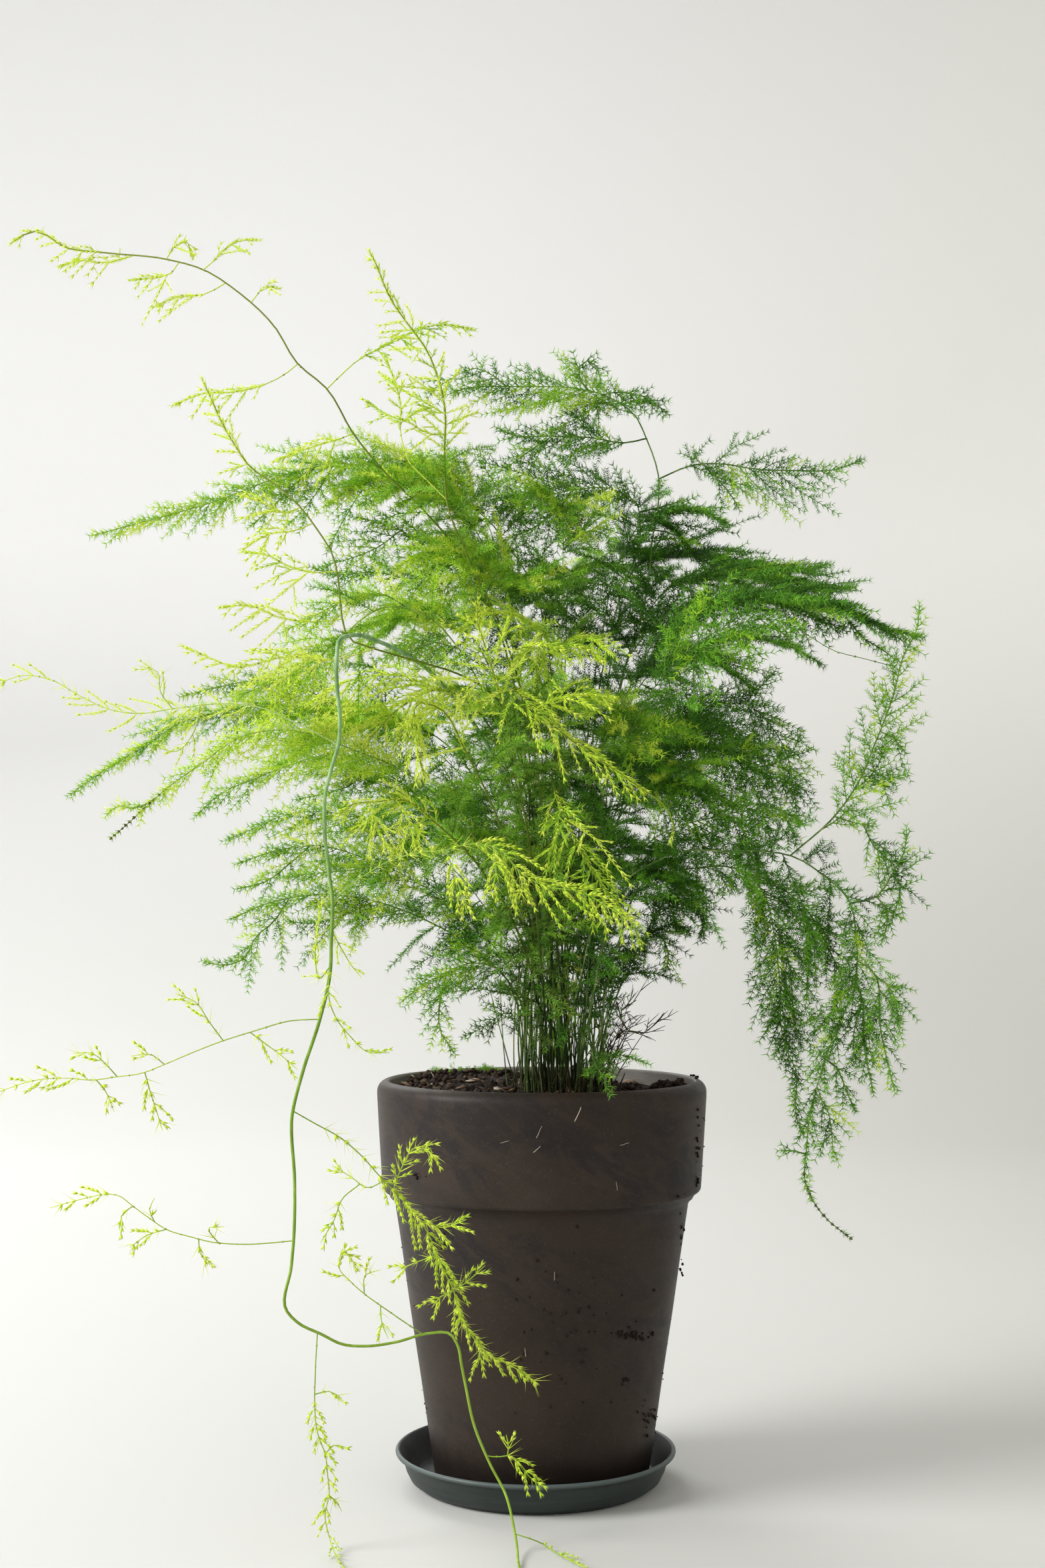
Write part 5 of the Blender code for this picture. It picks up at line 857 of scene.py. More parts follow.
def plastic_paint():
    """Dark green-grey moulded plastic: dusty in its bottom, with a painted highlight along the lip and
    painted shade on its inner wall.
    """
    paint = Paint("saucer_plastic", Specular_IOR_Level=0.5)
    dust = paint.noise(70.0, 6.0, 0.7)
    grain = paint.noise(1500.0, 2.0, 0.6)
    lines = paint.noise(40.0, 4.0, 0.6, (1.0, 1.0, 14.0))
    colour = paint.ramp(lines, (0.3, 24, 32, 30), (0.6, 32, 42, 39), (0.8, 40, 52, 48))
    # painted highlight along the top of the lip
    colour = paint.layer(colour, (88, 100, 98), 0.7, paint.height(), 0.0135, 0.0172)
    colour = paint.layer(colour, (98, 98, 90), 0.15, dust, 0.54, 0.76)
    # painted shade on the saucer's inner wall, between it and the pot
    colour = paint.blend(paint.inward() * 0.8, colour, (10, 13, 12))
    return paint.finish(Base_Color=colour, Roughness=0.36 + 0.3 * dust,
                        Normal=paint.bump(grain * 0.4 + lines * 0.5, 0.4, 0.12))


def soil_paint():
    """Peaty soil with the pieces in it told apart by their tone."""
    paint = Paint("soil", Roughness=0.9, Specular_IOR_Level=0.25)
    clods = paint.noise(120.0, 6.0, 0.7)
    grey = paint.node("ShaderNodeSeparateColor", None, {0: paint.cells(650.0)})
    colour = paint.ramp(clods, (0.3, 17, 12, 9), (0.55, 34, 24, 18), (0.75, 58, 43, 32))
    colour = paint.layer(colour, (128, 104, 76), 0.5, grey, 0.82, 0.97)
    piece = paint.ramp(paint.named("tone"), (0.0, 26, 18, 14), (0.35, 66, 47, 36),
                       (0.7, 152, 124, 100), (1.0, 210, 196, 176))
    piece = paint.layer(piece, (50, 37, 28), 0.4, clods, 0.4, 0.7)
    colour = paint.blend(paint.named("loose"), colour, piece)
    relief = paint.bump(clods + paint.noise(900.0, 3.0, 0.7) * 0.4, 0.8, 1.2)
    return paint.finish(Base_Color=colour, Normal=relief)


LEAF = ((0.0, 32, 72, 18), (0.2, 70, 128, 30), (0.4, 118, 178, 42), (0.6, 164, 208, 48),
        (0.8, 202, 228, 60), (1.0, 220, 234, 96))
BARK_OLD = ((0.3, 48, 72, 34), (0.5, 86, 118, 58), (0.68, 146, 158, 96))
BARK_YOUNG = ((0.3, 22, 38, 13), (0.55, 40, 60, 23), (0.75, 72, 92, 42))
BARK_VINE = ((0.3, 72, 112, 36), (0.55, 100, 142, 52), (0.75, 140, 168, 84))
BARK_VINE_HIGH = ((0.3, 98, 136, 88), (0.55, 132, 168, 118), (0.75, 172, 196, 158))
BARK_DRY = ((0.3, 44, 36, 25), (0.55, 74, 58, 42), (0.75, 112, 90, 66))
# By a stem's tone: its finish and slot, the colour of its needles' tips, and its bark
FOLIAGE = {
    "old": ("foliage_old", (116, 172, 56), BARK_OLD),
    "mid": ("foliage_mid", (160, 200, 70), BARK_OLD),
    "young": ("foliage_young", (210, 228, 104), BARK_YOUNG),
    "vine": ("vine", (206, 222, 120), BARK_VINE, BARK_VINE_HIGH),
    "dry": ("dry_stalk", (170, 150, 100), BARK_DRY),
}
TONES = {"old": 0.3, "mid": 0.42, "young": 0.68, "vine": 0.66, "dry": 0.3}


# Turned pieces

def add_piece(name, bm, finish):
    """Makes an object of a bmesh in millimetres."""
    bmesh.ops.scale(bm, verts=bm.verts, vec=(MM, MM, MM))
    mesh = bpy.data.meshes.new(name)
    bm.to_mesh(mesh)
    bm.free()
    return add_mesh(name, mesh, finish)


def add_mesh(name, mesh, finish):
    piece = bpy.data.objects.new(name, mesh)
    mesh.materials.clear()
    if finish is not None:
        mesh.materials.append(finish)
    mesh.shade_smooth()
    bpy.context.scene.collection.objects.link(piece)
    return piece


def turned(profile, off_axis=0.0):
    """A solid turned about the upright from a profile of (radius, height), as a bmesh."""
    bm = bmesh.new()
    corners = [bm.verts.new((r, 0, z)) for r, z in profile]
    closed = profile[0][0] > 0
    ends = corners[1:] + corners[:1] if closed else corners[1:]
    edges = [bm.edges.new(pair) for pair in zip(corners, ends)]
    bmesh.ops.spin(bm, geom=corners + edges, cent=(0, 0, 0), axis=(0, 0, 1), angle=math.tau,
                   steps=SIDES_ROUND, use_merge=True, use_duplicate=False)
    bmesh.ops.remove_doubles(bm, verts=bm.verts, dist=0.005)
    bmesh.ops.recalc_face_normals(bm, faces=bm.faces)
    bmesh.ops.translate(bm, verts=bm.verts, vec=(off_axis, 0, 0))
    return bm


def arc(centre, radius, start, end, count):
    """Points of a round edge in a profile, by angle in degrees from outwards."""
    angles = np.radians(np.linspace(start, end, count))
    return [(centre[0] + radius * math.cos(a), centre[1] + radius * math.sin(a)) for a in angles]


def split(a, b, count):
    """Points on the way from a to b in a profile, without b."""
    return [(a[0] + (b[0] - a[0]) * k / count, a[1] + (b[1] - a[1]) * k / count) for k in range(count)]


def pot_inner_radius(z):
    """The radius of the pot's inner wall, a wall's thickness inside the body and upright in the collar."""
    return (body_radius(z) if z < BODY_TOP else LIP_RADIUS) - WALL


def wall_radius(z):
    """The pot's outer radius at a height, with the collar's slight taper."""
    if z > COLLAR_FOOT:
        share = min(1.0, (z - COLLAR_FOOT) / (LIP_TOP - LIP_ROUND - COLLAR_FOOT))
        return COLLAR_FOOT_RADIUS + (LIP_RADIUS - COLLAR_FOOT_RADIUS) * share
    return body_radius(min(z, BODY_TOP))


def on_pot(across, down):
    """The place on the pot's outside that the front view shows at a pixel, and the way out from it."""
    depth = -LIP_RADIUS
    for _ in range(8):
        spot = seen(across, down, depth)
        depth = -math.sqrt(max(wall_radius(spot[2]) ** 2 - spot[0] ** 2, 1.0))
    return spot, np.array([spot[0], spot[1], 0.0]) / math.hypot(spot[0], spot[1])


def make_pot():
    foot = (BODY_FOOT_RADIUS - 1.2, SAUCER_FLOOR + TOUCH + 1.4)
    rounded = LIP_TOP - LIP_ROUND
    profile = arc((INNER_RADIUS + 1.6, LIP_TOP - 1.6), 1.6, 180, 100, 6)
    profile += arc((LIP_RADIUS - LIP_ROUND, rounded), LIP_ROUND, 78, 0, 10)
    profile += split((LIP_RADIUS, rounded - 2), (COLLAR_FOOT_RADIUS + 0.05, COLLAR_FOOT + 2.0), 10)
    profile += arc((COLLAR_FOOT_RADIUS - 1.9, COLLAR_FOOT + 1.6), 1.9, 5, -100, 8)
    profile += [(BODY_TOP_RADIUS + 2.4, BODY_TOP + 1.6), (BODY_TOP_RADIUS + 0.9, BODY_TOP + 0.6)]
    profile += split((BODY_TOP_RADIUS, BODY_TOP - 1.6), (foot[0] + 1.4, foot[1] + 0.4), 22)
    profile += arc(foot, 1.4, 8, -90, 6)
    profile += [(DRAIN_RADIUS, SAUCER_FLOOR + TOUCH), (DRAIN_RADIUS, POT_FLOOR)]
    profile += [(pot_inner_radius(z), z) for z in (POT_FLOOR, BODY_TOP - 2)]
    profile += [(INNER_RADIUS - 0.4, BODY_TOP + 12), (INNER_RADIUS - 0.1, LIP_TOP - 12)]
    bm = turned(profile)
    for vert in bm.verts:  # hand-finished, so never quite round
        angle, z = math.atan2(vert.co.y, vert.co.x), vert.co.z
        waver = 0.22 * lumps(Vector((math.cos(angle) * 2, math.sin(angle) * 2, z * 0.03))) * min(1.0, z / 30)
        vert.co += Vector((math.cos(angle), math.sin(angle), 0)) * waver
    return add_piece("pot_body", bm, clay_paint())


def make_saucer():
    lip = (SAUCER_LIP_RADIUS - SAUCER_LIP_WIDTH / 2, SAUCER_LIP_TOP - SAUCER_LIP_WIDTH / 2)
    inner = SAUCER_LIP_RADIUS - SAUCER_LIP_WIDTH
    profile = [(r, SAUCER_FLOOR) for r in (0, 20, 40, SAUCER_FLOOR_RADIUS - 1)]
    profile += arc((SAUCER_FLOOR_RADIUS + 0.4, SAUCER_FLOOR + 3.2), 3.2, -84, -42, 5)
    profile += [(SAUCER_WALL_RADIUS - 3.4, 7.6), (inner - 2.4, 11.5), (inner - 1.0, SAUCER_LIP_TOP - 2.4)]
    profile += arc(lip, SAUCER_LIP_WIDTH / 2, 165, -70, 11)
    profile += [(SAUCER_WALL_RADIUS + 0.35, SAUCER_LIP_TOP - 3.3)]
    profile += [(SAUCER_WALL_RADIUS - 0.2, SAUCER_LIP_TOP - 5)]
    profile += [(SAUCER_WALL_RADIUS - 1.6, 7.2), (SAUCER_FOOT_RADIUS + 6.4, 3.2)]
    profile += arc((SAUCER_FOOT_RADIUS + 1.2, 2.6), 2.6, -35, -90, 5)
    profile += [(SAUCER_FOOT_RADIUS - 2, 0), (SAUCER_FOOT_RADIUS - 3, 0.8), (30, 0.8), (0, 0.8)]
    return add_piece("saucer_dish", turned(profile, SAUCER_OFF_AXIS), plastic_paint())


def make_soil(finish):
    edge = INNER_RADIUS - 0.3
    profile = split((0, SOIL_LEVEL), (edge, SOIL_LEVEL), 64) + [(edge, SOIL_LEVEL)]
    profile += [(edge - 0.4, BODY_TOP + 11.5), (pot_inner_radius(BODY_TOP - 2) - 0.4, BODY_TOP - 2.4)]
    profile += [(r, POT_FLOOR + TOUCH) for r in (pot_inner_radius(POT_FLOOR) - 0.35, DRAIN_RADIUS - TOUCH)]
    profile += [(DRAIN_RADIUS - TOUCH, SAUCER_FLOOR + 2 * TOUCH), (0, SAUCER_FLOOR + 2 * TOUCH)]
    bm = turned(profile)
    for vert in bm.verts:
        if vert.co.z > SOIL_LEVEL - 0.1:
            x, y = vert.co.x, vert.co.y
            fade = min(1.0, (edge + 4 - math.hypot(x, y)) / 12)
            vert.co.z = SOIL_LEVEL + (soil_top(x, y) - SOIL_LEVEL) * fade + crumble(x, y)
    return add_piece("soil_bed", bm, finish)


def crumble(x, y):
    """Clods and crumbs on the soil, finer than its main relief."""
    return 1.9 * lumps(Vector((x, y, 0)) * 0.19) + 1.5 * lumps(Vector((x, y, 9)) * 0.42)


# Kits: small shapes that are repeated over the plant and the soil

def bead(bm, length, width, lean, turn, tipness):
    """One bud, pointed at both ends."""
    made = bmesh.ops.create_uvsphere(bm, u_segments=4, v_segments=2, radius=0.5)["verts"]
    for vert in made:
        vert[tipness] = 1.0 if vert.co.z > 0.2 else 0.0
    bmesh.ops.scale(bm, verts=made, vec=(width, width, length))
    bmesh.ops.translate(bm, verts=made, vec=(0, 0, length * 0.45))
    bmesh.ops.rotate(bm, verts=made, matrix=Euler((0, lean, turn)).to_matrix())


def kit_piece(name, build):
    bm = bmesh.new()
    build(bm, bm.verts.layers.float.new("tipness"))
    piece = add_piece(name, bm, None)
    bpy.context.scene.collection.objects.unlink(piece)
    return piece


def blade(bm, length, width, lean, turn, tipness, start=0.0):
    """One needle of a mass, as a thin blade that leans out from the upright."""
    made = bmesh.ops.create_circle(bm, cap_ends=True, segments=3, radius=1)["verts"]
    for vert, spot in zip(made, ((-width / 2, 0, 0), (width / 2, 0, 0), (0, 0, length))):
        vert.co = spot
        vert[tipness] = 1.0 if spot[2] else 0.0
    bmesh.ops.rotate(bm, verts=made, matrix=Euler((0, lean, turn)).to_matrix())
    bmesh.ops.translate(bm, verts=made, vec=(0, 0, start))


def needles(count, length, width, lean, seed, jitter=0.16):
    """A whorl of needles."""
    def build(bm, tipness):
        draw = random.Random(seed)
        for k in range(count):
            blade(bm, length * draw.uniform(0.8, 1.1), width, lean + draw.uniform(-jitter, jitter),
                  k * math.tau / count + draw.uniform(-0.4, 0.4), tipness)
    return build


def plumelet(reach, whorls, each, length, width, lean, seed):
    """A side twig with its needles, of a given reach."""
    def build(bm, tipness):
        draw = random.Random(seed)
        for turn in (0.4, 2.0):
            blade(bm, reach, 0.34, 0, turn, tipness)  # the twig itself
        for k in range(whorls):
            for n in range(each):
                blade(bm, length * draw.uniform(0.75, 1.1), width, lean + draw.uniform(-0.2, 0.2),
                      n * math.tau / each + k * 0.7 + draw.uniform(-0.4, 0.4), tipness,
                      reach * (k + 0.7) / (whorls + 0.1))
    return build


def buds(count, length, width, lean, seed):
    """A few buds that lean out from one spot."""
    def build(bm, tipness):
        draw = random.Random(seed)
        for k in range(count):
            bead(bm, length * draw.uniform(0.8, 1.15), width, lean * draw.uniform(0.7, 1.2),
                 k * math.tau / count + draw.uniform(-0.3, 0.3), tipness)
    return build


def crumb(seed, squash):
    """An uneven lump, squashed in three directions."""
    def build(bm, tipness):
        draw = random.Random(seed)
        made = bmesh.ops.create_icosphere(bm, subdivisions=1, radius=0.5)["verts"]
        for vert in made:
            vert.co *= draw.uniform(0.72, 1.18)
        bmesh.ops.scale(bm, verts=made, vec=squash)
    return build


def fibre(bm, tipness):
    """A straw on the soil, about ten millimetres long."""
    bmesh.ops.create_cone(bm, cap_ends=True, segments=4, radius1=0.22, radius2=0.14, depth=10)
    long_edges = [e for e in bm.edges if e.calc_length() > 5]
    bmesh.ops.subdivide_edges(bm, edges=long_edges, cuts=4, use_grid_fill=False)
    for vert in bm.verts:
        vert.co.x += 0.9 * math.sin(vert.co.z * 0.31)


KITS = [
    ("needles_a", needles(6, 3.2, 0.46, 0.75, 1)),
    ("needles_b", needles(6, 3.7, 0.44, 0.88, 2, 0.3)),
    ("needles_young", needles(5, 3.3, 0.5, 0.34, 3)),
    ("short_a", plumelet(5, 4, 4, 2.7, 0.46, 0.7, 11)),
    ("short_b", plumelet(5, 4, 4, 3.0, 0.44, 0.85, 12)),
    ("long_a", plumelet(9, 7, 4, 2.7, 0.46, 0.7, 13)),
    ("long_b", plumelet(9, 7, 4, 3.0, 0.44, 0.85, 14)),
    ("short_young", plumelet(5, 4, 3, 2.6, 0.5, 0.34, 15)),
    ("long_young", plumelet(9, 7, 3, 2.7, 0.5, 0.36, 16)),
    ("buds", buds(2, 2.0, 0.7, 0.3, 4)),
    ("vine_buds", buds(3, 4.0, 1.0, 0.3, 5)),
    ("long", needles(6, 8.5, 0.34, 0.8, 6, 0.3)),
    ("knuckle", buds(1, 1.8, 1.1, 0.1, 7)),
    ("crumb", crumb(8, (1, 0.8, 0.7))),
    ("chip", crumb(9, (1.9, 1.0, 0.32))),
    ("fibre", fibre),
]
KIT = {name: number for number, (name, _) in enumerate(KITS)}
STEM, TWIG, LOOSE = 0, 1, 2  # kinds of point in a sketch: from LOOSE on, a kit piece sits on it


def thickening():
    """The nodes that give a sketch's lines their thickness and set a kit piece on each loose point."""
    shelf = bpy.data.collections.new("kits")
    for number, (name, build) in enumerate(KITS):
        shelf.objects.link(kit_piece(f"kit_{number:02}_{name}", build))
    group = bpy.data.node_groups.new("thickening", "GeometryNodeTree")
    group.interface.new_socket("Geometry", in_out="INPUT", socket_type="NodeSocketGeometry")
    group.interface.new_socket("Geometry", in_out="OUTPUT", socket_type="NodeSocketGeometry")
    net = Net(group)

    def named(attribute, kind="FLOAT"):
        return net.node("GeometryNodeInputNamedAttribute", {"data_type": kind}, {"Name": attribute})

    def split_off(geometry, selection):
        made = group.nodes.new("GeometryNodeSeparateGeometry")
        net.join(made, {"Geometry": geometry, "Selection": selection})
        return Wire(net, made.outputs[0]), Wire(net, made.outputs[1])

    def tubes(lines, sides):
        ring = net.node("GeometryNodeCurvePrimitiveCircle", None, {"Resolution": sides, "Radius": 1.0})
        curve = net.node("GeometryNodeMeshToCurve", None, {"Mesh": lines})
        return net.node("GeometryNodeCurveToMesh", None, {
            "Curve": curve, "Profile Curve": ring, "Scale": named("thick"), "Fill Caps": True})

    kind = named("kind")
    points, lines = split_off(net.node("NodeGroupInput"), kind > LOOSE - 0.5)
    twigs, stems = split_off(lines, kind > TWIG - 0.5)
    aim = named("aim", "FLOAT_VECTOR")
    turn = net.node("FunctionNodeAlignRotationToVector", {"axis": "Z"}, {"Vector": aim})
    spin = net.node("ShaderNodeCombineXYZ", None, {"Z": named("spin")})
    turn = net.node("FunctionNodeRotateRotation", {"rotation_space": "LOCAL"},
                    {"Rotation": turn, "Rotate By": spin})
    kits = net.node("GeometryNodeCollectionInfo", None,
                    {"Collection": shelf, "Separate Children": True, "Reset Children": True})
    set_out = net.node("GeometryNodeInstanceOnPoints", None, {
        "Points": points, "Instance": kits, "Pick Instance": True, "Instance Index": kind - LOOSE,
        "Rotation": turn, "Scale": named("size")})
    together = group.nodes.new("GeometryNodeJoinGeometry")
    set_out = net.node("GeometryNodeRealizeInstances", None, {"Geometry": set_out})
    for part in (tubes(stems, 5), tubes(twigs, 3), set_out):
        group.links.new(part.socket, together.inputs[0])
    net.join(group.nodes.new("NodeGroupOutput"), {0: Wire(net, together.outputs[0])})
    return group


class Sketch:
    """Where one piece's stems run and its small parts sit, before the nodes thicken it."""

    def __init__(self, seed):
        self.bm = bmesh.new()
        self.draw = random.Random(seed)
        layers = self.bm.verts.layers
        self.values = {name: layers.float.new(name) for name in
                       ("kind", "thick", "tone", "woody", "size", "spin", "loose", "dry")}
        self.dry = 0.0  # share of the next parts that has dried
        self.aim = layers.float_vector.new("aim")

    def point(self, place, **values):
        vert = self.bm.verts.new((place[0], place[1], max(place[2], 1.0)))
        vert[self.values["dry"]] = self.dry
        for name, value in values.items():
            vert[self.values[name]] = value
        return vert

    def run(self, kind, places, radii, tone, woody):
        """A stem or twig through places, with a radius and a woody share at each."""
        last = None
        for place, radius, wood in zip(places, radii, woody):
            vert = self.point(place, kind=kind, thick=radius * MM, tone=tone, woody=wood)
            if last is not None:
                self.bm.edges.new((last, vert))
            last = vert

    def put(self, kit, place, aim, size, tone, woody=0.0, loose=0.0):
        """A small part of a kit at a place, turned towards its aim and about it by chance."""
        if place[2] < 10:  # beside the surface that the plant stands on
            size, aim = 0.6 * size, unit(np.array(aim) + 0.7 * UP)
        vert = self.point(place, kind=LOOSE + KIT[kit], size=size, tone=tone, woody=woody, loose=loose,
                          spin=self.draw.uniform(0, math.tau))
        vert[self.aim] = aim

    def grown(self, name, group, finish):
        """The finished piece."""
        if not self.bm.verts:
            return None
        sketch = add_piece(name + "_sketch", self.bm, None)
        sketch.modifiers.new("thickening", "NODES").node_group = group
        solid = sketch.evaluated_get(bpy.context.evaluated_depsgraph_get())
        mesh = bpy.data.meshes.new_from_object(solid)
        rough = sketch.data
        bpy.data.objects.remove(sketch)
        bpy.data.meshes.remove(rough)
        mesh.name = name
        for used in ("kind", "thick", "size", "spin", "aim"):
            mesh.attributes.remove(mesh.attributes[used])
        return add_mesh(name, mesh, finish)


# The plant

SECOND_GAP = 3.3  # spacing of the side twigs along a branchlet
SECOND_REACH = (0.45, 10.0)  # their length, as a share of what is left of the branchlet, and at most
SPARSE = {"narrow": 0.8, "wide": 0.85, "young": 0.4}  # share of the side twigs that grow, by the spray
SECOND_ANGLE = math.radians(33)
SHORT_TWIG, LONG_TWIG = 5.0, 9.0  # reach of the side twigs of the kits
WHORL_GAP = 2.2  # spacing of the whorls of needles
YOUNG_GAP = 2.1  # the same on fresh growth, whose needles still lie along the twig


def painted_shade_inside(place):
    """How much darker the foliage is painted deep inside the plant and low down, as painted shade."""
    inside = math.exp(-((place[0] - CROWN[0]) ** 2 + (place[1] - CROWN[1]) ** 2) / 3600)
    return 0.2 * inside + 0.14 * min(1.0, max(0.0, (345 - place[2]) / 120))


def draw_branchlet(sketch, branchlet, tone, style, side_share=1.0):
    """A branchlet with its side twigs and whorls of needles, and buds where it is young."""
    draw = sketch.draw
    # painted shade: darker deep inside the plant and low down
    tone -= painted_shade_inside(branchlet.start)
    young = style == "young"
    length = size_of(branchlet.reach + branchlet.bend * 0.7)
    ends = [branchlet.at(u) for u in HALVES]
    if not outside_holders(branchlet.at(0.3), ends[2]):
        return
    sketch.run(TWIG, ends, (0.3, 0.24, 0.14), tone, (0.15, 0.08, 0.0) if young else (0.5, 0.25, 0.0))
    count = max(1, int(round(length / (YOUNG_GAP if young else WHORL_GAP))))
    for k in range(1, count + 1):
        u = k / count
        # painted light and shade along the branchlet: darker where it leaves its shoot deep in the foliage,
        # lighter at its outer tip
        size, shade = draw.uniform(0.8, 1.12), tone + 0.24 * u - 0.12
        whorl(sketch, branchlet.at(u), branchlet.aim(u), size, shade, style, k == count)
    hand = draw.choice((-1, 1))
    d = draw.uniform(1.6, 3.0)
    while d < length - 2.0:
        if draw.random() > side_share:
            d += SECOND_GAP
            continue
        u = d / length
        start, ahead = branchlet.at(u), branchlet.aim(u)
        out = unit(np.cross(branchlet.up, ahead)) * hand
        reach = min(SECOND_REACH[1], SECOND_REACH[0] * (length - d) + 1.6) * draw.uniform(0.7, 1.15)
        angle = SECOND_ANGLE + (draw.uniform(-0.25, 0.6) if young else draw.uniform(-0.16, 0.2))
        way = unit(ahead * math.cos(angle) + out * math.sin(angle) + branchlet.up * draw.uniform(-0.35, 0.35))
        kit, full = ("short", SHORT_TWIG) if reach < 6.5 else ("long", LONG_TWIG)
        kit += "_young" if young else draw.choice(("_a", "_b"))
        # side twigs painted lighter further out along the branchlet, as painted light
        sketch.put(kit, start, way, reach / full, tone + 0.2 * u + draw.uniform(-0.18, 0.06))
        if young and draw.random() < 0.25:
            sketch.put("buds", start + way * reach * 0.95, way, draw.uniform(0.7, 1.0), 1.0)
        hand = -hand
        d += SECOND_GAP * draw.uniform(0.7, 1.3)


def whorl(sketch, spot, aim, size, tone, style, tip):
    """Needles round a twig, and on fresh growth buds at its tip and here and there."""
    draw = sketch.draw
    shade = tone + draw.uniform(-0.12, 0.12)
    if style != "young":
        sketch.put(draw.choice(("needles_a", "needles_b")), spot, aim, size, shade)
        return
    if tip or draw.random() < 0.2:
        sketch.put("buds", spot, aim, size * draw.uniform(0.9, 1.4), 1.0)
    sketch.put("needles_young", spot, aim, size * draw.uniform(0.9, 1.25), shade)


PAINTED_SHADE_AND_TONE = {"stem_rim_sprig": -0.42, "stem_low_small": -0.42, "stem_right_front": -0.12,
          "stem_right_upper": -0.1, "stem_right_top": -0.1, "stem_high_right": 0.06,
          "stem_right_wiry": 0.05}  # painted shade darkens the low sprigs by the rim and three stems on the right; two other stems are a little paler
DRIED = {"stem_left_mid": 34.0, "stem_right_wiry": 40.0}  # how much of their tips has dried brown
SWEEP = 0.3  # how far the branchlets turn towards the tip of the spray
DROOP = 0.42  # how far the fresh ones hang at their tips
FULLER = 1.12  # the fine branchlets reach a little beyond those of the solids
SPRIG_LOW = 224.0  # heights between which the upright parts of the stems carry loose sprigs
SPRIG_HIGH = 485.0
SPRIG_FRONT = -98.0  # and how far to the front
SPRIG_GAP = 8.8
SPRIG_REACH = (13.0, 38.0)  # low down, and where the spray starts
SPRIG_TONE = 0.3


def draw_sprigs(sketch, line):
    """Loose sprigs all round the upright part of a stem, longer upwards, which fill the plant's middle."""
    draw = sketch.draw
    low = line.nearest(np.array([*line.points[0][:2], SPRIG_LOW]))
    high = spray_range(line)[0]
    s = low + draw.uniform(0, SPRIG_GAP)
    turn = draw.uniform(0, math.tau)
    while s < high and line.at(s)[2] < SPRIG_HIGH and line.at(s)[1] > SPRIG_FRONT:
        heading, side, spot = line.heading(s), line.side(s), line.at(s)
        out = side * math.cos(turn) + np.cross(heading, side) * math.sin(turn)
        share = (s - low) / (high - low)
        if draw.random() < 0.7 * (1 - 2.5 * share):  # few near the soil, where the stems show
            s += SPRIG_GAP
            continue
        length = SPRIG_REACH[0] + (SPRIG_REACH[1] - SPRIG_REACH[0]) * min(1.0, 1.3 * share)
        length *= draw.uniform(0.6, 1.2)
        reach = unit(out + heading * draw.uniform(0.3, 0.9)) * length
        fresh = draw.uniform(0.12, 0.35) if draw.random() < 0.15 else draw.uniform(-0.06, 0.06)
        sprig = Branchlet(s, spot, reach, UP * (-0.3 * length), unit(np.cross(reach, side)))
        # sprigs painted paler to the left and darker to the right, as painted light and shade
        draw_branchlet(sketch, sprig, SPRIG_TONE + fresh - 0.001 * spot[0], "old")
        turn += GOLDEN
        s += SPRIG_GAP * draw.uniform(0.7, 1.3)


STUBS = 48  # short ends of old stems round the crown
DEAD_TWIGS = 13  # tall ones that fan out at its right
DEAD_TONE = 0.3


def scatter(draw, *spreads):
    """A step by chance, with a spread for each direction."""
    return np.array([draw.gauss(0, spread) for spread in spreads])


def bowed(start, reach, curl, u):
    """A place on a thin shoot that bows to one side."""
    return start + reach * u + curl * math.sin(math.pi * u)


def draw_bare(sketch, ends, radii):
    """A dead twig."""
    sketch.run(TWIG, ends, radii, DEAD_TONE, [1.0] * len(radii))


def draw_stubs(sketch):
    """Stubs of old stems round the crown."""
    draw = sketch.draw
    for _ in range(STUBS):
        x, y = in_crown(1.15 * math.sqrt(draw.random()), draw.uniform(0, math.tau))
        tall, lean = draw.uniform(4, 19), draw.gauss(0, 0.2)
        foot = soil_top(x, y) - 2
        ends = [(x + lean * tall * u, y + draw.gauss(0, 0.5) * u, foot + tall * u) for u in (0.0, 0.6, 1.0)]
        thick = draw.uniform(0.35, 0.8)
        draw_bare(sketch, ends, (thick, thick * 0.9, thick * 0.5))


def draw_dead_fan(sketch):
    """Thin bare twigs, forked once, that fan out from the crown."""
    draw = sketch.draw
    for _ in range(DEAD_TWIGS):
        start = np.array([CROWN[0] + draw.uniform(8, 24), CROWN[1] + draw.gauss(0, 8), 0.0])
        start[2] = soil_top(*start[:2]) - 2
        reach = np.array([draw.uniform(9, 25), draw.gauss(0, 6), draw.uniform(26, 46)])
        curl = scatter(draw, 2.5, 3, 2)
        ends = [bowed(start, reach, curl, u) for u in (0.0, 0.25, 0.5, 0.75, 1.0)]
        draw_bare(sketch, ends, (0.38, 0.34, 0.3, 0.24, 0.16))
        for spot in ends[2:]:
            for way in (-1, 1):
                fork = unit(reach + (way * draw.uniform(20, 50), *scatter(draw, 20, 12))) * draw.uniform(3, 9)
                draw_bare(sketch, (spot, spot + fork * 0.6, spot + fork - UP), (0.22, 0.2, 0.12))


def draw_dead_twigs(sketch, line):
    """Pairs of bare twigs along a dead stem, one from the middle of the other."""
    draw = sketch.draw
    s = 5.0
    while s < line.length:
        spot, heading = line.at(s), line.heading(s)
        for length in (draw.uniform(6, 15), draw.uniform(3, 9)):
            way = unit(heading + (draw.gauss(0.1, 0.4), draw.gauss(0, 0.4), draw.gauss(0.3, 0.3)))
            bend = scatter(draw, 0.15, 0.15, 0.15) * length
            ends = [spot + way * length * u + bend * u * u for u in HALVES]
            draw_bare(sketch, ends, (0.28, 0.22, 0.12))
            spot = ends[1]
        s += draw.uniform(1.6, 3.5)


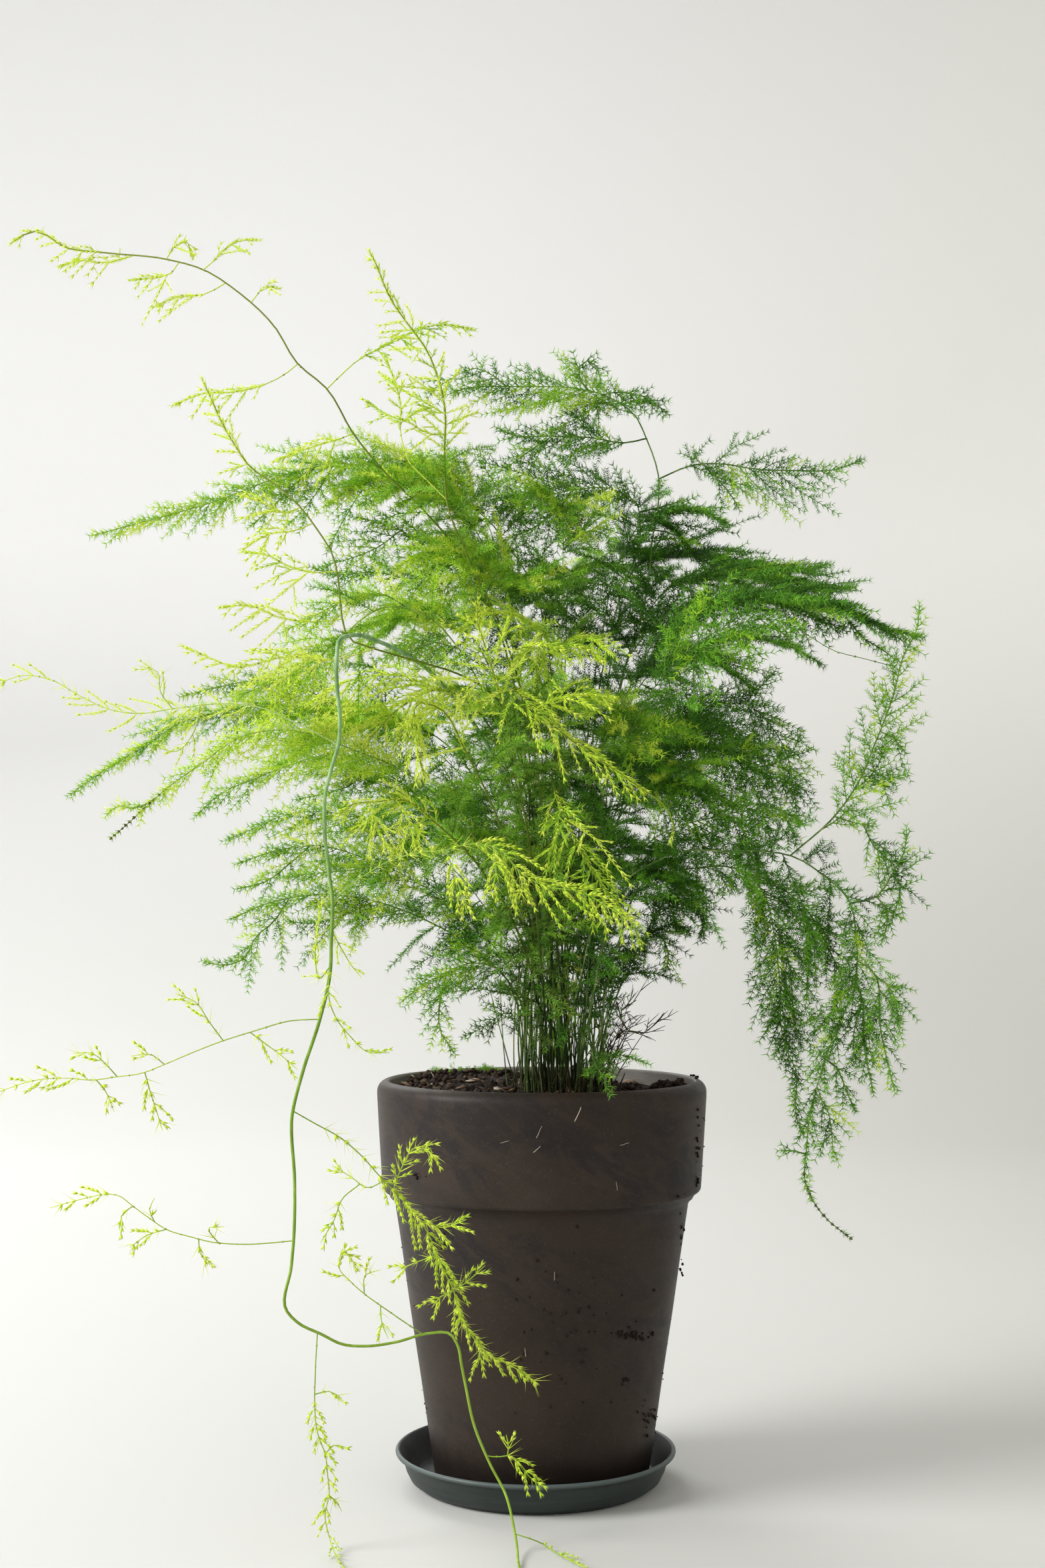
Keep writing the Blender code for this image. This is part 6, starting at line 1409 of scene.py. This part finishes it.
def draw_thin_shoots(sketch, line, tone):
    """Thin shoots beside a stem's foot, that lean their own way, with a few needles at the top."""
    draw = sketch.draw
    for _ in range(draw.choice((1, 1, 2))):
        start = line.points[0] + (*scatter(draw, 2, 2), 0.0)
        reach = np.array([draw.gauss(0.03, 0.17), draw.gauss(0, 0.14), 1.0]) * draw.uniform(45, 90)
        curl = np.array([*scatter(draw, 2, 2), 0.0])
        ends = [bowed(start, reach, curl, u) for u in np.linspace(0, 1, 6)]
        shade = tone + draw.uniform(-0.25, 0.1)
        sketch.run(TWIG, ends, (0.42, 0.4, 0.36, 0.3, 0.24, 0.14), shade, (1.0, 1.0, 1.0, 0.8, 0.6, 0.4))
        for k in range(draw.randint(0, 4)):
            spot = bowed(start, reach, curl, 1 - 0.07 * k)
            whorl(sketch, spot, unit(reach), draw.uniform(0.8, 1.3), shade, "old", False)


SLIM = 0.78  # a shoot's radius, as a share of that in the solids
SLIM_OLD = (0.38, 0.8)  # the same for an old stem, between these by chance
SLIM_LIMB = 0.55  # and for the limbs of fresh stems
WOODY_LIMB = {"young": 0.25, "vine": 0.7}  # share of bark on those, which is still green
SUNNY = 0.35  # share of the branchlets painted paler, at the left and in the middle: fresh growth, and painted light on the lit left
SHADY = 0.12  # and elsewhere


def draw_line(sketch, line, style, dry):
    """One stem or limb: its bark, and then the spray that it carries."""
    draw = sketch.draw
    root = line.parent is None
    base, tip = line.shoot.thick
    tip_place = line.points[-1]
    tone = TONES[style] + line.shade + random.Random(line.number).uniform(-0.06, 0.06)
    # painted light and shade: paler towards the lit left and the front, darker to the right and the back
    tone -= 0.001 * min(60.0, tip_place[0]) + 0.0008 * tip_place[1]
    share = line.along / line.length
    woody = np.clip(1.15 - share * (0.5 if root else 0.9), 0.3, 1.0)
    slim = 1.0 if style == "vine" else SLIM
    if root and style not in WOODY_LIMB:
        slim = random.Random(line.number).uniform(*SLIM_OLD)
    elif not root and style in WOODY_LIMB:
        slim, woody = SLIM_LIMB, woody * WOODY_LIMB[style]
    radii = (base + (tip - base) * share) * slim
    radii[-1] *= 0.5
    kept = slice(None) if style == "vine" else [*range(0, len(line.points) - 1, 2), len(line.points) - 1]
    sketch.run(STEM, line.points[kept], radii[kept], tone, woody[kept])
    if style == "dry":
        if root:
            draw_stubs(sketch)
            draw_dead_fan(sketch)
        draw_dead_twigs(sketch, line)
    elif style != "vine" and root:
        draw_thin_shoots(sketch, line, tone)
    s = draw.uniform(3, 8) + (HOLE_DEPTH if root else 0)
    while s < line.length - 3:
        sketch.put("knuckle", line.at(s), line.heading(s), draw.uniform(0.75, 1.1), tone + 0.25, 0.7)
        s += draw.uniform(6, 11)
    if root and dry:
        sketch.dry = 0.85
        s = line.length
        while s > line.length - dry:
            for kit, small, large in (("knuckle", 0.9, 1.5), ("needles_b", 0.4, 0.8)):
                sketch.put(kit, line.at(s), line.heading(s), draw.uniform(small, large), DEAD_TONE)
            s -= draw.uniform(2.0, 3.5)
        sketch.dry = 0.0
    spray = line.shoot.spray
    if spray is None:
        return
    if style == "vine":
        draw_vine_spray(sketch, line, tone)
        return
    if root and line.knots[spray.first + line.lead] > 60:
        draw_sprigs(sketch, line)
    draw_spray(sketch, line, tone, style, SUNNY if tip_place[0] < -40 or style == "mid" else SHADY)


def draw_spray(sketch, line, tone, style, sunny):
    """The branchlets of a shoot, its own whorls between them, and those at its tip."""
    draw = sketch.draw
    spray = line.shoot.spray
    first, last = spray_range(line)
    habit = "young" if style == "young" else "wide" if spray.reach > 16 else "narrow"
    drawn = [(b, FULLER) for b in branchlets(line, line.number)]
    if habit == "wide" and line.parent is None or habit == "narrow" and spray.reach > 10:
        drawn += [(b, 0.6) for b in branchlets(line, 900 + line.number, 0.0)]
    full, taper = (1.38, 0.85) if habit == "narrow" else (1.22, 0.6)
    stray = 0.2 if habit == "young" else 0.13
    for b, share in drawn:
        if draw.random() < 0.05:
            continue
        grow = share * draw.triangular(0.4, 1.5, 1.0) * (full - taper * (b.s - first) / (last - first))
        reach = b.reach * grow * (1.0 - 0.2 * unit(b.reach)[2])
        reach = reach + scatter(draw, stray, stray, stray) * size_of(reach)
        bend = b.bend * grow + line.heading(b.s) * size_of(reach) * SWEEP
        if habit == "young":
            bend = bend - UP * (DROOP * size_of(reach))
        # some branchlets painted paler: fresh growth, and painted light, with more of them on the lit left
        shade = tone + draw.gauss(0, 0.06) + (draw.uniform(0.2, 0.5) if draw.random() < sunny else 0.0)
        draw_branchlet(sketch, b._replace(reach=reach, bend=bend), shade, style, SPARSE[habit])
    s = first
    while s < last:
        whorl(sketch, line.at(s), line.heading(s), 1.0, tone, style, False)
        s += WHORL_GAP * draw.uniform(0.8, 1.2)
    for back in (0, 2, 4):
        s = line.length - back
        whorl(sketch, line.at(s), line.heading(s), 0.9, tone, style, True)


VINE_LOW = 270.0  # height below which the vine's growth is crowded with buds


def draw_vine_spray(sketch, line, tone):
    """A climbing shoot: fine needles and pale buds at its joints, and short spurs with buds."""
    draw = sketch.draw
    start, end = spray_range(line)
    in_front = 1.0 if line.parent and line.points[-1][0] > -50 else 0.0  # the strand across the middle

    def crowded(place):
        return max(in_front, min(1.0, max(0.0, (VINE_LOW - place[2]) / 60)))

    s = min(start, 16.0) if in_front else start
    while s < end:
        spot, heading = line.at(s), line.heading(s)
        low = crowded(spot)
        sketch.put("long", spot, heading, draw.uniform(0.6, 1.1), tone + draw.uniform(0.0, 0.3))
        sketch.put("knuckle", spot, heading, 0.8, 1.0, 0.1)
        if draw.random() < 0.2 + 0.4 * low:
            way = unit(heading + line.side(s) * draw.uniform(-1, 1))
            sketch.put("vine_buds", spot, way, draw.uniform(0.4, 0.6) + 0.35 * low, 0.9)
        s += draw.uniform(3.4, 6.0) * (1.0 if in_front else 1.4)
    for b in branchlets(line, line.number):
        if not in_front and draw.random() < 0.4:
            continue
        bend = b.bend - UP * (0.35 * in_front * size_of(b.reach))
        low, grow = crowded(b.start), draw.uniform(0.8, 1.3)
        reach = b.reach * grow
        b = b._replace(reach=reach, bend=bend * grow + line.heading(b.s) * size_of(reach) * 0.5)
        if not outside_holders(b.start, b.at(1.0)):
            continue
        sketch.run(TWIG, [b.at(u) for u in HALVES], (0.3, 0.24, 0.16), tone, (0.3, 0.1, 0.0))
        count = max(2, int(size_of(b.reach + b.bend) / 1.9))
        for k in range(1, count + 1):
            spot, aim = b.at(k / count), b.aim(k / count)
            sketch.put("needles_young", spot, aim, draw.uniform(0.7, 1.1), tone + draw.uniform(0.1, 0.4))
            if draw.random() < 0.2 + 0.65 * low or k == count:
                size = draw.uniform(0.4, 0.55) + 0.3 * low
                sketch.put("vine_buds", spot, aim, size, draw.uniform(0.7, 1.0))


# More limbs, thin ones that fill gaps inside the plant's outline: the stem's name after stem_, the reach of
# the spray, and the route
MORE_THICK = (0.42, 0.3)
MORE_LIMBS = [
    ("left_top", 12, [(727, 773, 5), (690, 800, 2), (640, 815), (590, 790), (530, 775, -10)]),
    ("left_top", 14, [(758, 811, 8), (715, 835), (670, 858, 0), (620, 868), (560, 858), (500, 862),
        (465, 850, -14)]),
    ("left_top", 9, [(500, 700, -9), (478, 735, -12), (450, 770), (430, 790, -16)]),
    ("left_arch", 12, [(690, 975, -86), (660, 965, -84), (620, 960, -80), (580, 975, -78)]),
    ("left_inner", 12, [(720, 1300, 14), (700, 1220, 10), (670, 1160, 4), (635, 1110, 0)]),
    ("left_inner", 10, [(560, 1150, 8), (530, 1175), (490, 1190, -4), (440, 1200, -8)]),
    ("left_low", 12, [(640, 1270, -22), (590, 1290, -26), (530, 1305), (470, 1310), (415, 1318, -36)]),
    ("left_low", 12, [(725, 1350, -18), (700, 1370, -30), (690, 1410, -38), (680, 1440, -40)]),
    ("left_lower", 14, [(740, 1415, 26), (705, 1395, 10), (680, 1400, 0), (650, 1425, -6)]),
    ("left_lowest", 12, [(560, 1350, 58), (510, 1375, 50), (470, 1385), (430, 1382, 42)]),
    ("high_middle", 13, [(912, 975, 33), (880, 940, 20), (845, 915, 10), (800, 905, 4)]),
    ("right_upper", 12, [(950, 970, 8), (965, 920, -6), (975, 880, -14), (1010, 850, -20)]),
    ("right_upper", 10, [(945, 985, 8), (990, 930, -10), (1040, 905, -20), (1085, 870, -26)]),
    ("right_front", 9, [(1150, 895, -52), (1190, 915), (1230, 932), (1275, 942, -46)]),
    ("right_mid_up", 12, [(1107, 1049, 44), (1150, 1080, 30), (1180, 1130, 20), (1192, 1190),
        (1198, 1240, 12)]),
    ("right_mid_low", 11, [(1090, 1223, -48), (1115, 1245, -44), (1132, 1275), (1140, 1305, -40)]),
    ("right_mid_low", 10, [(1040, 1235, -47), (1060, 1280, -44), (1080, 1310), (1095, 1340, -40)]),
    ("right_low", 11, [(985, 1370, 22), (1000, 1345, 14), (1010, 1375, 8), (1020, 1400, 4)]),
    ("right_low", 12, [(925, 1490, 14), (930, 1460, 6), (945, 1435, 0), (970, 1415, -4)]),
    ("right_wiry", 7, [(1300, 1150, -60), (1325, 1165), (1345, 1180)]),
    ("right_wiry", 7, [(1318, 1100, -58), (1345, 1110), (1358, 1130)]),
    ("right_wiry", 8, [(1256, 1223, -61), (1285, 1235, -58), (1315, 1240)]),
    ("right_wiry", 7, [(1340, 1310, -61), (1352, 1330, -60), (1345, 1360, -58), (1335, 1385)]),
    ("right_drooping", 8, [(1150, 1400, -38), (1180, 1430, -40), (1188, 1480), (1190, 1530)]),
    ("high_right", 9, [(905, 592, 12), (930, 588), (955, 592, 8), (980, 600)]),
    ("high_right", 9, [(825, 654, 12), (790, 680), (755, 705, 4)]),
    ("high_right", 8, [(760, 580, 10), (735, 560, 6), (710, 552), (690, 560, 2)]),
    ("high_right", 8, [(902, 591, 12), (880, 620, 8), (850, 635), (820, 650, 4)]),
    ("left_far", 11, [(520, 1070, 44), (460, 1035, 30), (400, 1020, 20), (330, 1030, 12), (270, 1045, 6)]),
    ("left_arch", 11, [(612, 912, -90), (570, 890, -84), (520, 900, -80), (470, 925), (420, 950, -76)]),
    ("left_top", 11, [(806, 895, 10), (740, 870), (680, 840, -10), (630, 800, -18), (600, 775, -22)]),
    ("left_top", 9, [(577, 688, -8), (540, 740, -14), (510, 790, -18), (490, 830, -20)]),
    ("high_middle", 9, [(860, 735, 12), (800, 715), (750, 700, 4), (715, 690, 2)]),
    ("high_middle", 9, [(805, 748, 9), (770, 760, 6), (735, 775, 4)]),
    ("right_top", 12, [(925, 950, 62), (930, 900, 50), (925, 870, 40)]),
    ("right_front", 10, [(1200, 897, -54), (1235, 925, -50), (1265, 950, -48)]),
    ("right_mid", 10, [(1090, 1119, -15), (1130, 1180, -18), (1150, 1235, -20), (1160, 1290)]),
    ("right_low", 11, [(985, 1370, 22), (990, 1340, 30), (1000, 1370, 34), (1025, 1395, 36)]),
    ("right_low", 12, [(915, 1510, 12), (905, 1470, 4), (915, 1440, 0), (950, 1430, -6)]),
    ("right_drooping", 7, [(1162, 1542, -38), (1190, 1540, -44), (1220, 1530, -46), (1240, 1515)]),
    ("left_top", 10, [(600, 800, -10), (565, 822), (525, 838, -18), (480, 850, -20)]),
    ("high_middle", 9, [(800, 800, 8), (770, 770, 4), (745, 730), (720, 690, -2)]),
    ("left_far", 10, [(600, 1020, 30), (560, 1000, 20), (515, 995, 14)]),
    ("left_inner", 11, [(735, 1180, 10), (715, 1150, 4), (695, 1120), (665, 1090, -6)]),
    ("high_middle", 10, [(870, 960, 30), (845, 940, 22), (815, 925, 16)]),
    ("right_upper", 10, [(990, 930, -10), (1015, 900), (1040, 875, -18)]),
    ("right_low", 11, [(960, 1400, 10), (985, 1395), (1010, 1385, 2), (1035, 1400)]),
    ("right_low", 10, [(930, 1480, 10), (945, 1455, 4), (965, 1450)]),
    ("right_wiry", 8, [(1290, 1262, -60), (1315, 1275, -60), (1340, 1295, -58), (1350, 1330)]),
    ("right_wiry", 7, [(1290, 1190, -60), (1310, 1160, -58), (1330, 1120)]),
    ("right_wiry", 6, [(1240, 1250, -60), (1262, 1225), (1280, 1205, -56)]),
    ("high_right", 8, [(905, 615, 10), (935, 605), (965, 600, 6)]),
    ("high_middle", 9, [(850, 870, 14), (815, 850), (780, 838, 6)]),
    ("right_mid", 8, [(1160, 1215, -18), (1185, 1235, -20), (1195, 1265)]),
    ("right_wiry", 8, [(1322, 1460, -64), (1335, 1480), (1345, 1510), (1350, 1540)]),
    ("right_wiry", 8, [(1298, 1500, -57), (1285, 1530, -56), (1280, 1560), (1285, 1600)]),
    ("right_wiry", 8, [(1225, 1640, -62), (1240, 1660), (1248, 1700), (1250, 1740)]),
    ("right_drooping", 8, [(1156, 1470, -38), (1172, 1500, -40), (1180, 1560), (1170, 1600)]),
    ("right_mid_low", 8, [(1115, 1245, -44), (1130, 1290, -44), (1145, 1320, -42)]),
    ("right_top", 10, [(930, 960, 60), (915, 930, 50), (905, 895, 42)]),
    ("left_arch", 10, [(690, 985, -86), (655, 1000, -84), (615, 1005, -80)]),
    ("left_lower", 11, [(700, 1390, 10), (675, 1365, 4), (655, 1330), (645, 1300, -4)]),
    ("high_right", 7, [(1060, 700, 22), (1045, 688), (1040, 672, 18)]),
    ("high_right", 7, [(690, 560, 2), (665, 575), (640, 590, -2)]),
]


def add_more_limbs(stems, lines):
    """Adds the thin limbs, each to the nearest line of its stem."""
    names = [name for name, _ in stems]
    for name, reach, route in MORE_LIMBS:
        points = placed(route)
        own = [line for line in lines if line.stem == names.index("stem_" + name)]
        parent = min(own, key=lambda line: float(np.min(np.linalg.norm(line.points - points[0], axis=1))))
        root_at = parent.nearest(points[0])
        points[0] = parent.at(root_at)
        child = Line(points, Shoot(None, MORE_THICK, Spray(0, reach, 70)), parent)
        child.root_at, child.stem = root_at, parent.stem
        lines.append(child)


SWAY = (0.24, 1.8, 6.0)  # outwards from the crown, by chance, and at most
SWAY_SEED = 31


def sway(lines):
    """Bows the stems above the soil by a few millimetres, each its own way, and takes their limbs along."""
    limbs = [line for line in lines if line.parent]
    before = {id(line): line.parent.at(line.root_at) for line in limbs}
    draw = random.Random(SWAY_SEED)
    for line in lines:
        if line.parent is None and line.shoot.thick != THREAD:
            out = SWAY[0] * (line.points[0][:2] - CROWN) + scatter(draw, SWAY[1], SWAY[1])
            height = np.clip((line.points[:, 2] - SOIL_LEVEL) / 120, 0, 1)
            line.points[:, :2] += np.sin(math.pi * height)[:, None] * np.clip(out, -SWAY[2], SWAY[2])
            line.measure()
    for line in limbs:
        share = (line.along / line.length)[:, None]
        line.points = line.points + (line.parent.at(line.root_at) - before[id(line)]) * (1 - share) ** 2


def make_plant(group):
    stems, lines = all_lines()
    sway(lines)
    add_more_limbs(stems, lines)
    for number, line in enumerate(lines):
        line.number = number
        set_side(line)
    finishes = {tone: foliage_paint(*looks) for tone, looks in FOLIAGE.items()}
    for number, (name, tone) in enumerate(stems):
        sketch = Sketch(number)
        for line in lines:
            if line.stem == number:
                # a stem's tone shift, mostly painted shade
                line.shade = PAINTED_SHADE_AND_TONE.get(name, 0.0)
                draw_line(sketch, line, tone, DRIED.get(name, 0.0))
        piece = sketch.grown(name + "_grown", group, finishes[tone])
        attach(piece, "root")
        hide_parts(name)


# Stage

def make_stage():
    sweep = arc((1500, 1300), 1300, -80, 0, 12)
    floor = turned([(0, 0), (1500, 0), *sweep, (2800, 3600), (2860, 3600), (2860, -60), (0, -60)])
    paint = Paint("paper_backdrop", Roughness=0.8)
    # The backdrop is painted with light and shade: darker on the floor than up the wall, and darker towards
    # the right as painted shade away from the key lamp.
    rise = paint.rise(paint.height(), 0.0, 1.1) + paint.noise(2.0, 2.0) * 0.1
    across = paint.node("ShaderNodeSeparateXYZ", None, {0: paint.place()}, "X")
    left = paint.ramp(rise, (0.0, 207, 207, 204), (1.0, 247, 247, 247))
    right = paint.ramp(rise, (0.0, 184, 183, 176), (1.0, 226, 225, 220))
    colour = paint.blend(paint.rise(across, -0.6, 1.3), left, right)
    paint.finish(Base_Color=colour)
    backdrop = add_piece("backdrop", floor, paint.material)


def lamp(name, place, target, size, power, colour=(1.0, 1.0, 1.0)):
    light = bpy.data.lights.new(name, "AREA")
    light.shape, light.size, light.energy, light.color = "DISK", size, power, colour
    stand = bpy.data.objects.new(name, light)
    stand.location = place
    stand.rotation_euler = (Vector(place) - Vector(target)).to_track_quat("Z", "Y").to_euler()
    bpy.context.scene.collection.objects.link(stand)


def make_lights():
    lamp("key", (-2.2, -0.8, 1.6), (0, 0, 0.25), 1.4, 75)
    lamp("fill", (1.5, -1.3, 0.9), (0, 0, 0.3), 1.4, 2)
    lamp("rear", (-0.8, 1.6, 1.6), (0, 0, 0.3), 1.2, 20)
    world = bpy.data.worlds.new("room")
    world.use_nodes = True
    glow = world.node_tree.nodes["Background"].inputs
    glow["Color"].default_value = (1.0, 0.995, 0.985, 1.0)
    glow["Strength"].default_value = 0.53
    bpy.context.scene.world = world
    bpy.context.scene.view_settings.view_transform = "Standard"


def make_camera():
    lens = bpy.data.cameras.new("camera")
    lens.sensor_fit, lens.sensor_height, lens.lens = "VERTICAL", 36.0, 36.0 * VIEW_FOCAL / VIEW_TALL
    lens.shift_y = (HORIZON - VIEW_TALL / 2) / VIEW_TALL
    lens.clip_start = 0.01
    camera = bpy.data.objects.new("camera", lens)
    camera.location = EYE * MM
    camera.rotation_euler = (math.radians(90), 0, 0)
    bpy.context.scene.collection.objects.link(camera)
    bpy.context.scene.camera = camera


SOIL_SEED, SPECK_SEED, MOSS_SEED = 77, 78, 79
SOIL_PIECES = 900
EDGE_CRUMBS = 7
# Raised spots in the soil: place, width, height and crumbs
HEAPS = [(45, 28, 12, 5.5, 90), (61, 22, 11, 8.0, 120), (67, 8, 8, 9.0, 80), (-20, 50, 16, 3.0, 60),
         (-52, 34, 14, 3.0, 50)]
# Patches of specks on the pot in the front view: place, width, height and count
SPECKS = [(945, 2002, 34, 10, 46), (938, 2069, 9, 6, 10), (972, 2126, 12, 26, 22), (1046, 1725, 3, 60, 16),
          (1022, 1870, 5, 60, 18), (661, 1855, 14, 30, 26), (626, 1764, 8, 5, 8), (860, 1990, 110, 150, 60)]
# Straws on it: place, slant and size
STRAWS = [(865, 1676, 70, 1.0), (809, 1698, 55, 0.6), (757, 1713, 20, 0.5), (808, 1722, 35, 0.6),
          (937, 1716, 0, 0.5), (925, 1778, 85, 0.45), (832, 1911, 80, 0.55), (788, 2026, 100, 0.5),
          (700, 1990, 60, 0.4)]
BACK_SPECKS = 170
MOSS = [(-28, 57, 9, 110), (-54, 47, 7, 70), (-41, 52, 10, 40)]  # place, width and count


def scatter_soil(sketch):
    """Crumbs, bark chips, straws and white grit on the soil, heaps of crumbs, and a few on the pot's edge."""
    draw = sketch.draw
    for _ in range(SOIL_PIECES):
        r, a = (INNER_RADIUS - 2) * math.sqrt(draw.random()), draw.uniform(0, math.tau)
        x, y = r * math.cos(a), r * math.sin(a)
        pick = draw.random()
        kit, size, tone = "crumb", draw.uniform(0.8, 4.0), draw.uniform(0, 0.3)
        if pick < 0.16:
            kit, size, tone = "chip", draw.uniform(1.8, 6.5), draw.uniform(0.1, 0.9)
        elif pick < 0.2:
            size, tone = draw.uniform(0.9, 2.2), draw.uniform(0.85, 1.0)
        elif pick < 0.22:
            kit, size, tone = "fibre", draw.uniform(0.4, 1.3), draw.uniform(0.6, 0.9)
        aim = (*scatter(draw, 0.4, 0.4), 1)
        if kit == "fibre":
            aim = (*scatter(draw, 1, 1), 0.25)
        place = (x, y, soil_top(x, y) + crumble(x, y) + 0.2 * size)
        sketch.put(kit, place, aim, size, tone, loose=1.0)
    for x0, y0, wide, tall, count in HEAPS:
        for _ in range(count):
            x, y = draw.gauss(x0, wide / 2), draw.gauss(y0, wide / 2)
            if math.hypot(x, y) < INNER_RADIUS - 1.2:
                top = tall * math.exp(-((x - x0) ** 2 + (y - y0) ** 2) / wide ** 2)
                aim = (*scatter(draw, 0.5, 0.5), 1)
                place = (x, y, soil_top(x, y) + top * draw.random() ** 0.4)
                sketch.put("crumb", place, aim, draw.uniform(1.4, 4.2), draw.uniform(0, 0.3), loose=1.0)
    for _ in range(EDGE_CRUMBS):
        turn = math.radians(draw.uniform(-2, 12))
        r = LIP_RADIUS - 0.7 * WALL + draw.uniform(-1.5, 1.5)
        place = (r * math.cos(turn), r * math.sin(turn), LIP_TOP + 0.4)
        aim = (draw.gauss(0, 0.6), 0.0, 1)
        sketch.put("crumb", place, aim, draw.uniform(1.2, 3.2), draw.uniform(0, 0.2), loose=1.0)


def litter_pot(sketch):
    """Specks of soil and straws that cling to the pot: those that the front view shows, and more behind."""
    draw = sketch.draw

    def cling(kit, spot, out, size, tone, aim):
        sketch.put(kit, spot + out * 0.15 * size, aim, size, tone, loose=1.0)

    for across, down, wide, tall, count in SPECKS:
        for _ in range(count):
            spot, out = on_pot(across + draw.gauss(0, wide / 2), down + draw.gauss(0, tall / 2))
            cling("crumb", spot, out, draw.uniform(0.6, 2.3), draw.uniform(0, 0.06), out)
    for _ in range(BACK_SPECKS):
        turn = draw.uniform(math.radians(-20), math.radians(200))
        z = SAUCER_LIP_TOP + 170 * draw.random() ** 1.6
        out = np.array([math.cos(turn), math.sin(turn), 0.0])
        size, tone = draw.uniform(0.35, 1.2), draw.uniform(0, 0.15)
        cling("crumb", out * wall_radius(z) + UP * z, out, size, tone, out)
    for across, down, slant, size in STRAWS:
        spot, out = on_pot(across, down)
        slant = math.radians(slant)
        aim = UP * math.sin(slant) - np.cross(out, UP) * math.cos(slant)
        cling("fibre", spot + out * 0.2, out, size, 1.0, aim)


def grow_moss(sketch):
    """Tufts of moss on the soil."""
    draw = sketch.draw
    for x0, y0, spread, count in MOSS:
        for _ in range(count):
            x, y = draw.gauss(x0, spread / 2), draw.gauss(y0, spread / 3)
            if math.hypot(x, y) < INNER_RADIUS - 1.5:
                place = (x, y, soil_top(x, y) + crumble(x, y) + draw.uniform(1.0, 2.6))
                aim = (*scatter(draw, 0.35, 0.35), 1)
                sketch.put("short_b", place, aim, draw.uniform(0.25, 0.5), draw.uniform(0.25, 0.55))


def main():
    make_camera()
    pot = make_pot()
    saucer = make_saucer()
    finish = soil_paint()
    soil = make_soil(finish)
    group = thickening()
    crumbs = Sketch(SOIL_SEED)
    scatter_soil(crumbs)
    litter = crumbs.grown("soil_litter", group, finish)
    specks = Sketch(SPECK_SEED)
    litter_pot(specks)
    dirt = specks.grown("pot_specks", group, finish)
    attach(dirt, "root")
    tufts = Sketch(MOSS_SEED)
    grow_moss(tufts)
    moss = tufts.grown("moss", group, foliage_paint("moss", (160, 200, 70), BARK_YOUNG))
    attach(moss, "root")
    for piece, node, slot in ((pot, "pot", "clay"), (saucer, "saucer", "saucer_plastic"),
                              (soil, "soil", "soil"), (litter, "soil", "soil")):
        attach(piece, "root")
        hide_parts(node)
    make_plant(group)
    make_stage()
    make_lights()


main()
